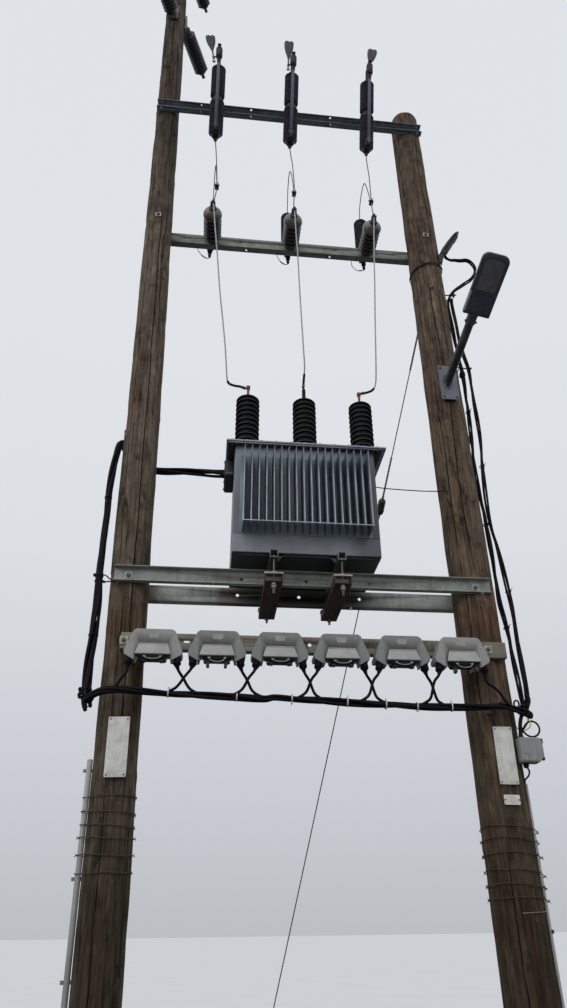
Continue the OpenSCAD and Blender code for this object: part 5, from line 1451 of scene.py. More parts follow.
def bushings():
    """Black glazed bushings: clamp ring, sheds with rolled rims, dome,
    terminal and the sleeve of the connection."""
    g = Geo()
    for i, x in enumerate(BUSH_X):
        m = T(x, BUSH_Y, LID_TOP)
        # clamp ring with its studs
        lathe(g, [(0, 0), (80, 0), (81.5, 1.5), (81.5, 9), (80, 11), (70, 12), (66, 18), (0, 18)], 40, m, 1)
        for a in range(6):
            q = m @ R("Z", 60 * a + 12) @ T(73.5, 0, 11)
            nut(g, 6.8, 0, 7, q, 2, 0.8)
            cyl(g, 3.6, 6, 12, 8, q, 2, 0.6)
        prof = [(0, 17), (68, 17), (69, 19), (69, 38), (69.5, 40)]
        p = 41.0
        for k in range(10):
            z = 40 + k * p
            prof += [(70, z + 1), (70, z + 6), (76, z + 8.4), (81, z + 9.2), (82.6, z + 10.6), (83, z + 12.6), (82.6, z + 14.8), (81, z + 16.6),
                     (76.5, z + 20.0), (73, z + 25), (71, z + 31), (70, z + 37)]
        prof += [(71, 450), (79, 452), (81.5, 455), (81, 459), (76, 465), (64, 472), (48, 478.5), (30, 484), (14, 486), (0, 486)]
        lathe(g, prof, 44, m, 0)
        # painted highlight: a pale ring along the rolled edge of each shed
        for k in range(10):
            z = 40 + k * p
            pipe(g, 83.0, 81.6, z + 11.2, z + 14.0, 44, m, 5, 0.5)
        # terminal: nut stack and stud
        for z0, z1, r in ((485, 494, 17), (494, 503, 13)):
            nut(g, r, z0, z1, m @ R("Z", 20 * i + z0), 3, 1.4)
        cyl(g, 9, 500, 604, 16, m, 3, 1.5)
        if i != 1:
            nut(g, 15, 572, 584, m @ R("Z", 33), 3, 1.4)
            cbox(g, (-14, -14, 584), (14, 14, 598), 2.5, 3, m)
        else:
            lathe(g, [(9.2, 512), (13, 516), (13, 596), (10, 603), (9.2, 604)], 16, m, 4)
            nut(g, 9, 2, 12, m @ T(12, -80, 8), 6, 1)
    piece(g, "high_voltage_bushing_stack", [M["bushing"], M["galv_light"], M["bolt"], M["copper"], M["boot"], M["shed_edge"], M["white_metal"]], replaces=["high_voltage_bushings"], sharp=42)


def cable_box():
    g = Geo()
    body = fillet([(461, -130), (520.5, -130), (520.5, 100), (461, 100)], 6, 4)
    prism(g, body, 4160, 4288, None, 0, 3)
    # cover flange with screws, gland where the cable leaves
    cbox(g, (456.6, -122, 4168), (461.4, 92, 4280), 1.2, 0)
    for y in (-112, -15, 82):
        for z in (4177, 4271):
            nut(g, 6.5, 0, 4.5, T(456.6, y, z) @ R("Y", -90), 1, 0.8)
    for y in (-60, 0, 48):
        if y == 0:
            lathe(g, [(27, -2), (27, 6), (24.5, 8), (24.5, 12), (22.4, 14)], 20, T(461, y, 4250) @ R("Y", -90), 2)
    cbox(g, (470, -131.8, 4170), (512, -129.6, 4180), 0.6, 1)
    piece(g, "low_voltage_cable_box", [M["black_paint"], M["bolt"], M["boot"]], replaces=["low_voltage_box"])


# ------------------------------------------------------ high voltage gear --
CUT_X, CUT_Y, CUT_Z, TUBE_N, HINGE_S = (240, 928, 1651), -250, 8230, 120, -360
HOOD_A = [(190, -440, 8560), (886, -440, 8560), (1664, -440, 8662)]
HOOD_B = [(142, -450, 8905), (896, -450, 8955), (1716, -450, 8975)]
POST_X, POST_Z, ARR_X, ARR_Y = (265, 943, 1623), 6740, (245, 936, 1621), 219
LINE_POSTS = [(-160, 45, 9960, 68.5), (-300, -112, 9960, -110), (-200, 45, 11400, 68.5)]
TUBES = ("fuse_tube_left", "fuse_tube_middle", "fuse_tube_right")


def at_cutout(i):
    return T(CUT_X[i], CUT_Y, CUT_Z) @ R("X", 20)


def shed_prof(h, rc, rs, n, z0=0.0, small=None, thin=2.4, cup=0.0):
    """Umbrella sheds with a rolled rim, flat below and sloped above."""
    p = h / n
    out = []
    for i in range(n):
        r1 = small if (small and i % 2) else rs
        z = z0 + i * p
        k = r1 - rc
        out += [(rc + 0.6, z), (rc, z + 0.10 * p), (rc + 0.8, z + 0.2 * p), (rc + k * 0.35, z + 0.255 * p + cup * 0.5), (r1 - 3.5, z + 0.27 * p + cup * 0.15),
                (r1 - 1.2, z + 0.27 * p), (r1, z + 0.27 * p + thin * 0.6), (r1 - 0.8, z + 0.27 * p + thin * 1.3),
                (rc + k * 0.62, z + 0.44 * p + thin), (rc + k * 0.26, z + 0.62 * p + thin * 0.8), (rc + 3.0, z + 0.8 * p), (rc + 1.0, z + 0.93 * p)]
    return out


def cutout_insulators():
    g = Geo()
    for i in range(3):
        m = at_cutout(i)
        up = [(0, 24), (37, 24), (37, 29)] + shed_prof(305, 33, 66, 13, 30) + [(34, 335), (31, 338), (0, 338)]
        lathe(g, up, 32, m, 0)
        dn = [(0, 24), (37, 24), (37, 29)] + shed_prof(335, 33, 66, 14, 30) + [(34, 365), (31, 368), (0, 368)]
        lathe(g, dn, 32, m @ R("X", 180), 0)
        cyl(g, 34, -31, 31, 28, m, 0, 2)
    piece(g, "cutout_insulator_sheds", [M["polymer"]], replaces=["cutout_insulators"], sharp=45)


def hood(g, a, b, seed):
    """Flared two-lobed hood on its stem, dished at the top."""
    L = dist(a, b)
    d = (np.array(b, float) - a) / L
    x = np.array([1.0, 0, 0]) - d * d[0]
    x /= np.linalg.norm(x)
    y = np.cross(d, x)
    m = np.eye(4)
    m[:3, 0], m[:3, 1], m[:3, 2], m[:3, 3] = x, y, d, a
    cyl(g, 8, 0, 140, 14, m, 1, 1)
    nut(g, 13, 16, 28, m @ R("Z", 25), 1)
    k = 40
    th = np.arange(k) * 2 * pi / k
    rows = []
    # t, half width, half depth, depth of the crease
    full = seed == 2
    for t, w, dp, cr in (((0.0, 9, 9, 0.0), (0.06, 14, 11, 0.02), (0.2, 27, 16, 0.10), (0.42, 38, 20, 0.24), (0.7, 45, 24, 0.34), (0.92, 47, 25, 0.36), (1.0, 45.5, 24.5, 0.36)) if full else
                         ((0.0, 9, 9, 0.0), (0.10, 12, 10, 0.02), (0.3, 24, 15, 0.12), (0.5, 36, 20, 0.26), (0.7, 43, 23, 0.36), (0.93, 46, 25, 0.40), (1.0, 45, 24.5, 0.40))):
        s = np.abs(np.sin(th))
        r = 1 - cr * np.exp(-(np.cos(th) / 0.30) ** 2)
        rows.append((w * np.cos(th), dp * np.sin(th) * r, 120 + (L - 120) * t + 0 * th + (2.0 * np.cos(2 * th) if t >= 0.93 else 0)))
    # rolled rim and dished inside
    for f, dz in ((0.93, 2.0), (0.84, -6), (0.55, -30), (0.2, -52)):
        r = 1 - 0.40 * np.exp(-(np.cos(th) / 0.30) ** 2)
        rows.append((45 * f * np.cos(th), 24.5 * f * np.sin(th) * r, L + dz + 2 * f * np.cos(2 * th)))
    v = np.vstack([np.stack([p, q, z], 1) for p, q, z in rows])
    g.add(v, grid_faces(len(rows), k), 0, True, m)
    n0 = g.n - len(v)
    g.parts.append((np.arange(k)[::-1] + n0, np.array([k]), np.array([0]), np.array([False])))
    g.parts.append((np.arange(k) + n0 + (len(rows) - 1) * k, np.array([k]), np.array([0]), np.array([False])))


def cutout_fittings():
    g = Geo()
    for i in range(3):
        m = at_cutout(i)
        x = CUT_X[i]
        # clamp band round the waist, with ears and a bolt
        pipe(g, 43, 35, -20, 20, 36, m, 0, 1.5)
        for s in (-1, 1):
            cbox(g, (s * 43 - 3 + (-3 if s < 0 else 3), -9, -17), (s * 43 + 3 + (-3 if s < 0 else 3), 30, 17), 1.2, 0, m)
        for s in (-1, 1):
            nut(g, 11, 0, 9, m @ T(s * 49, 14, 0) @ R("Y", 90 * s), 1)
        # arm bracket: hooked strap over the channel, with two bolts through its web
        strap = fillet([(-166, 8200), (-158, 8200), (-158, 8320), (-108, 8320), (-108, 8328), (-166, 8328)], [1, 1, 3, 1, 1, 10], 4)
        mx = np.array([[0, 0, 1, x - 20], [1, 0, 0, 0], [0, 1, 0, 0], [0, 0, 0, 1]], float)
        prism(g, strap, 0, 40, mx, 0, 0.8)
        strap2 = fillet([(-222, 8236), (-164, 8236), (-164, 8246), (-222, 8246)], 2, 2)
        prism(g, strap2, 0, 40, mx, 0, 0.8)
        for z in (8216, 8292):
            bolt_end(g, T(x, -166, z) @ R("X", 90), 15, 3, 12, 9, 7, 9, 1, 1, False)
        # top: cap, post, contact plate over the tube's head with its spring
        lathe(g, [(0, 334), (31, 334), (33, 336), (33, 356), (30, 361), (22, 366), (0, 368)], 28, m, 0)
        cbox(g, (-14, -8, 362), (14, 8, 474), 1.6, 0, m)
        cbox(g, (-14, -146, 463), (14, -4, 473), 1.8, 0, m)
        for q in (-24, -122):
            nut(g, 11, 473, 482, m @ T(0, q + 6, 0), 1)
            cyl(g, 5.5, 480, 486, 10, m @ T(0, q + 6, 0), 1)
        for s in (-1, 1):
            cbox(g, (s * 14 - 2, -146, 452), (s * 14 + 2, -92, 473), 0.8, 0, m)
        # bottom: cap, arms, the two cheeks of the hinge, terminal
        lathe(g, [(0, -366), (31, -366), (33, -369), (33, -388), (30, -394), (18, -399), (0, -400)], 28, m, 0)
        for s in (-1, 1):
            ck = fillet([(-134, -384), (-24, -384), (-24, -372), (-84, -366), (-90, -340), (-134, -340)], [8, 1, 3, 10, 9, 16], 4)
            mc = m @ np.array([[0, 0, 1, s * 23 - 3], [1, 0, 0, 0], [0, 1, 0, 0], [0, 0, 0, 1]], float)
            prism(g, ck, 0, 6, mc, 0, 0.8)
            # pin bosses outside the cheeks
            pipe(g, 11.5, 6.4, 0, 3.4, 20, m @ T(s * 26, -TUBE_N, HINGE_S) @ R("Y", 90 * s), 1, 0.5)
        cbox(g, (-26, -44, -384), (26, -22, -372), 1.4, 0, m)
        cyl(g, 9, -416, -396, 16, m, 1, 1)
        nut(g, 15, -409, -399, m, 1)
        cbox(g, (-15, -13, -424), (15, 13, -410), 2.2, 1, m)
        for s in (-1, 1):
            nut(g, 6, -430, -424, m @ T(s * 8, 0, 0), 1, 0.8)
        # hood and the link that carries it
        hood(g, np.array(HOOD_A[i], float), np.array(HOOD_B[i], float), i)
        a = np.array((x, -434, 8618) if i < 2 else (x, -420, 8655), float)
        b = np.array(HOOD_A[i], float) + (0, 0, 30 if i < 2 else 8)
        ml = along(a, b)
        cyl(g, 7, -4, dist(a, b) + 4, 14, ml, 1, 1)
        # contact block on a drop bar beside the tube's upper ferrule
        bx = x - (46 if i == 0 else 44)
        if i < 2:
            ld = along(np.array((bx, -448, 8500.0)), b)
            cyl(g, 5, -2, dist((bx, -448, 8500.0), b) + 2, 12, ld, 0, 1)
            cbox(g, (bx - 14, -460, 8493), (bx + 14, -440, 8515), 2.5, 2)
        else:
            cbox(g, (-9, -8, dist(a, b) * 0.35), (9, 8, dist(a, b) * 0.35 + 26), 2, 0, ml)
    piece(g, "cutout_metalwork", [M["cut_metal"], M["cut_bolt"], M["white_metal"], M["hood"]], replaces=["cutout_fittings"])


def fuse_tubes():
    for i, name in enumerate(TUBES):
        g = Geo()
        m = at_cutout(i) @ T(0, -TUBE_N, 0)
        # fibre barrel, open at the foot
        lathe(g, [(9, -340), (9, -396), (10, -398), (13, -398), (14, -396.5), (14, 330), (13, 332), (0, 332)][::-1], 26, m, 0)
        lathe(g, [(0, -342), (9, -341)], 26, m, 0)
        # lower ferrule and trunnion
        pipe(g, 17, 13.6, -392, -318, 26, m, 1, 1)
        cyl(g, 9, -19, 19, 20, m @ T(0, 0, HINGE_S) @ R("Y", 90), 1, 1.5)
        cyl(g, 5, -26, 26, 16, m @ T(0, 0, HINGE_S) @ R("Y", 90), 1, 1)
        cbox(g, (-14, 8, HINGE_S - 9), (14, 19, HINGE_S + 13), 2, 1, m)
        for z in (-326, -384):
            torus(g, 17, 2.2, 28, 8, m @ T(0, 0, z), 1)
        # flipper lever of the link, below the trunnion
        lev = fillet([(-4, 0), (4, 0), (3, -34), (-3, -34)], [3, 3, 3, 3], 3)
        prism(g, lev, -4, 4, m @ T(0, -14, HINGE_S - 2) @ R("X", 18) @ np.array([[1, 0, 0, 0], [0, 0, -1, 0], [0, 1, 0, 0], [0, 0, 0, 1]], float), 1, 1)
        # upper ferrule, barrel-shaped head and pull ring
        lathe(g, [(13.6, 300), (17.5, 302), (18.5, 306), (18.5, 330), (20, 334), (26, 340), (29, 350), (30, 366), (30, 420), (28.5, 436), (24, 446), (15, 452), (0, 453)], 30, m, 2)
        for z in (352, 372, 398, 424):
            torus(g, 29.6, 1.6, 30, 6, m @ T(0, 0, z), 2)
        lathe(g, [(13.7, 288), (16.5, 289), (16.5, 299), (13.7, 300)], 26, m, 1)
        torus(g, 20, 4.6, 32, 10, m @ T(0, -50, 352) @ R("Y", 90), 1)
        cbox(g, (-5, -31, 346), (5, -16, 358), 1.5, 1, m)
        piece(g, name + "_barrel", [M["grey_tube"], M["cut_bolt"], M["tube_head"]], name + "_body", replaces=[name])


def post_insulators():
    g = Geo()
    for j, x in enumerate(POST_X):
        m = T(x, 75, POST_Z) @ R("X", 90)
        prof = [(0, 0), (46, 0), (48, 2)]
        p = 190 / 5
        for k in range(5):
            z = k * p
            prof += [(49, z + 3), (48, z + 7), (56, z + 10), (70, z + 11), (75.5, z + 13.5), (76.5, z + 17), (75.5, z + 20.5), (71, z + 24), (60, z + 29), (51, z + 34)]
        prof += [(52, 191), (0, 191)]
        lathe(g, prof, 44, m, 1)
        prof = [(0, 190.5), (52, 190.5), (60, 195), (73, 204), (78, 211), (79, 219), (79, 229), (77, 240), (70, 254), (60, 266), (50, 274), (41, 279), (38, 282), (0, 283)]
        lathe(g, prof, 44, m, 0)
    piece(g, "post_insulator_drums", [M["porcelain"], M["porcelain_dark"]], replaces=["post_insulators"], sharp=50)


def surge_arresters():
    g = Geo()
    for x in ARR_X:
        m = T(x, ARR_Y, MID_Z + 118)
        lathe(g, [(0, 0), (34, 0), (36, 2), (36, 10), (33, 12)] + shed_prof(470, 33, 61, 16, 12) + [(33, 483), (28, 486), (27, 500), (24, 504), (0, 505)], 34, m, 0)
        nut(g, 17, 504, 514, m @ R("Z", 20), 1)
        cyl(g, 8, 503, 535, 14, m, 1)
        nut(g, 14, 518, 527, m @ R("Z", 50), 1)
    piece(g, "surge_arrester_stacks", [M["polymer"], M["bolt"]], replaces=["surge_arresters"], sharp=45)


def line_posts():
    g = Geo()
    h = Geo()
    for n, p in enumerate(LINE_POSTS):
        m = T(*p[:3]) @ R("Z", p[3]) @ R("Y", 90)
        lathe(g, [(0, 38), (44, 38), (44, 42)] + shed_prof(410, 41, 77, 14, 40, None, 3.0) + [(43, 450), (44, 452), (40, 462), (36, 466), (0, 467)], 36, m, 0)
        # foot, line clamp with keeper and bolts
        lathe(h, [(0, -14), (42, -14), (43, -12), (43, 30), (46, 34), (46, 41), (0, 41)], 28, m, 0)
        q = T(*p[:3]) @ R("Z", p[3])
        cbox(h, (464, -16, -20), (516, 16, -4), 3, 0, q)
        cbox(h, (470, -14, -4), (512, 14, 10), 3, 0, q)
        for s in (476, 506):
            nut(h, 9, 10, 18, q @ T(s, 0, 0), 1)
            cyl(h, 4.5, 16, 22, 10, q @ T(s, 0, 0), 1)
        cbox(h, (452, -26, -12), (470, 26, 12), 3, 0, q)
    # back plates against the pole, with four bolts through the last one
    for lo, hi, d in (((-200, -36, 9850), (-156, 94, 10100), 1), ((-200, -36, 11290), (-156, 94, 11540), 1)):
        cbox(h, (-172, lo[1], lo[2]), (-156, hi[1], hi[2]), 2, 0)
    cbox(h, (-360, -125, 9850), (-240, -109, 10100), 2, 0)
    for z in (9880, 10070):
        for xx in (-340, -262):
            bolt_end(h, T(xx, -125, z) @ R("X", 90), 14, 3, 11, 8, 6, 8, 1, 1, False)
    return g, h


def insulator_fittings():
    g, h = line_posts()
    piece(g, "line_post_sheds", [M["polymer_brown"]], replaces=["line_post_insulators"], sharp=45)
    for x in POST_X:
        # base: flange, stud through the arm's web, nut behind
        m = T(x, 105, POST_Z) @ R("X", 90)
        lathe(h, [(0, 0), (46, 0), (47, 1.5), (47, 12), (43, 16), (42, 28), (40, 30), (0, 30)], 34, m, 0)
        cyl(h, 10, -34, 2, 14, m, 1)
        bolt_end(h, T(x, 111, POST_Z) @ R("X", -90), 20, 4, 16, 13, 9, 10, 1, 1)
        # metal cap and the line clamp on it
        c = T(x, -205, POST_Z) @ R("X", 90)
        lathe(h, [(0, 0), (31, 0), (33, 2), (33, 12), (29, 20), (20, 26), (0, 27)], 28, c, 2)
        cbox(h, (x - 22, -244, POST_Z - 2), (x + 22, -229, POST_Z + 38), 4, 2)
        cbox(h, (x - 20, -261, POST_Z + 4), (x + 20, -247, POST_Z + 34), 4, 2)
        for s in (-1, 1):
            cyl(h, 4.5, -264, -226, 10, T(x + s * 13, 0, POST_Z + 19) @ np.array([[1, 0, 0, 0], [0, 0, 1, 0], [0, -1, 0, 0], [0, 0, 0, 1]], float), 1)
            nut(h, 8, 0, 6, T(x + s * 13, -261, POST_Z + 19) @ R("X", 90), 1, 0.8)
    for x in ARR_X:
        # bent bracket on the arm's top flange and the arrester's stub below it
        cbox(h, (x - 28, 112, 6790), (x + 28, 272, 6798), 1.4, 0)
        cbox(h, (x - 28, 112, 6782), (x + 28, 118, 6798), 1.2, 0)
        for yy in (140, 160):
            nut(h, 10, 6798, 6806, T(x, yy, 0), 1)
        lathe(h, [(0, 6650), (7, 6650), (10, 6654), (12, 6664), (12, 6696), (16, 6702), (20, 6708), (20, 6780), (24, 6784), (24, 6790), (0, 6790)], 22, T(x, ARR_Y, 0), 3)
        nut(h, 15, 6668, 6680, T(x, ARR_Y, 0) @ R("Z", 14), 1)
    piece(h, "insulator_metalwork", [M["galv_dark2"], M["bolt"], M["cap_metal"], M["boot"]], replaces=["insulator_fittings"])


JUMP_A = [
    [[240, -108, 7838], [252, -108, 7700], [264, -108, 7540], [278, -105, 7300], [282, -105, 7180], [280, -130, 7060], [274, -170, 6940], [270, -215, 6820], [266, -238, 6782]],
    [[928, -108, 7838], [938, -108, 7700], [950, -108, 7600], [964, -105, 7320], [962, -108, 7180], [958, -125, 7080], [948, -180, 6920], [945, -215, 6820], [943, -238, 6782]],
    [[1651, -108, 7838], [1648, -108, 7740], [1658, -105, 7500], [1656, -105, 7240], [1652, -115, 7140], [1640, -160, 7000], [1632, -200, 6860], [1626, -225, 6810], [1623, -238, 6782]]]
JUMP_B = [
    [[266, -270, 6770], [278, -279, 6640], [301, -290, 6370], [330, -300, 6067], [366, -290, 5680], [400, -262, 5400], [425, -236, 5180], [440, -205, 5010], [448, -190, 4935], [462, -178, 4904], [500, -165, 4898], [545, -155, 4900], [582, -149, 4892]],
    [[944, -270, 6770], [944, -279, 6640], [950, -290, 6400], [960, -298, 6120], [970, -284, 5790], [985, -250, 5480], [998, -218, 5240], [1008, -180, 5100], [1004, -158, 5020], [998, -149, 4928]],
    [[1621, -270, 6770], [1608, -279, 6640], [1584, -290, 6300], [1562, -292, 5900], [1548, -262, 5560], [1540, -230, 5280], [1536, -188, 5060], [1528, -170, 4980], [1505, -158, 4940], [1460, -150, 4920], [1423, -149, 4911]]]
JUMP_C = [
    [[245, 219, 7334], [244, 200, 7480], [246, 130, 7610], [252, 30, 7650], [262, -50, 7520], [274, -92, 7320], [282, -100, 7195]],
    [[936, 219, 7334], [936, 200, 7480], [936, 130, 7620], [940, 30, 7670], [948, -50, 7520], [956, -92, 7320], [962, -100, 7195]],
    [[1621, 219, 7334], [1622, 200, 7440], [1630, 120, 7560], [1642, 30, 7600], [1642, -50, 7420], [1646, -90, 7250], [1652, -100, 7170]]]
JUMP_E = [
    [[245, 219, 6643], [222, 216, 6632], [182, 198, 6640], [152, 172, 6660], [140, 156, 6672]],
    [[936, 219, 6643], [913, 216, 6632], [873, 198, 6636], [843, 172, 6658], [830, 156, 6672]],
    [[1621, 219, 6643], [1598, 216, 6632], [1548, 200, 6614], [1506, 182, 6640], [1496, 158, 6671]]]
CLAMP_X, CLAMP_Z = (282, 961, 1652), (7180, 7180, 7155)


def stranded(g, pts, r, mat, step=14, k=8, lobes=7, lay=70):
    """Stranded conductor: a lobed outline that turns along the route."""
    q, s = resample(spline(pts, k), step)
    th = np.arange(lobes * 3) * 2 * pi / (lobes * 3)
    rr = 1 - 0.13 * (np.arange(lobes * 3) % 3 == 0)
    prof = np.stack([np.cos(th) * rr, np.sin(th) * rr], 1)
    real = s[-1] / (len(q) - 1)
    sweep(g, q, r, mat=mat, prof=prof, twist=2 * pi * real / lay / 1.0, smooth=True)
    return q


def jumpers():
    g = Geo()
    for i in range(3):
        stranded(g, JUMP_A[i], 5.2, 0)
        stranded(g, JUMP_C[i][:-1] + [[CLAMP_X[i], -100, CLAMP_Z[i] + 27]], 4.6, 0)
        full, s = resample(spline(JUMP_B[i], 10), 12)
        # light stranded wire, then the dark sleeve over the last of it
        cut = int(len(full) * (0.945 if i != 1 else 0.90))
        if i == 0:
            cut = int(np.searchsorted(s, s[-1] - 150))
        elif i == 1:
            cut = int(np.searchsorted(s, s[-1] - 130))
        else:
            cut = int(np.searchsorted(s, s[-1] - 110))
        stranded(g, full[:cut + 3:3].tolist() + [full[cut + 2].tolist()], 6, 1, 14, 3)
        sweep(g, full[cut:], 9, 12, 2, round_ends=True)
        # palm of the lug at the bushing's terminal
        e, d = full[-1], full[-1] - full[-4]
        d /= np.linalg.norm(d)
        ml = along(e - d * 26, e + d * 8)
        cyl(g, 11, 0, 24, 16, ml, 3, 1.5)
        # short dark sleeve where the wire leaves the post's clamp, and above it
        q, s2 = resample(spline(JUMP_A[i], 8), 12)
        sweep(g, q[int(len(q) * 0.925):], 8, 10, 2, round_ends=True)
        sweep(g, full[:5], 8.6, 10, 2, round_ends=True)
        # parallel clamp: bright body, black foot, bolt
        x, z = CLAMP_X[i], CLAMP_Z[i]
        cbox(g, (x - 15, -128, z - 4), (x - 1, -86, z + 29), 3.5, 4)
        cbox(g, (x + 1, -128, z - 4), (x + 16, -86, z + 29), 3.5, 4)
        cbox(g, (x - 17, -130, z - 29), (x + 17, -84, z - 3), 5, 2)
        for s3 in (-1, 1):
            nut(g, 9, 0, 6, T(x + s3 * 16, -107, z + 13) @ R("Y", 90 * s3), 4, 1)
        # earth lead with its dark middle
        q3, s3 = resample(spline(JUMP_E[i], 10), 6)
        sweep(g, q3, 3.2, 8, 5, round_ends=True)
        a, b = (int(len(q3) * 0.22), int(len(q3) * 0.62)) if i < 2 else (int(len(q3) * 0.15), int(len(q3) * 0.35))
        sweep(g, q3[a:b], 5, 10, 2, round_ends=True)
    piece(g, "jumper_wires_and_clamps", [M["jumper_dark"], M["jumper_light"], M["boot"], M["copper"], M["clamp_metal"], M["lead_light"]], replaces=["jumpers"])


# ------------------------------------------------------- low voltage gear --
UNIT_X = [108 + i * 354 for i in range(6)]
UNIT_TOP, ARM_FRONT = 3005, -166
Z_UP = np.array([[1, 0, 0, 0], [0, 0, -1, 0], [0, 1, 0, 0], [0, 0, 0, 1]], float)     # outline x, y -> X, Z; height -> -Y


def housings():
    g = Geo()
    shell = [(-100, 0), (-117, -13), (-162, -128), (-158, -150), (-108, -180),
             (108, -180), (158, -150), (162, -128), (117, -13), (100, 0)]
    out = fillet(shell, [14, 16, 9, 8, 5, 5, 8, 9, 16, 14], 4)
    for i, x in enumerate(UNIT_X):
        m = T(x, ARM_FRONT, UNIT_TOP) @ Z_UP
        prism(g, out, 0, 114, m, 0 if i in (0, 5) else 1, 0, True, None,
              [(0.8, 0), (0, 1.2), (0, 26), (1.6, 28), (1.6, 31), (0, 33), (0, 110), (0.9, 112.4), (3.2, 114)])
    o = piece(g, "fuse_unit_hoods", [M["housing"], M["housing_b"]], replaces=["fuse_housings"], sharp=24)
    cut = []
    for x in UNIT_X:
        c = Geo()
        # the opening follows the cover's slanting sides, then runs straight down
        rec = fillet([(-97, -262), (97, -262), (97, -172), (73, -98), (-73, -98), (-97, -172)], [2, 2, 6, 5, 5, 6], 3)
        prism(c, rec, 26, 156, T(x, ARM_FRONT, UNIT_TOP) @ Z_UP)
        cut.append(c)
        # groove in the face for the rolled edge of the cover to turn in
        c = Geo()
        prism(c, fillet([(-81.5, -99), (81.5, -99), (81.5, -84.4), (-81.5, -84.4)], [0.5, 0.5, 3, 3], 3), 107, 122, T(x, ARM_FRONT, UNIT_TOP) @ Z_UP)
        cut.append(c)
        # the back wall ends above the carrier's body
        c = Geo()
        prism(c, fillet([(-170, -262), (170, -262), (170, -148), (104, -148), (96, -138), (-96, -138), (-104, -148), (-170, -148)], 2, 2), -20, 40, T(x, ARM_FRONT, UNIT_TOP) @ Z_UP)
        cut.append(c)
        # hollow undersides of the two wings, where the cables enter
        for s in (-1, 1):
            c = Geo()
            w = fillet([(109, -205), (152, -180), (154, -150), (148, -138), (109, -138)], 3, 3)
            w = w * [s, 1] if s > 0 else (w * [s, 1])[::-1]
            prism(c, w, 24, 108, T(x, ARM_FRONT, UNIT_TOP) @ Z_UP)
            cut.append(c)
    boolean(o, cut)

    g = Geo()
    for i, x in enumerate(UNIT_X):
        # inside of the recess: contact block and two jaws
        cbox(g, (x - 68, -194, 2856), (x + 68, -190.5, 2896), 1, 0)
        for s in (-1, 1):
            cbox(g, (x + s * 56 - 9, -206, 2864), (x + s * 56 + 9, -193, 2892), 1.5, 1)
        # raised blank panel on the front, a shade smoother than the shell
        bl = fillet([(-34, -22), (34, -22), (24, -54), (-24, -54)], 5, 3)
        prism(g, bl, 113.2, 114.7, T(x, ARM_FRONT, UNIT_TOP) @ Z_UP, 2, 0.6)
        # two small screws at the shoulders
        for s in (-1, 1):
            lathe(g, [(0, 112.5), (6.2, 112.5), (6.2, 114.4), (5.2, 115.4), (0, 115.8)], 14, T(x + s * 118, ARM_FRONT, UNIT_TOP - 62) @ Z_UP, 2)
    piece(g, "fuse_unit_contacts", [M["black_plastic"], M["brass"], M["housing"]])

    # rubber boots of the cable entries
    g = Geo()
    for i in range(6):
        for s in (-1, 1):
            q = spline(unit_drop(i, s), 8)
            d = q[5] - q[0]
            d /= np.linalg.norm(d)
            cx = UNIT_X[i] + s * 133.0
            k = 26
            th = np.arange(k) * 2 * pi / k
            rows = []
            e1, e2 = np.array([1.0, 0, 0]), np.array([0, 1.0, 0])
            for c, a, b in (((cx, -236, UNIT_TOP - 158), 19, 30), ((cx, -236, UNIT_TOP - 176), 22, 34), ((cx, -236, UNIT_TOP - 186), 24, 35),
                            ((cx + s * 1, -236, UNIT_TOP - 190), 22, 32), ((cx + s * 1, -236, UNIT_TOP - 198), 16, 21),
                            (q[0] + d * 4, 12.5, 14), (q[0] + d * 14, 10.5, 11), (q[0] + d * 18, 9.6, 9.8), (q[0] + d * 19, 8.5, 8.5)):
                rows.append(np.array(c, float) + np.outer(a * np.cos(th), e1) + np.outer(b * np.sin(th), e2))
            v = np.vstack(rows)
            base = g.n
            g.add(v, grid_faces(len(rows), k)[:, ::-1], 0, True)
            g.parts.append((np.arange(k) + base, np.array([k]), np.array([0]), np.array([False])))
            g.parts.append(((np.arange(k) + (len(rows) - 1) * k + base)[::-1], np.array([k]), np.array([0]), np.array([False])))
    piece(g, "cable_entry_boots", [M["boot"]], sharp=50)


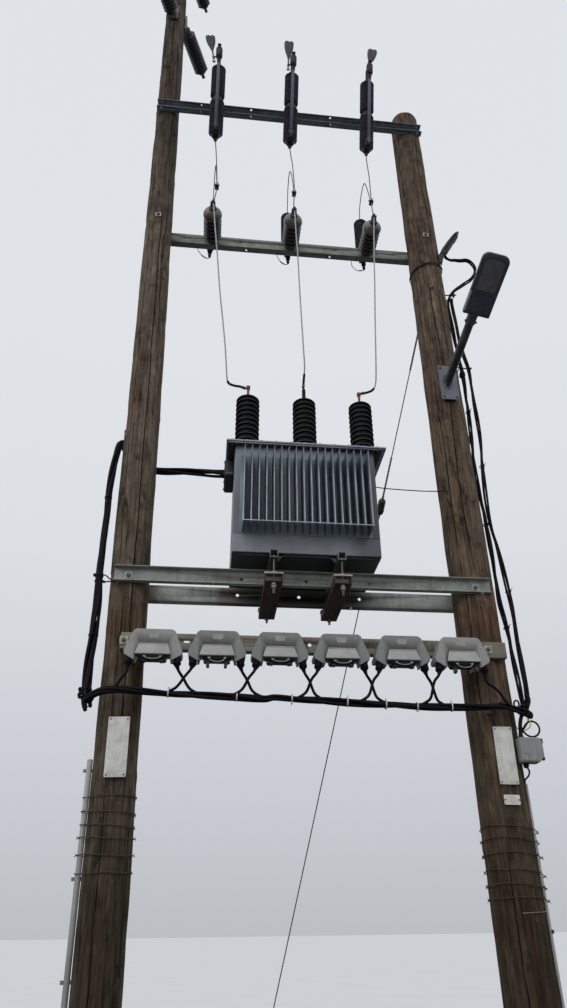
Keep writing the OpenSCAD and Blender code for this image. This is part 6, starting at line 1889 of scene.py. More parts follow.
def carriers():
    for i, x in enumerate(UNIT_X):
        low = i in (1, 5)
        body = "fuse_carrier_%d_body" % (i + 1)
        g = Geo()
        # ribbed cover, a plate that stands before the hood's face: stacked bands, each a little shingled over the next
        zs = [-88.5, -90, -103, -104.0, -115, -116.0, -128, -129.0, -140, -141.0, -152, -153.5]
        rows = []
        for j, z in enumerate(zs):
            t = (z + 88.5) / (-153.5 + 88.5)
            w = 79.5 + 19.0 * t
            y = -287.5 - 19.0 * min(1, t * 1.02) + (1.3 if j % 2 == 0 else 0.0)
            if j in (0, len(zs) - 1):
                w, y = w - 1.2, y + 1.2
            rows.append((w, y, z, -283.6 - 9.0 * t))
        v = []
        for w, y, z, yb in rows:
            c = 2.2
            v += [(-w, yb, z), (-w, y + c, z), (-w + 0.7, y + 0.7, z), (-w + c, y, z), (w - c, y, z), (w - 0.7, y + 0.7, z), (w, y + c, z), (w, yb, z)]
        v = np.array(v, float) + [x, 0, UNIT_TOP]
        n = len(rows)
        f = grid_faces(n, 8)
        base = g.n
        g.add(v, f[:, ::-1], 0, False)
        g.parts.append((np.arange(8) + base, np.array([8]), np.array([0]), np.array([False])))
        g.parts.append(((np.arange(8) + (n - 1) * 8 + base)[::-1], np.array([8]), np.array([1]), np.array([False])))
        # dark lip below the cover
        lip = fillet([(-80, -226), (80, -226), (85, -281), (96, -284.5), (95, -304.5), (-95, -304.5), (-96, -284.5), (-85, -281)],
                     [2, 2, 1.5, 1.5, 3, 3, 1.5, 1.5], 2)
        prism(g, lip, UNIT_TOP - 160.5, UNIT_TOP - 153.3, T(x, 0, 0), 1, 1)
        # fuse-link body with cooling ribs and its two contact prongs
        bd = fillet([(-66, -216), (66, -216), (66, -288), (60, -293), (-60, -293), (-66, -288)], [3, 3, 4, 4, 4, 4], 3)
        prism(g, bd, UNIT_TOP - 166, UNIT_TOP - 104, T(x, 0, 0), 1, 2, steps=[(2, UNIT_TOP - 166), (0, UNIT_TOP - 164), (0, UNIT_TOP - 126), (4, UNIT_TOP - 112), (10, UNIT_TOP - 104)])
        b2 = fillet([(-78, -220), (78, -220), (78, -284), (64, -296), (-64, -296), (-78, -284)], [3, 3, 6, 8, 8, 6], 3)
        prism(g, b2, UNIT_TOP - 184, UNIT_TOP - 159, T(x, 0, 0), 1, 0, steps=[(20, UNIT_TOP - 184), (15, UNIT_TOP - 180), (4, UNIT_TOP - 170), (0, UNIT_TOP - 159)])
        for q in range(-5, 6):
            cbox(g, (x + q * 9 - 2, -297.4, UNIT_TOP - 172), (x + q * 9 + 2, -290, UNIT_TOP - 160), 0.8, 1)
        zl = -214 if low else -193
        for s in (-1, 1):
            pr = fillet([(-9, -178), (9, -178), (8, zl + 6), (4, zl), (-10, zl + 1), (-9, zl + 9)], [1, 1, 3, 3, 3, 2], 3)
            pr = pr * [s, 1] if s > 0 else (pr * [s, 1])[::-1]
            prism(g, pr, 250, 283, T(x + s * 50, 0, UNIT_TOP) @ Z_UP, 1, 2)
            cbox(g, (x + s * 50 - 12, -286, UNIT_TOP - 189), (x + s * 50 + 12, -246, UNIT_TOP - 181), 2, 1)
        # pull handle: a shallow arc between two light lugs
        drop = 22 if low else 13
        th = np.linspace(-1, 1, 25)
        arc = np.array([(x + 44 * math.sin(a * pi / 2), -301.5 + 1.5 * (1 - a * a), UNIT_TOP - 168 - drop * math.cos(a * pi / 2)) for a in th])
        sweep(g, arc, 2.5, 8, 2, round_ends=True)
        for s in (-1, 1):
            cbox(g, (x + s * 44 - 8, -303.5, UNIT_TOP - 172), (x + s * 44 + 8, -292, UNIT_TOP - 163), 3.0, 2)
        # rolled top edge round the hinge pin, and the pin's ends in the hood's cheeks
        cyl(g, 4.1, -78.5, 78.5, 16, T(x, -286.8, UNIT_TOP - 91.4) @ R("Y", 90), 0, 1)
        for s in (-1, 1):
            cyl(g, 2.6, 74, 82, 12, T(x, -284, UNIT_TOP - 94) @ R("Y", 90 * s), 1, 0.6)
        piece(g, "fuse_carrier_%d_moulding" % (i + 1), [M["panel"], M["black_plastic"], M["handle"]], body,
              replaces=["fuse_carrier_%d" % (i + 1)], sharp=30)


def bundle_top(x):
    return 2685 - 0.034 * x


def unit_drop(i, s):
    x, zt = UNIT_X[i], UNIT_TOP - 201
    if i == 5 and s == 1:
        return [[x + s * 134, -236, zt], [x + s * 142, -232, zt - 50], [x + 200, -222, 2712], [x + 245, -214, 2650], [x + 275, -200, 2622]]
    if i == 0 and s == -1:
        return [[x + s * 134, -236, zt], [x + s * 140, -236, zt - 40], [x - 165, -226, 2730], [x - 195, -216, 2680], [x - 215, -208, 2664]]
    b = bundle_top(x + s * 235)
    return [[x + s * 134, -236, zt], [x + s * 146, -234 + s * 8, zt - 24], [x + s * 174, -222 + s * 17, 2744],
            [x + s * 197, -214 + s * 14, b + 34], [x + s * 220, -214 + s * 10, b + 8], [x + s * 258, -214 + s * 6, b - 12]]


RISER_L = [[451, 0, 4250], [380, 20, 4262], [240, 62, 4292], [10, 130, 4332], [-120, 168, 4388], [-220, 148, 4470],
           [-278, 70, 4505], [-298, 10, 4160], [-288, -20, 3815], [-283, -40, 3553], [-278, -50, 3432], [-264, -60, 3235],
           [-262, -70, 3048], [-260, -90, 2859], [-254, -110, 2720], [-244, -126, 2650]]
RISER_R = [[2262, -130, 2620], [2276, -90, 2680], [2290, -40, 2900], [2288, -10, 3200], [2276, 0, 3376], [2280, 0, 3634], [2266, 0, 4016],
           [2258, 0, 4315], [2262, 0, 4524], [2281, 0, 5038], [2282, 0, 5298], [2266, 0, 5557], [2260, 0, 6000], [2270, 0, 6110],
           [2320, 0, 6210], [2410, 0, 6298], [2505, 0, 6388], [2556, 0, 6500], [2535, 0, 6580], [2490, -4, 6612], [2428, -8, 6596], [2372, -14, 6588],
           [2330, -24, 6570], [2289, -42, 6566], [2268, -66, 6580], [2264, -88, 6604], [2276, -104, 6632]]
RISER_Q = [[2272, -130, 2620], [2310, -90, 2690], [2336, -40, 2900], [2346, -10, 3200], [2350, 0, 3380], [2330, 0, 3722], [2304, 0, 4019],
           [2312, 0, 4387], [2336, 0, 4737], [2338, 0, 5043], [2342, 0, 5310], [2316, 0, 5500], [2304, 0, 5650], [2294, 0, 5900], [2292, 0, 6051], [2294, 0, 6120]]
BOX_LEAD = [[2254, -140, 2612], [2230, -146, 2580], [2214, -146, 2530], [2208, -146, 2460]]
BUNDLE = [[-258, -110, 2660], [-246, -130, 2638], [-200, -186, 2652], [-130, -206, 2672], [-10, -210, 2674], [200, -212, 2660], [360, -212, 2652],
          [550, -212, 2646], [730, -212, 2634], [820, -212, 2644], [1150, -212, 2628], [1400, -212, 2616],
          [1740, -212, 2608], [1960, -212, 2616], [2090, -206, 2622], [2190, -180, 2612], [2262, -140, 2604]]


def on_route(pts, f):
    """Point and direction at a fraction of a route's length."""
    q, s = resample(spline(pts, 12), 4)
    i = min(len(q) - 2, max(1, int(f * (len(q) - 1))))
    d = q[i + 1] - q[i - 1]
    return q[i], d / np.linalg.norm(d)


def tie(g, p, d, r, mat=0, tail=30, up=(0.2, -0.3, 1.0), w=5.5, turn=0):
    """Cable tie: band, head and a free tail."""
    m = along(p - d * w / 2, p + d * w / 2)
    pipe(g, r + 2.2, r, 0, w, 22, m, mat, 0.5)
    u = np.array(up, float)
    u -= d * np.dot(u, d)
    u /= np.linalg.norm(u)
    hd = p + u * (r + 4)
    mm = np.eye(4)
    mm[:3, 0], mm[:3, 1], mm[:3, 2], mm[:3, 3] = d, np.cross(u, d), u, hd
    cbox(g, (-5, -5, -4), (5, 5, 5), 1.2, mat, mm)
    if tail:
        t = [hd, hd + u * tail * 0.4 + d * 2, hd + u * tail * 0.8 + d * tail * 0.2 * (1 if turn >= 0 else -1), hd + u * tail + d * tail * 0.35 * (1 if turn >= 0 else -1)]
        sweep(g, spline(t, 4), 1, prof=[(-2.4, -0.7), (2.4, -0.7), (2.4, 0.7), (-2.4, 0.7)], mat=mat, smooth=False)


def low_voltage_cables():
    g = Geo()
    strands(g, spline(BUNDLE, 10), 5, 9.6, 12.2, 1150, 0.6, 9, 0, 16, 0.9, 3)
    strands(g, spline(RISER_L, 10), 7, 9.6, lambda f: np.interp(f, (0, 0.25, 0.33, 0.42, 0.5, 0.7, 0.78, 0.92, 1.0), (19, 19, 16.5, 15.5, 13, 13, 17, 19.5, 19)), 1500, 0.3, 8, 0, 18, 0.7, 5)
    strands(g, spline(RISER_R, 10), 3, 7.6, 8.8, 900, 0.4, 9, 0, 16, 0.8, 7)
    strands(g, spline(RISER_Q, 10), 3, 7.6, 8.8, 1300, 1.4, 9, 0, 18, 0.8, 9)
    q, _ = resample(spline(BOX_LEAD, 10), 8)
    sweep(g, q, 11, 14, 0, round_ends=True)
    for i in range(6):
        for s in (-1, 1):
            q, _ = resample(spline(unit_drop(i, s), 10), 9)
            sweep(g, q, 8.2, 12, 0, round_ends=True)
    # cut end that hangs under the bundle near the right pole
    q, _ = resample(spline([[2030, -226, 2596], [2044, -236, 2582], [2030, -240, 2566], [2004, -238, 2560], [1988, -236, 2566]], 8), 5)
    sweep(g, q, 5.5, 10, 0, round_ends=True)
    piece(g, "low_voltage_cable_runs", [M["cable"]], replaces=["low_voltage_cables"], sharp=60)

    g = Geo()
    q, s = resample(spline(BUNDLE, 12), 4)
    for n, x in enumerate(TIE_X):
        i = int(np.argmin(np.abs(q[:, 0] - x)))
        d = q[i + 1] - q[i - 1]
        d /= np.linalg.norm(d)
        dn = n % 3 == 2
        tie(g, q[i], d, 22.5, 0, 15 if n in (2, 3, 4, 6) else 0, (0.1, -0.25, -1.0 if dn else 1.0), 7, 1 if n % 2 else -1)
    piece(g, "cable_ties", [M["tie"]])

    g = Geo()
    for pts, f, r in ((RISER_L, 0.50, 22.5), (RISER_L, 0.86, 27), (RISER_L, 0.985, 29), (RISER_R, 0.13, 17.5), (RISER_R, 0.30, 17.5),
                      (RISER_R, 0.52, 17.5), (RISER_Q, 0.24, 17.5), (RISER_Q, 0.52, 17.5), (RISER_Q, 0.86, 17.5), (BUNDLE, 0.93, 22.5), (BUNDLE, 0.985, 23)):
        p, d = on_route(pts, f)
        tie(g, p, d, r, 0, 22, (0.3, -1.0, 0.2), 8)
    piece(g, "black_cable_ties", [M["boot"]])


# ---------------------------------------------------- stay, lamp and the rest --
STAY_TOP, STAY_FOOT = np.array([2080, 140, 6090.0]), np.array([829, 3230, 0.0])
TIE_X = (206, 580, 887, 1197, 1418, 1599, 1799)


def on_stay(t):
    return STAY_TOP + (STAY_FOOT - STAY_TOP) * t


def stay():
    g = Geo()
    L = dist(STAY_TOP, STAY_FOOT)

    def wire(t0, t1, r, mat, lay=95, step=24):
        q, _ = resample(np.array([on_stay(t0), on_stay(t1)]), step)
        th = np.arange(18) * 2 * pi / 18
        rr = 1 - 0.16 * (np.arange(18) % 3 == 0)
        real = L * (t1 - t0) / (len(q) - 1)
        sweep(g, q, r, mat=mat, prof=np.stack([np.cos(th) * rr, np.sin(th) * rr], 1), twist=2 * pi * real / lay)

    wire(0.012, 0.2365, 5.2, 0)
    wire(0.2555, 0.992, 5.2, 0)
    # preformed grips: three rods laid round the wire, at the pole, the insulator and the foot
    for t0, t1 in ((0.016, 0.075), (0.185, 0.2325), (0.2595, 0.31), (0.925, 0.99)):
        q, s = resample(np.array([on_stay(t0), on_stay(t1)]), 12)
        _, a, b = frames(q)
        for j in range(4):
            ang = 2 * pi * s / 110 + j * pi / 2
            c = q + (np.cos(ang) * 6.6)[:, None] * a + (np.sin(ang) * 6.6)[:, None] * b
            sweep(g, c, 2.1, 6, 0, round_ends=True)
    # thimbles either side of the insulator
    for t, d in ((0.2345, 1), (0.2575, -1)):
        m = along(on_stay(t), on_stay(t + 0.01 * d))
        torus(g, 15, 4.2, 26, 8, m @ R("X", 90), 1, 0.8, 1.25)
    # eye bolt through the pole
    BACK = np.array([[1, 0, 0, 0], [0, 0, 1, 0], [0, -1, 0, 0], [0, 0, 0, 1]], float)
    cyl(g, 9.5, 131, 150, 16, T(2085, 0, 6090) @ BACK, 1, 1)
    torus(g, 15, 5, 26, 8, T(2083, 152, 6088) @ R("Y", 90), 1)
    nut(g, 16, 132, 143, T(2085, 0, 6090) @ BACK, 1)
    FR = T(2085, -134, 6090) @ R("X", 90)
    bolt_end(g, FR, 17, 4, 15, 12, 9, 8, 1, 1, True)
    piece(g, "stay_wire_and_grips", [M["strand"], M["bolt"]], replaces=["stay_wire"], sharp=50)

    g = Geo()
    m = along(on_stay(0.236), on_stay(0.256))
    h = L * 0.020
    prof = [(0, 0), (14, 0), (21, 4), (27, 14), (31, 28), (32.6, 40)]
    for k in range(3):
        z = 46 + k * 17
        prof += [(29, z), (28.5, z + 4), (32.8, z + 8), (32.8, z + 11)]
    prof += [(31, h - 28), (27, h - 14), (21, h - 4), (14, h), (0, h)]
    lathe(g, prof, 30, m, 0)
    for a, z in ((0, 26), (90, h - 26)):
        torus(g, 9.5, 2.4, 20, 8, m @ T(0, 0, z) @ R("Z", a) @ T(26, 0, 0) @ R("Y", 90), 0)
        torus(g, 9.5, 2.4, 20, 8, m @ T(0, 0, z) @ R("Z", a) @ T(-26, 0, 0) @ R("Y", 90), 0)
    piece(g, "stay_insulator_egg", [M["black_plastic"]], replaces=["stay_insulator"])


LAMP = T(2084, -160, 5055) @ R("Z", 8.2) @ R("X", 65.4)


def lamp():
    g = Geo()
    # wall plate on two stand-off ribs, with its bolts, and the socket of the arm
    pl = fillet([(2027, 4902), (2161, 4902), (2161, 5222), (2027, 5222)], 8, 4)
    PY = np.array([[1, 0, 0, 0], [0, 0, 1, 0], [0, 1, 0, 0], [0, 0, 0, 1]], float)
    prism(g, pl, -160, -154, PY, 0, 1.2)
    for x in (2052, 2124):
        rib = fillet([(x, -154), (x + 14, -154), (x + 14, -112), (x, -112)], 1.5, 2)
        prism(g, rib, 4912, 5212, None, 0, 1)
    for x in (2046, 2142):
        for z in (4925, 5199):
            bolt_end(g, T(x, -160, z) @ R("X", 90), 11, 2, 9, 7, 5, 5, 1, 1, False)
    gus = fillet([(0, -56), (46, 26), (46, 64), (0, 92)], [2, 6, 6, 2], 3)
    for x in (2070, 2098):
        mg = np.array([[0, 0, 1, x - 3 - 4], [-1, 0, 0, -156], [0, 1, 0, 5040], [0, 0, 0, 1]], float)
        prism(g, gus, 0, 6, mg, 1, 1)
    # arm: painted tube with a rounded foot and a step at the neck
    lathe(g, [(0, -6), (12, -5), (24, 0), (30, 10), (30, 330), (31, 334), (31, 340), (30, 344), (30, 470), (32, 474), (32, 500), (0, 500)], 32, LAMP, 2)
    piece(g, "lamp_bracket_and_arm", [M["plate_grey"], M["bolt"], M["arm_grey"]], replaces=["lamp_arm"])

    g = Geo()
    H = LAMP @ R("Z", -10) @ T(12, 0, 500)
    PYL = H @ PY

    def outline(d, z0=40, top=470, w=97, rr=44, r0=10):
        p = [(-w + d, z0 + d), (w - d, z0 + d), (w - d, top - d), (-w + d, top - d)]
        q = fillet(p, [r0, r0, rr, rr], 8)
        # a slight crown at the far end
        q[:, 1] += np.where(q[:, 1] > top - 70, -6 * (q[:, 0] / w) ** 2, 0)
        return q

    full = outline(0)
    k = len(full)
    if area2(full) < 0:
        full = full[::-1]
    lv = [(inset(full, 3.5), -35.5), (inset(full, 0.8), -34), (full, -31), (inset(full, 1.0), -6), (inset(full, 2.6), -4.5), (inset(full, 2.6), -3), (inset(full, 1.2), -1.5),
          (inset(full, 5), 12), (inset(full, 16), 24), (inset(full, 34), 30)]
    v = np.vstack([np.column_stack([q, np.full(k, h)]) for q, h in lv])
    g.add(v, grid_faces(len(lv), k), 0, True, PYL)
    n0 = g.n - len(v)
    g.parts.append((np.arange(k)[::-1][::-1] + n0, np.array([k]), np.array([0]), np.array([False])))
    g.parts.append((np.arange(k)[::-1] + n0 + (len(lv) - 1) * k, np.array([k]), np.array([0]), np.array([False])))

    def rim(o1, o2, y0, y1, mat):
        n = len(o1)
        q = np.vstack([np.column_stack([o1, np.full(n, y1)]), np.column_stack([o1, np.full(n, y0)]), np.column_stack([o2, np.full(n, y0)]), np.column_stack([o2, np.full(n, y1)])])
        f = np.vstack([grid_faces(4, n), np.stack([np.arange(n) + 3 * n, (np.arange(n) + 1) % n + 3 * n, (np.arange(n) + 1) % n, np.arange(n)], 1)])
        g.add(q, f[:, ::-1], mat, False, PYL)

    # optic: raised frame and glass in the far part, service cover in the near part
    gl = fillet([(-82, 206), (82, 206), (82, 446), (-82, 446)], [6, 6, 48, 48], 6)
    if area2(gl) < 0:
        gl = gl[::-1]
    rim(gl, inset(gl, 11), -38, -35, 0)
    prism(g, inset(gl, 11.5), -36.6, -35, PYL, 1, 0.5)
    # four shallow lens bars under the glass
    for a in range(4):
        x = -45 + a * 30
        cbox(g, (x - 9, -37.0, 226), (x + 9, -36.2, 424), 0.4, 1, H)
    cov = fillet([(-80, 56), (80, 56), (80, 188), (-80, 188)], 7, 4)
    prism(g, cov, -37.4, -35, PYL, 0, 1)
    for x in (-66, 66):
        for z in (70, 174):
            lathe(g, [(0, 0), (5.4, 0), (5.4, 1.4), (3.6, 2.6), (0, 2.8)], 14, H @ T(x, -37.2, z) @ R("X", 90), 2)
    cbox(g, (-84, -38.4, 192), (84, -35, 202), 1.2, 0, H)
    # polished strip on the edge, hinge side, and a latch on the other
    cbox(g, (-97.2, -38.4, 60), (-84, -30, 200), 1.2, 4, H)
    cbox(g, (96, -22, 96), (99, 0, 140), 1.2, 0, H)
    # cooling ribs on the back
    for q in range(-5, 6):
        cbox(g, (q * 13 - 1.8, 22, 120), (q * 13 + 1.8, 36, 400), 1.2, 0, H)
    # neck with its two clamp bolts
    lathe(g, [(0, -34), (33, -34), (36, -31), (36, 22), (38, 30), (38, 44), (0, 44)], 30, H @ T(-12, 0, 0), 0)
    for s in (-1, 1):
        bolt_end(g, H @ T(-12 + s * 34, -8, -14) @ R("Y", 90 * s), 9, 2, 8.5, 7, 4, 4, 2, 2, False)
    piece(g, "lamp_head_casting", [M["lamp"], M["lens"], M["bolt"], M["diode"], M["silver"]], replaces=["lamp_head"], sharp=35)


def dead_end():
    g = Geo()
    # thin strap round the pole, lower at the left
    th = np.linspace(0, 2 * pi, 90, endpoint=False)
    r = 141.5
    q = np.stack([r * np.cos(th), r * np.sin(th), 0 * th], 1)
    m = T(RX, 0, 6380) @ R("Y", -13)
    a = np.vstack([np.stack([rr * np.cos(th), rr * np.sin(th), np.full(90, z)], 1) for rr, z in ((140.6, -8), (144, -8), (144, 8), (140.6, 8))])
    i = np.arange(90)
    j = (i + 1) % 90
    f = np.vstack([np.stack([i + s * 90, j + s * 90, j + ((s + 1) % 4) * 90, i + ((s + 1) % 4) * 90], 1) for s in range(4)])
    g.add(a, f, 1, True, m)
    cbox(g, (-16, -148, -12), (14, -139, 12), 2, 1, m @ R("Z", 62))
    # bail
    A, B, Cc = (2204, -104, 6408), (2214, -110, 6500), (2400, -112, 6826)
    ml = along(A, B)
    L = dist(A, B)
    for s in (-1, 1):
        sweep(g, np.array([(ml @ np.array([s * 5, s * 3, -4, 1]))[:3], (ml @ np.array([s * 11, s * 5, L * 0.45, 1]))[:3], (ml @ np.array([s * 14 + 12, s * 6, L + 44, 1]))[:3]]), 4.6, 10, 2, round_ends=True)
    torus(g, 10, 4.2, 24, 8, ml @ T(0, 0, 2) @ R("X", 90), 2)
    # wedge clamp: tapered open body, jaws and their lips
    mw = along(B, Cc)
    body = lambda w, d: [(-w, -d), (w, -d), (w, d), (-w, d)]
    rows = []
    for z, w, d in ((28, 15, 15), (34, 21, 21), (62, 26.6, 26), (180, 27, 26.6), (280, 24, 23), (352, 18, 18), (360, 15, 15)):
        rows.append(np.column_stack([fillet(body(w, d), 7, 3), np.full(16, z)]))
    v = np.vstack(rows)
    base = g.n
    ff = grid_faces(len(rows), 16)
    g.add(v, ff, 0, False, mw)
    g.parts.append((np.arange(16)[::-1] + base, np.array([16]), np.array([0]), np.array([False])))
    g.parts.append((np.arange(16) + base + (len(rows) - 1) * 16, np.array([16]), np.array([0]), np.array([False])))
    # socket that joins the body to the strap
    mc = along((2206, -106, 6424), (2219, -110, 6514))
    rows = [np.column_stack([fillet(body(w, d), 6, 3), np.full(16, z)]) for z, w, d in ((0, 9, 9), (5, 13, 12), (30, 16, 14), (66, 19, 17), (91, 22, 21))]
    base = g.n
    g.add(np.vstack(rows), grid_faces(len(rows), 16), 0, False, mc)
    g.parts.append((np.arange(16)[::-1] + base, np.array([16]), np.array([0]), np.array([False])))
    g.parts.append((np.arange(16) + base + (len(rows) - 1) * 16, np.array([16]), np.array([0]), np.array([False])))
    # jaw pieces sunk into the body, their cross lips and the side bolts
    cbox(g, (-10, -27.4, 66), (10, -21, 330), 2.0, 1, mw)
    for k in range(8):
        cbox(g, (-16, -27.6, 76 + k * 28), (16, -21, 82 + k * 28), 1.4, 0, mw)
    for s in (-1, 1):
        cbox(g, (s * 26 - 2.6, -18, 90), (s * 26 + 2.6, 20, 108), 1.5, 0, mw)
    for k, z in enumerate((236, 272, 306)):
        cbox(g, (18, -12, z), (33 - 2 * k, 4, z + 12), 1.5, 1, mw)
    lathe(g, [(0, 350), (13, 352), (13, 374), (10, 386), (0, 387)], 18, mw, 1)
    piece(g, "dead_end_wedge_and_strap", [M["clamp_grey"], M["boot"], M["strap"]], replaces=["dead_end_clamp"])


def plates():
    g = Geo()
    PY = np.array([[1, 0, 0, 0], [0, 0, 1, 0], [0, 1, 0, 0], [0, 0, 0, 1]], float)

    def plate(x0, x1, z0, z1, y, lean=0.0, screws=((0.1, 0.04), (0.9, 0.04), (0.1, 0.96), (0.9, 0.96)), bend=1.2):
        cx, cz = (x0 + x1) / 2, (z0 + z1) / 2
        w, h = (x1 - x0) / 2, (z1 - z0) / 2
        m = T(cx, y, cz) @ R("Y", lean)
        out = fillet([(-w, -h), (w, -h), (w, h), (-w, h)], 7, 4)
        n = len(out)
        # thin sheet, gently bowed so that the light runs over it
        rows = []
        for f, dy in ((1.0, 2.6), (1.0, 0.9), (0.985, 0.1), (0.5, 0.0), (0.12, 0.0)):
            q = out * [f if f < 0.9 else 1 - (1 - f) * 0.6, f]
            rows.append(np.column_stack([q, dy + bend * (q[:, 1] / h) ** 2 * 0.5 + 0 * q[:, 0]]))
        v = np.vstack(rows)
        base = g.n
        flip = grid_faces(len(rows), n)
        g.add(v, flip[:, ::-1], 0, False, m @ PY)
        g.parts.append((np.arange(n) + base + (len(rows) - 1) * n, np.array([n]), np.array([0]), np.array([False])))
        g.parts.append((np.arange(n)[::-1] + base, np.array([n]), np.array([0]), np.array([False])))
        for fx, fz in screws:
            p = m @ T(-w + 2 * w * fx, 0.4, -h + 2 * h * fz) @ R("X", 90)
            lathe(g, [(0, 0), (5, 0), (5, 0.8), (3.6, 2.2), (0, 2.6)], 14, p, 1)

    plate(-106, 9, 2230, 2546, -139.4, -1.4)
    plate(2046, 2156, 2206, 2521, -148.4, 0.6)
    plate(2053, 2144, 2100, 2152, -148.6, 1.0, ((0.06, 0.5), (0.94, 0.5)), 0.4)
    # bent fixing strips behind the plates
    for z in (2270, 2500):
        cbox(g, (-75, -137, z), (-25, -112 if z > 2400 else -112, z + 12), 1.2, 1)
    for z in (2120, 2250, 2470):
        cbox(g, (2076, -146, z), (2124, -134, z + 12), 1.2, 1)
    piece(g, "blank_pole_plates", [M["enamel"], M["bolt"]], replaces=["pole_plates"])


def junction_box():
    g = Geo()
    PY = np.array([[1, 0, 0, 0], [0, 0, 1, 0], [0, 1, 0, 0], [0, 0, 0, 1]], float)
    out = fillet([(2176, 2318), (2280, 2318), (2312, 2348), (2312, 2436), (2294, 2456), (2176, 2456)], [12, 14, 14, 12, 12, 12], 5)
    prism(g, out, -188, -124, PY, 0, 0, True, None,
          [(9, -188), (5, -187.2), (2.2, -185), (0.8, -181.5), (0.3, -166), (0.3, -160.5), (2.2, -160), (2.2, -157.5), (0.3, -157), (0, -134), (0, -127), (1.8, -124)])
    # front cover with a creased edge and a small latch window, screws, side lugs
    prism(g, fillet([(2181, 2325), (2262, 2325), (2264, 2449), (2181, 2449)], 5, 3), -190.6, -187, PY, 0, 1.2)
    cbox(g, (2186, -191.4, 2362), (2221, -190, 2364), 0.4, 1)
    cbox(g, (2219.4, -191.4, 2330), (2221, -190, 2364), 0.4, 1)
    for x, z in ((2189, 2334), (2256, 2334), (2189, 2441), (2256, 2441)):
        lathe(g, [(0, 0), (4.6, 0), (4.6, 1.6), (3.4, 2.6), (0, 2.8)], 14, T(x, -190, z) @ R("X", 90), 0)
    cbox(g, (2306, -172, 2424), (2322, -154, 2452), 3, 1)
    cbox(g, (2302, -170, 2338), (2314, -152, 2356), 2, 0)
    lathe(g, [(0, 0), (9, 0), (10.5, 2), (10.5, 9), (8, 12), (0, 13)], 18, T(2308, -160, 2344) @ R("Y", 112), 1)
    # saddle towards the pole, gland and entry below and above
    cbox(g, (2200, -126, 2340), (2240, -60, 2448), 2.5, 2)
    cyl(g, 13, 2294, 2319, 20, T(2210, -146, 0), 1, 1.2)
    nut(g, 18, 2303, 2316, T(2210, -146, 0), 1)
    lathe(g, [(17, 2450), (17, 2462), (14.4, 2468), (13, 2470), (11.4, 2486)], 18, T(2208, -146, 0), 1)
    nut(g, 19, 2455, 2464, T(2208, -146, 0), 1)
    piece(g, "junction_box_shell", [M["box"], M["boot"], M["galv_light"]], replaces=["junction_box"], sharp=40)

    # loop from the gland into the conduit, and the spare cores looped above the box
    g = Geo()
    q = spline([(2210, -146, 2300), (2218, -146, 2291), (2225, -142, 2274), (2234, -100, 2260), (2243, -50, 2258), (2249, -10, 2254), (2252, 4, 2242), (2252, 4, 2222)], 8)
    sweep(g, q, 5, 12, 0, round_ends=True)
    q = spline([(2214, -154, 2524), (2224, -158, 2490), (2246, -160, 2469), (2276, -160, 2463), (2306, -160, 2477), (2320, -160, 2507),
                (2309, -160, 2538), (2280, -160, 2551), (2252, -160, 2541), (2228, -158, 2514), (2213, -154, 2486)], 8)
    sweep(g, q, 5.4, 10, 0, round_ends=True)
    q = spline([(2210, -150, 2490), (2226, -156, 2504), (2246, -158, 2530), (2262, -156, 2552), (2268, -150, 2574)], 8)
    sweep(g, q, 4.2, 9, 0, round_ends=True)
    q = spline([(2212, -152, 2480), (2230, -160, 2496), (2250, -165, 2507), (2265, -167, 2522), (2269, -164, 2544), (2258, -156, 2562)], 8)
    sweep(g, q, 3.4, 9, 1, round_ends=True)
    q = spline([(2152, -186, 2602), (2158, -164, 2552), (2172, -158, 2526), (2192, -154, 2511), (2207, -152, 2500)], 8)
    sweep(g, q, 2.6, 8, 0, round_ends=True)
    # cut ends and turned-back cores at both ends of the cable bundle
    for r, pts in ((11, [(-248, -116, 2660), (-266, -118, 2672), (-282, -120, 2690), (-286, -122, 2704)]), (10, [(-252, -118, 2668), (-272, -124, 2676), (-286, -124, 2668), (-280, -124, 2650)]),
                   (11, [(-246, -128, 2660), (-258, -132, 2632), (-252, -134, 2604), (-240, -134, 2578)]), (10, [(-250, -122, 2670), (-262, -126, 2640), (-246, -136, 2612), (-238, -134, 2592)]),
                   (11, [(-226, -124, 2660), (-222, -136, 2630), (-216, -138, 2598)]), (9, [(-240, -130, 2640), (-228, -140, 2620), (-214, -136, 2634), (-206, -132, 2660)]),
                   (11, [(2258, -140, 2616), (2280, -146, 2644), (2292, -148, 2678), (2286, -148, 2704)]), (12, [(2254, -140, 2608), (2276, -148, 2606), (2290, -150, 2592), (2282, -150, 2574)]),
                   (10, [(2256, -140, 2634), (2270, -150, 2620), (2274, -152, 2596), (2260, -152, 2580)]), (9, [(2246, -136, 2650), (2252, -150, 2630), (2244, -154, 2604), (2226, -152, 2590)]),
                   (8, [(2270, -136, 2668), (2282, -144, 2690), (2276, -148, 2712)])):
        sweep(g, spline(pts, 8), r, 12, 0, round_ends=True)
    torus(g, 21, 5, 26, 8, T(2206, -162, 2648) @ R("Z", 18) @ R("Y", 84), 0)
    torus(g, 26, 5, 28, 8, T(2262, -136, 2640), 0)
    torus(g, 27, 5, 28, 8, T(-252, -112, 2688) @ R("Y", 8), 0)
    piece(g, "spare_cable_ends", [M["cable"], M["earth_yellow"]])



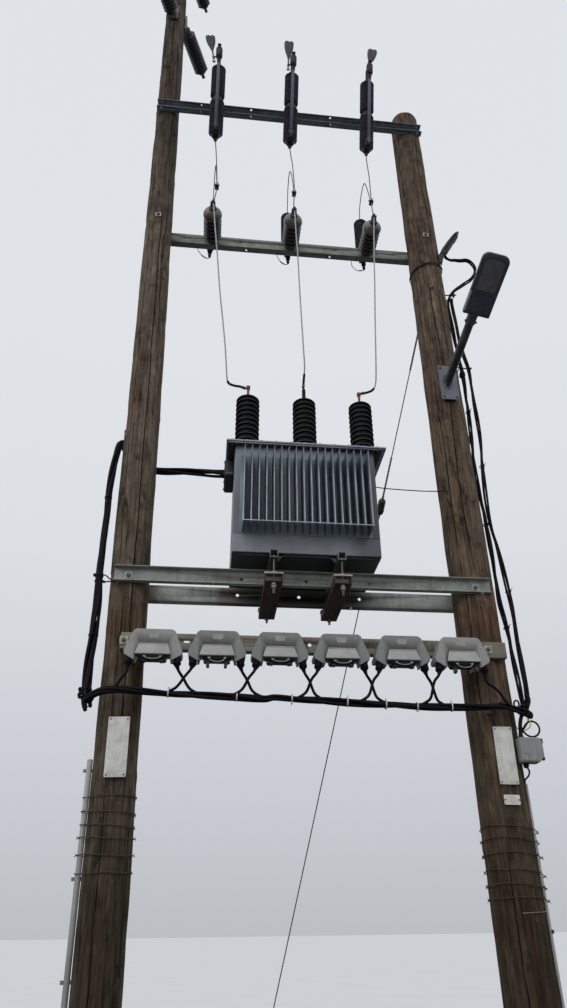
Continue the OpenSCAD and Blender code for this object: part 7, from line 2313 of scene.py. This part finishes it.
def hull2(c1, r1, c2, r2, k=90):
    """Points round two circles, as a wire pulled round both lies."""
    t = np.arange(k) * 2 * pi / k
    p = np.vstack([np.stack([c1[0] + r1 * np.cos(t), c1[1] + r1 * np.sin(t)], 1), np.stack([c2[0] + r2 * np.cos(t), c2[1] + r2 * np.sin(t)], 1)])
    p = p[np.lexsort((p[:, 1], p[:, 0]))]

    def half(pts):
        out = []
        for a in pts:
            while len(out) > 1 and (out[-1][0] - out[-2][0]) * (a[1] - out[-2][1]) - (out[-1][1] - out[-2][1]) * (a[0] - out[-2][0]) <= 0:
                out.pop()
            out.append(a)
        return out
    lo, hi = half(p), half(p[::-1])
    return np.array(lo[:-1] + hi[:-1])


def barbed():
    g = Geo()
    rng = np.random.RandomState(8)
    for side, zs in ((0, (2148, 2070, 2008, 1946, 1868, 1789)), (1, (1984, 1922, 1856, 1774, 1702, 1644))):
        for n, z in enumerate(zs):
            if side == 0:
                c1, r1 = (lx(z), 0), left_r(z) + 6.5
                c2, r2 = (-153.7 - 47.3 * z / 2343, -6), 19
                kx, ky, xc = -0.0246, 0.0698, lx(z) - 17
            else:
                c1, r1 = (RX, 0), right_r(z) + 7
                c2, r2 = (2257, -6), 16
                kx, ky, xc = -0.0698, -0.0523, RX + 14.5
            h = hull2(c1, r1, c2, r2)
            q = np.column_stack([h, z + ky * h[:, 1] + kx * (h[:, 0] - xc)])
            q = np.vstack([q, q[:1]])
            q, s = resample(q, 9)
            q = q[:-1]
            s = s[:-1]
            ph = rng.uniform(0, 6)
            q[:, 2] += 5.0 * np.sin(s / 170 + ph) + 3.0 * np.sin(s / 61 + 2 * ph) + rng.uniform(-3, 3)
            _, a, b = frames(q, True)
            turns = round(s[-1] / 58)
            for j in (0, 1):
                ang = 2 * pi * turns * np.arange(len(q)) / len(q) + j * pi
                c = q + (np.cos(ang) * 1.7)[:, None] * a + (np.sin(ang) * 1.7)[:, None] * b
                sweep(g, c, 1.6, 6, 0, closed=True)
            # barbs: two short wires wound round the pair
            total = s[-1]
            for k in range(int(total // 104)):
                i = int((k * 104 + 30 * ph) / total * len(q)) % len(q)
                d = q[(i + 1) % len(q)] - q[i - 1]
                d /= np.linalg.norm(d)
                rd = np.array([q[i][0] - c1[0], q[i][1], 0])
                rd /= np.linalg.norm(rd)
                up = np.cross(d, rd)
                for w in (-1, 1):
                    t0 = rng.uniform(0.5, 1.2)
                    e1 = q[i] + d * 4 * w + (up * cos(t0) + rd * sin(t0)) * 15
                    e2 = q[i] + d * 4 * w - (up * cos(t0) - rd * sin(t0) * 0.8) * 14
                    mid = q[i] + d * 4 * w + rd * 2.4
                    sweep(g, np.array([e1, (e1 + mid) / 2, mid, (e2 + mid) / 2, e2]), np.array([0.5, 1.3, 1.5, 1.3, 0.5]), 5, 0)
                torus(g, 3.0, 1.3, 12, 6, along(q[i] - d * 2, q[i] + d * 3), 0)
            # staples that hold the wire to the timber
            for a0 in (250, 292, 60, 130):
                if (n + int(a0)) % 2:
                    continue
                t = rad(a0 + 12 * n)
                px, py = c1[0] + (r1 - 6.5) * cos(t), (r1 - 6.5) * sin(t)
                i = int(np.argmin((q[:, 0] - px) ** 2 + (q[:, 1] - py) ** 2))
                o = np.array([cos(t), sin(t), 0])
                p = q[i]
                sweep(g, np.array([p - o * 7 + (0, 0, 8), p + o * 2 + (0, 0, 7), p + o * 4.5, p + o * 2 + (0, 0, -7), p - o * 7 + (0, 0, -8)]), 1.5, 6, 0)
    piece(g, "barbed_wire_wraps", [M["wire"]], replaces=["barbed_wire"], sharp=60)


def conduits():
    g = Geo()
    a, b = (-153.7, -6, 0), (-201, -6, 2343)
    m = along(a, b)
    L = dist(a, b)
    pipe(g, 15, 12.5, 0, 1180, 26, m, 0, 0.8)
    pipe(g, 15, 12.5, 1140, L, 26, m, 0, 0.8)
    pipe(g, 17, 14.8, 1110, 1215, 26, m, 0, 1.5)
    for z in (420, 1320, 1760, 2285):
        saddle(g, m, 15, z, 1)
    m = along((2257, -6, 0), (2252, 4, 2234))
    pipe(g, 12, 9.8, 0, 2234, 24, m, 0, 0.8)
    pipe(g, 14, 11.8, 1030, 1110, 24, m, 0, 1.5)
    for z in (300, 900, 1500):
        saddle(g, m, 12, z, -1)
    # thin strap and nail at the right pole
    th = np.linspace(rad(258), rad(352), 24)
    r = right_r(1583) + 2.5
    sweep(g, np.array([(RX + r * cos(t), r * sin(t), 1584 + 6 * cos(t)) for t in th]), 3.0, 6, 1)
    bolt_end(g, T(RX + right_r(1583) * cos(rad(258)), right_r(1583) * sin(rad(258)) + 1, 1583) @ R("Z", -12) @ R("X", 90), 6, 1, 5, 4, 2, 2, 1, 1, False)
    # thin neutral wire from the tank to the right pole
    q = spline([[1449, -40, 4190], [1560, -50, 4165], [1800, -62, 4150], [1958, -70, 4150]], 8)
    sweep(g, q, 3.6, 10, 2, round_ends=True)
    lathe(g, [(0, 0), (9, 0), (9, 4), (7, 8), (4.5, 20), (0, 21)], 16, T(1447, -40, 4190) @ R("Y", 90), 1)
    # thin green earth wire down the left pole's edge, with its clips
    pts = []
    for z in np.linspace(4600, 3440, 24):
        t = rad(200 + 3 * sin(z / 160.0))
        pts.append((lx(z) + (left_r(z) + 4.5) * cos(t), (left_r(z) + 4.5) * sin(t), z))
    pts = [(-236, 60, 4560), (-250, 20, 4590)] + pts[2:]
    sweep(g, spline(pts, 4), 3.2, 8, 3, round_ends=True)
    for z in (4360, 4040, 3720):
        t = rad(200 + 3 * sin(z / 160.0))
        p = np.array((lx(z) + (left_r(z) + 3) * cos(t), (left_r(z) + 3) * sin(t), z))
        o = np.array([cos(t), sin(t), 0])
        sd = np.array([-sin(t), cos(t), 0])
        sweep(g, np.array([p - sd * 8 - o * 3, p - sd * 5 + o * 5, p + sd * 5 + o * 5, p + sd * 8 - o * 3]), 1.6, 6, 1)
    # band and wires that tie the left riser to the beam's end
    q, d = on_route(RISER_L, 0.715)
    pipe(g, 26, 22, -9, 9, 26, along(q - d * 0.5, q + d * 0.5), 4, 1.5)
    cbox(g, (q[0] - 36, q[1] - 10, q[2] - 7), (q[0] - 20, q[1] + 8, q[2] + 11), 2.5, 4)
    for k, dz in enumerate((4, -38)):
        c = q + (0, 0, dz)
        torus(g, 23, 3.2, 26, 8, along(c, c + d * 3), 4)
        sweep(g, spline([c + (20, -2, 2), c + (42, -6, -6), (-210 + 4 * k, -92, 3392 - 20 * k), (-184, -112, 3368 - 10 * k), (-168, -128, 3352 - 4 * k)], 6), 4.2, 8, 4, round_ends=True)
    sweep(g, np.array([q + (22, -6, -40), q + (38, -8, -46)]), 8.5, 10, 4, round_ends=True)
    # stand-off spikes of the right riser and their knots, near the dead end
    for z, x1, r in ((6144, 2330, 5.0), (6086, 2284, 4.2)):
        sweep(g, np.array([(2216, -10, z - 2), (2262, -14, z + 4), (x1, -14, z + 10), (x1 + 6, -12, z + 20)]), r, 8, 4, round_ends=True)
    for p0, p1, r in (((2292, -18, 6146), (2314, -20, 6162), 11), ((2310, -16, 6128), (2306, -18, 6150), 8), ((2260, -18, 6078), (2276, -18, 6098), 10), ((2282, -14, 6080), (2296, -16, 6104), 8)):
        sweep(g, np.array([p0, p1]), r, 10, 4, round_ends=True)
    # connector on the risers above the lamp's plate, its rod and a loose eye
    cbox(g, (2258, -24, 5262), (2296, 16, 5304), 5, 4)
    cbox(g, (2264, -28, 5276), (2288, 20, 5318), 3, 4)
    sweep(g, np.array([(2234, -16, 5348), (2280, -20, 5342), (2330, -20, 5334), (2352, -18, 5342)]), 4.6, 8, 4, round_ends=True)
    sweep(g, np.array([(2334, -20, 5328), (2350, -20, 5346)]), 9, 10, 4, round_ends=True)
    sweep(g, spline([(2252, -20, 5346), (2240, -30, 5306), (2228, -34, 5270), (2220, -34, 5246)], 6), 3.2, 8, 4, round_ends=True)
    torus(g, 15, 3.4, 22, 8, T(2217, -34, 5228) @ R("Z", 30) @ R("Y", 78), 4)
    piece(g, "conduits_and_earth_wires", [M["conduit"], M["bolt"], M["cable"], M["green_wire"], M["boot"]], replaces=["earth_wires"], sharp=45)


def saddle(g, m, r, z, side):
    """Half-round pipe saddle with its two ears and screws, facing the street."""
    k = 15
    th = np.linspace(pi, 2 * pi, k)
    inner = [(cos(t) * (r + 0.4), sin(t) * (r + 0.4)) for t in th]
    outer = [(cos(t) * (r + 2.4), sin(t) * (r + 2.4)) for t in th]
    p = outer + [(r + 16, -0.2), (r + 16, 2.0), (r + 0.4, 2.0)] + inner[::-1] + [(-r - 0.4, 2.0), (-r - 16, 2.0), (-r - 16, -0.2)]
    prism(g, p, z - 9, z + 9, m, 1, 0)
    for s in (-1, 1):
        lathe(g, [(0, 0), (4.4, 0), (4.4, 1.2), (3, 2.4), (0, 2.6)], 12, m @ T(s * (r + 9.5), 0, z) @ R("X", 90), 1)


MAKERS = [poles, arms, through_bolts, hold_down, tank, lid, bushings, cable_box,
          cutout_insulators, cutout_fittings, fuse_tubes, post_insulators, surge_arresters, insulator_fittings, jumpers,
          housings, carriers, low_voltage_cables, stay, lamp, dead_end, plates, junction_box, barbed, conduits]


# -------------------------------------------------------------------- make --
make_materials()
camera()
stage()
for make in MAKERS:
    make()
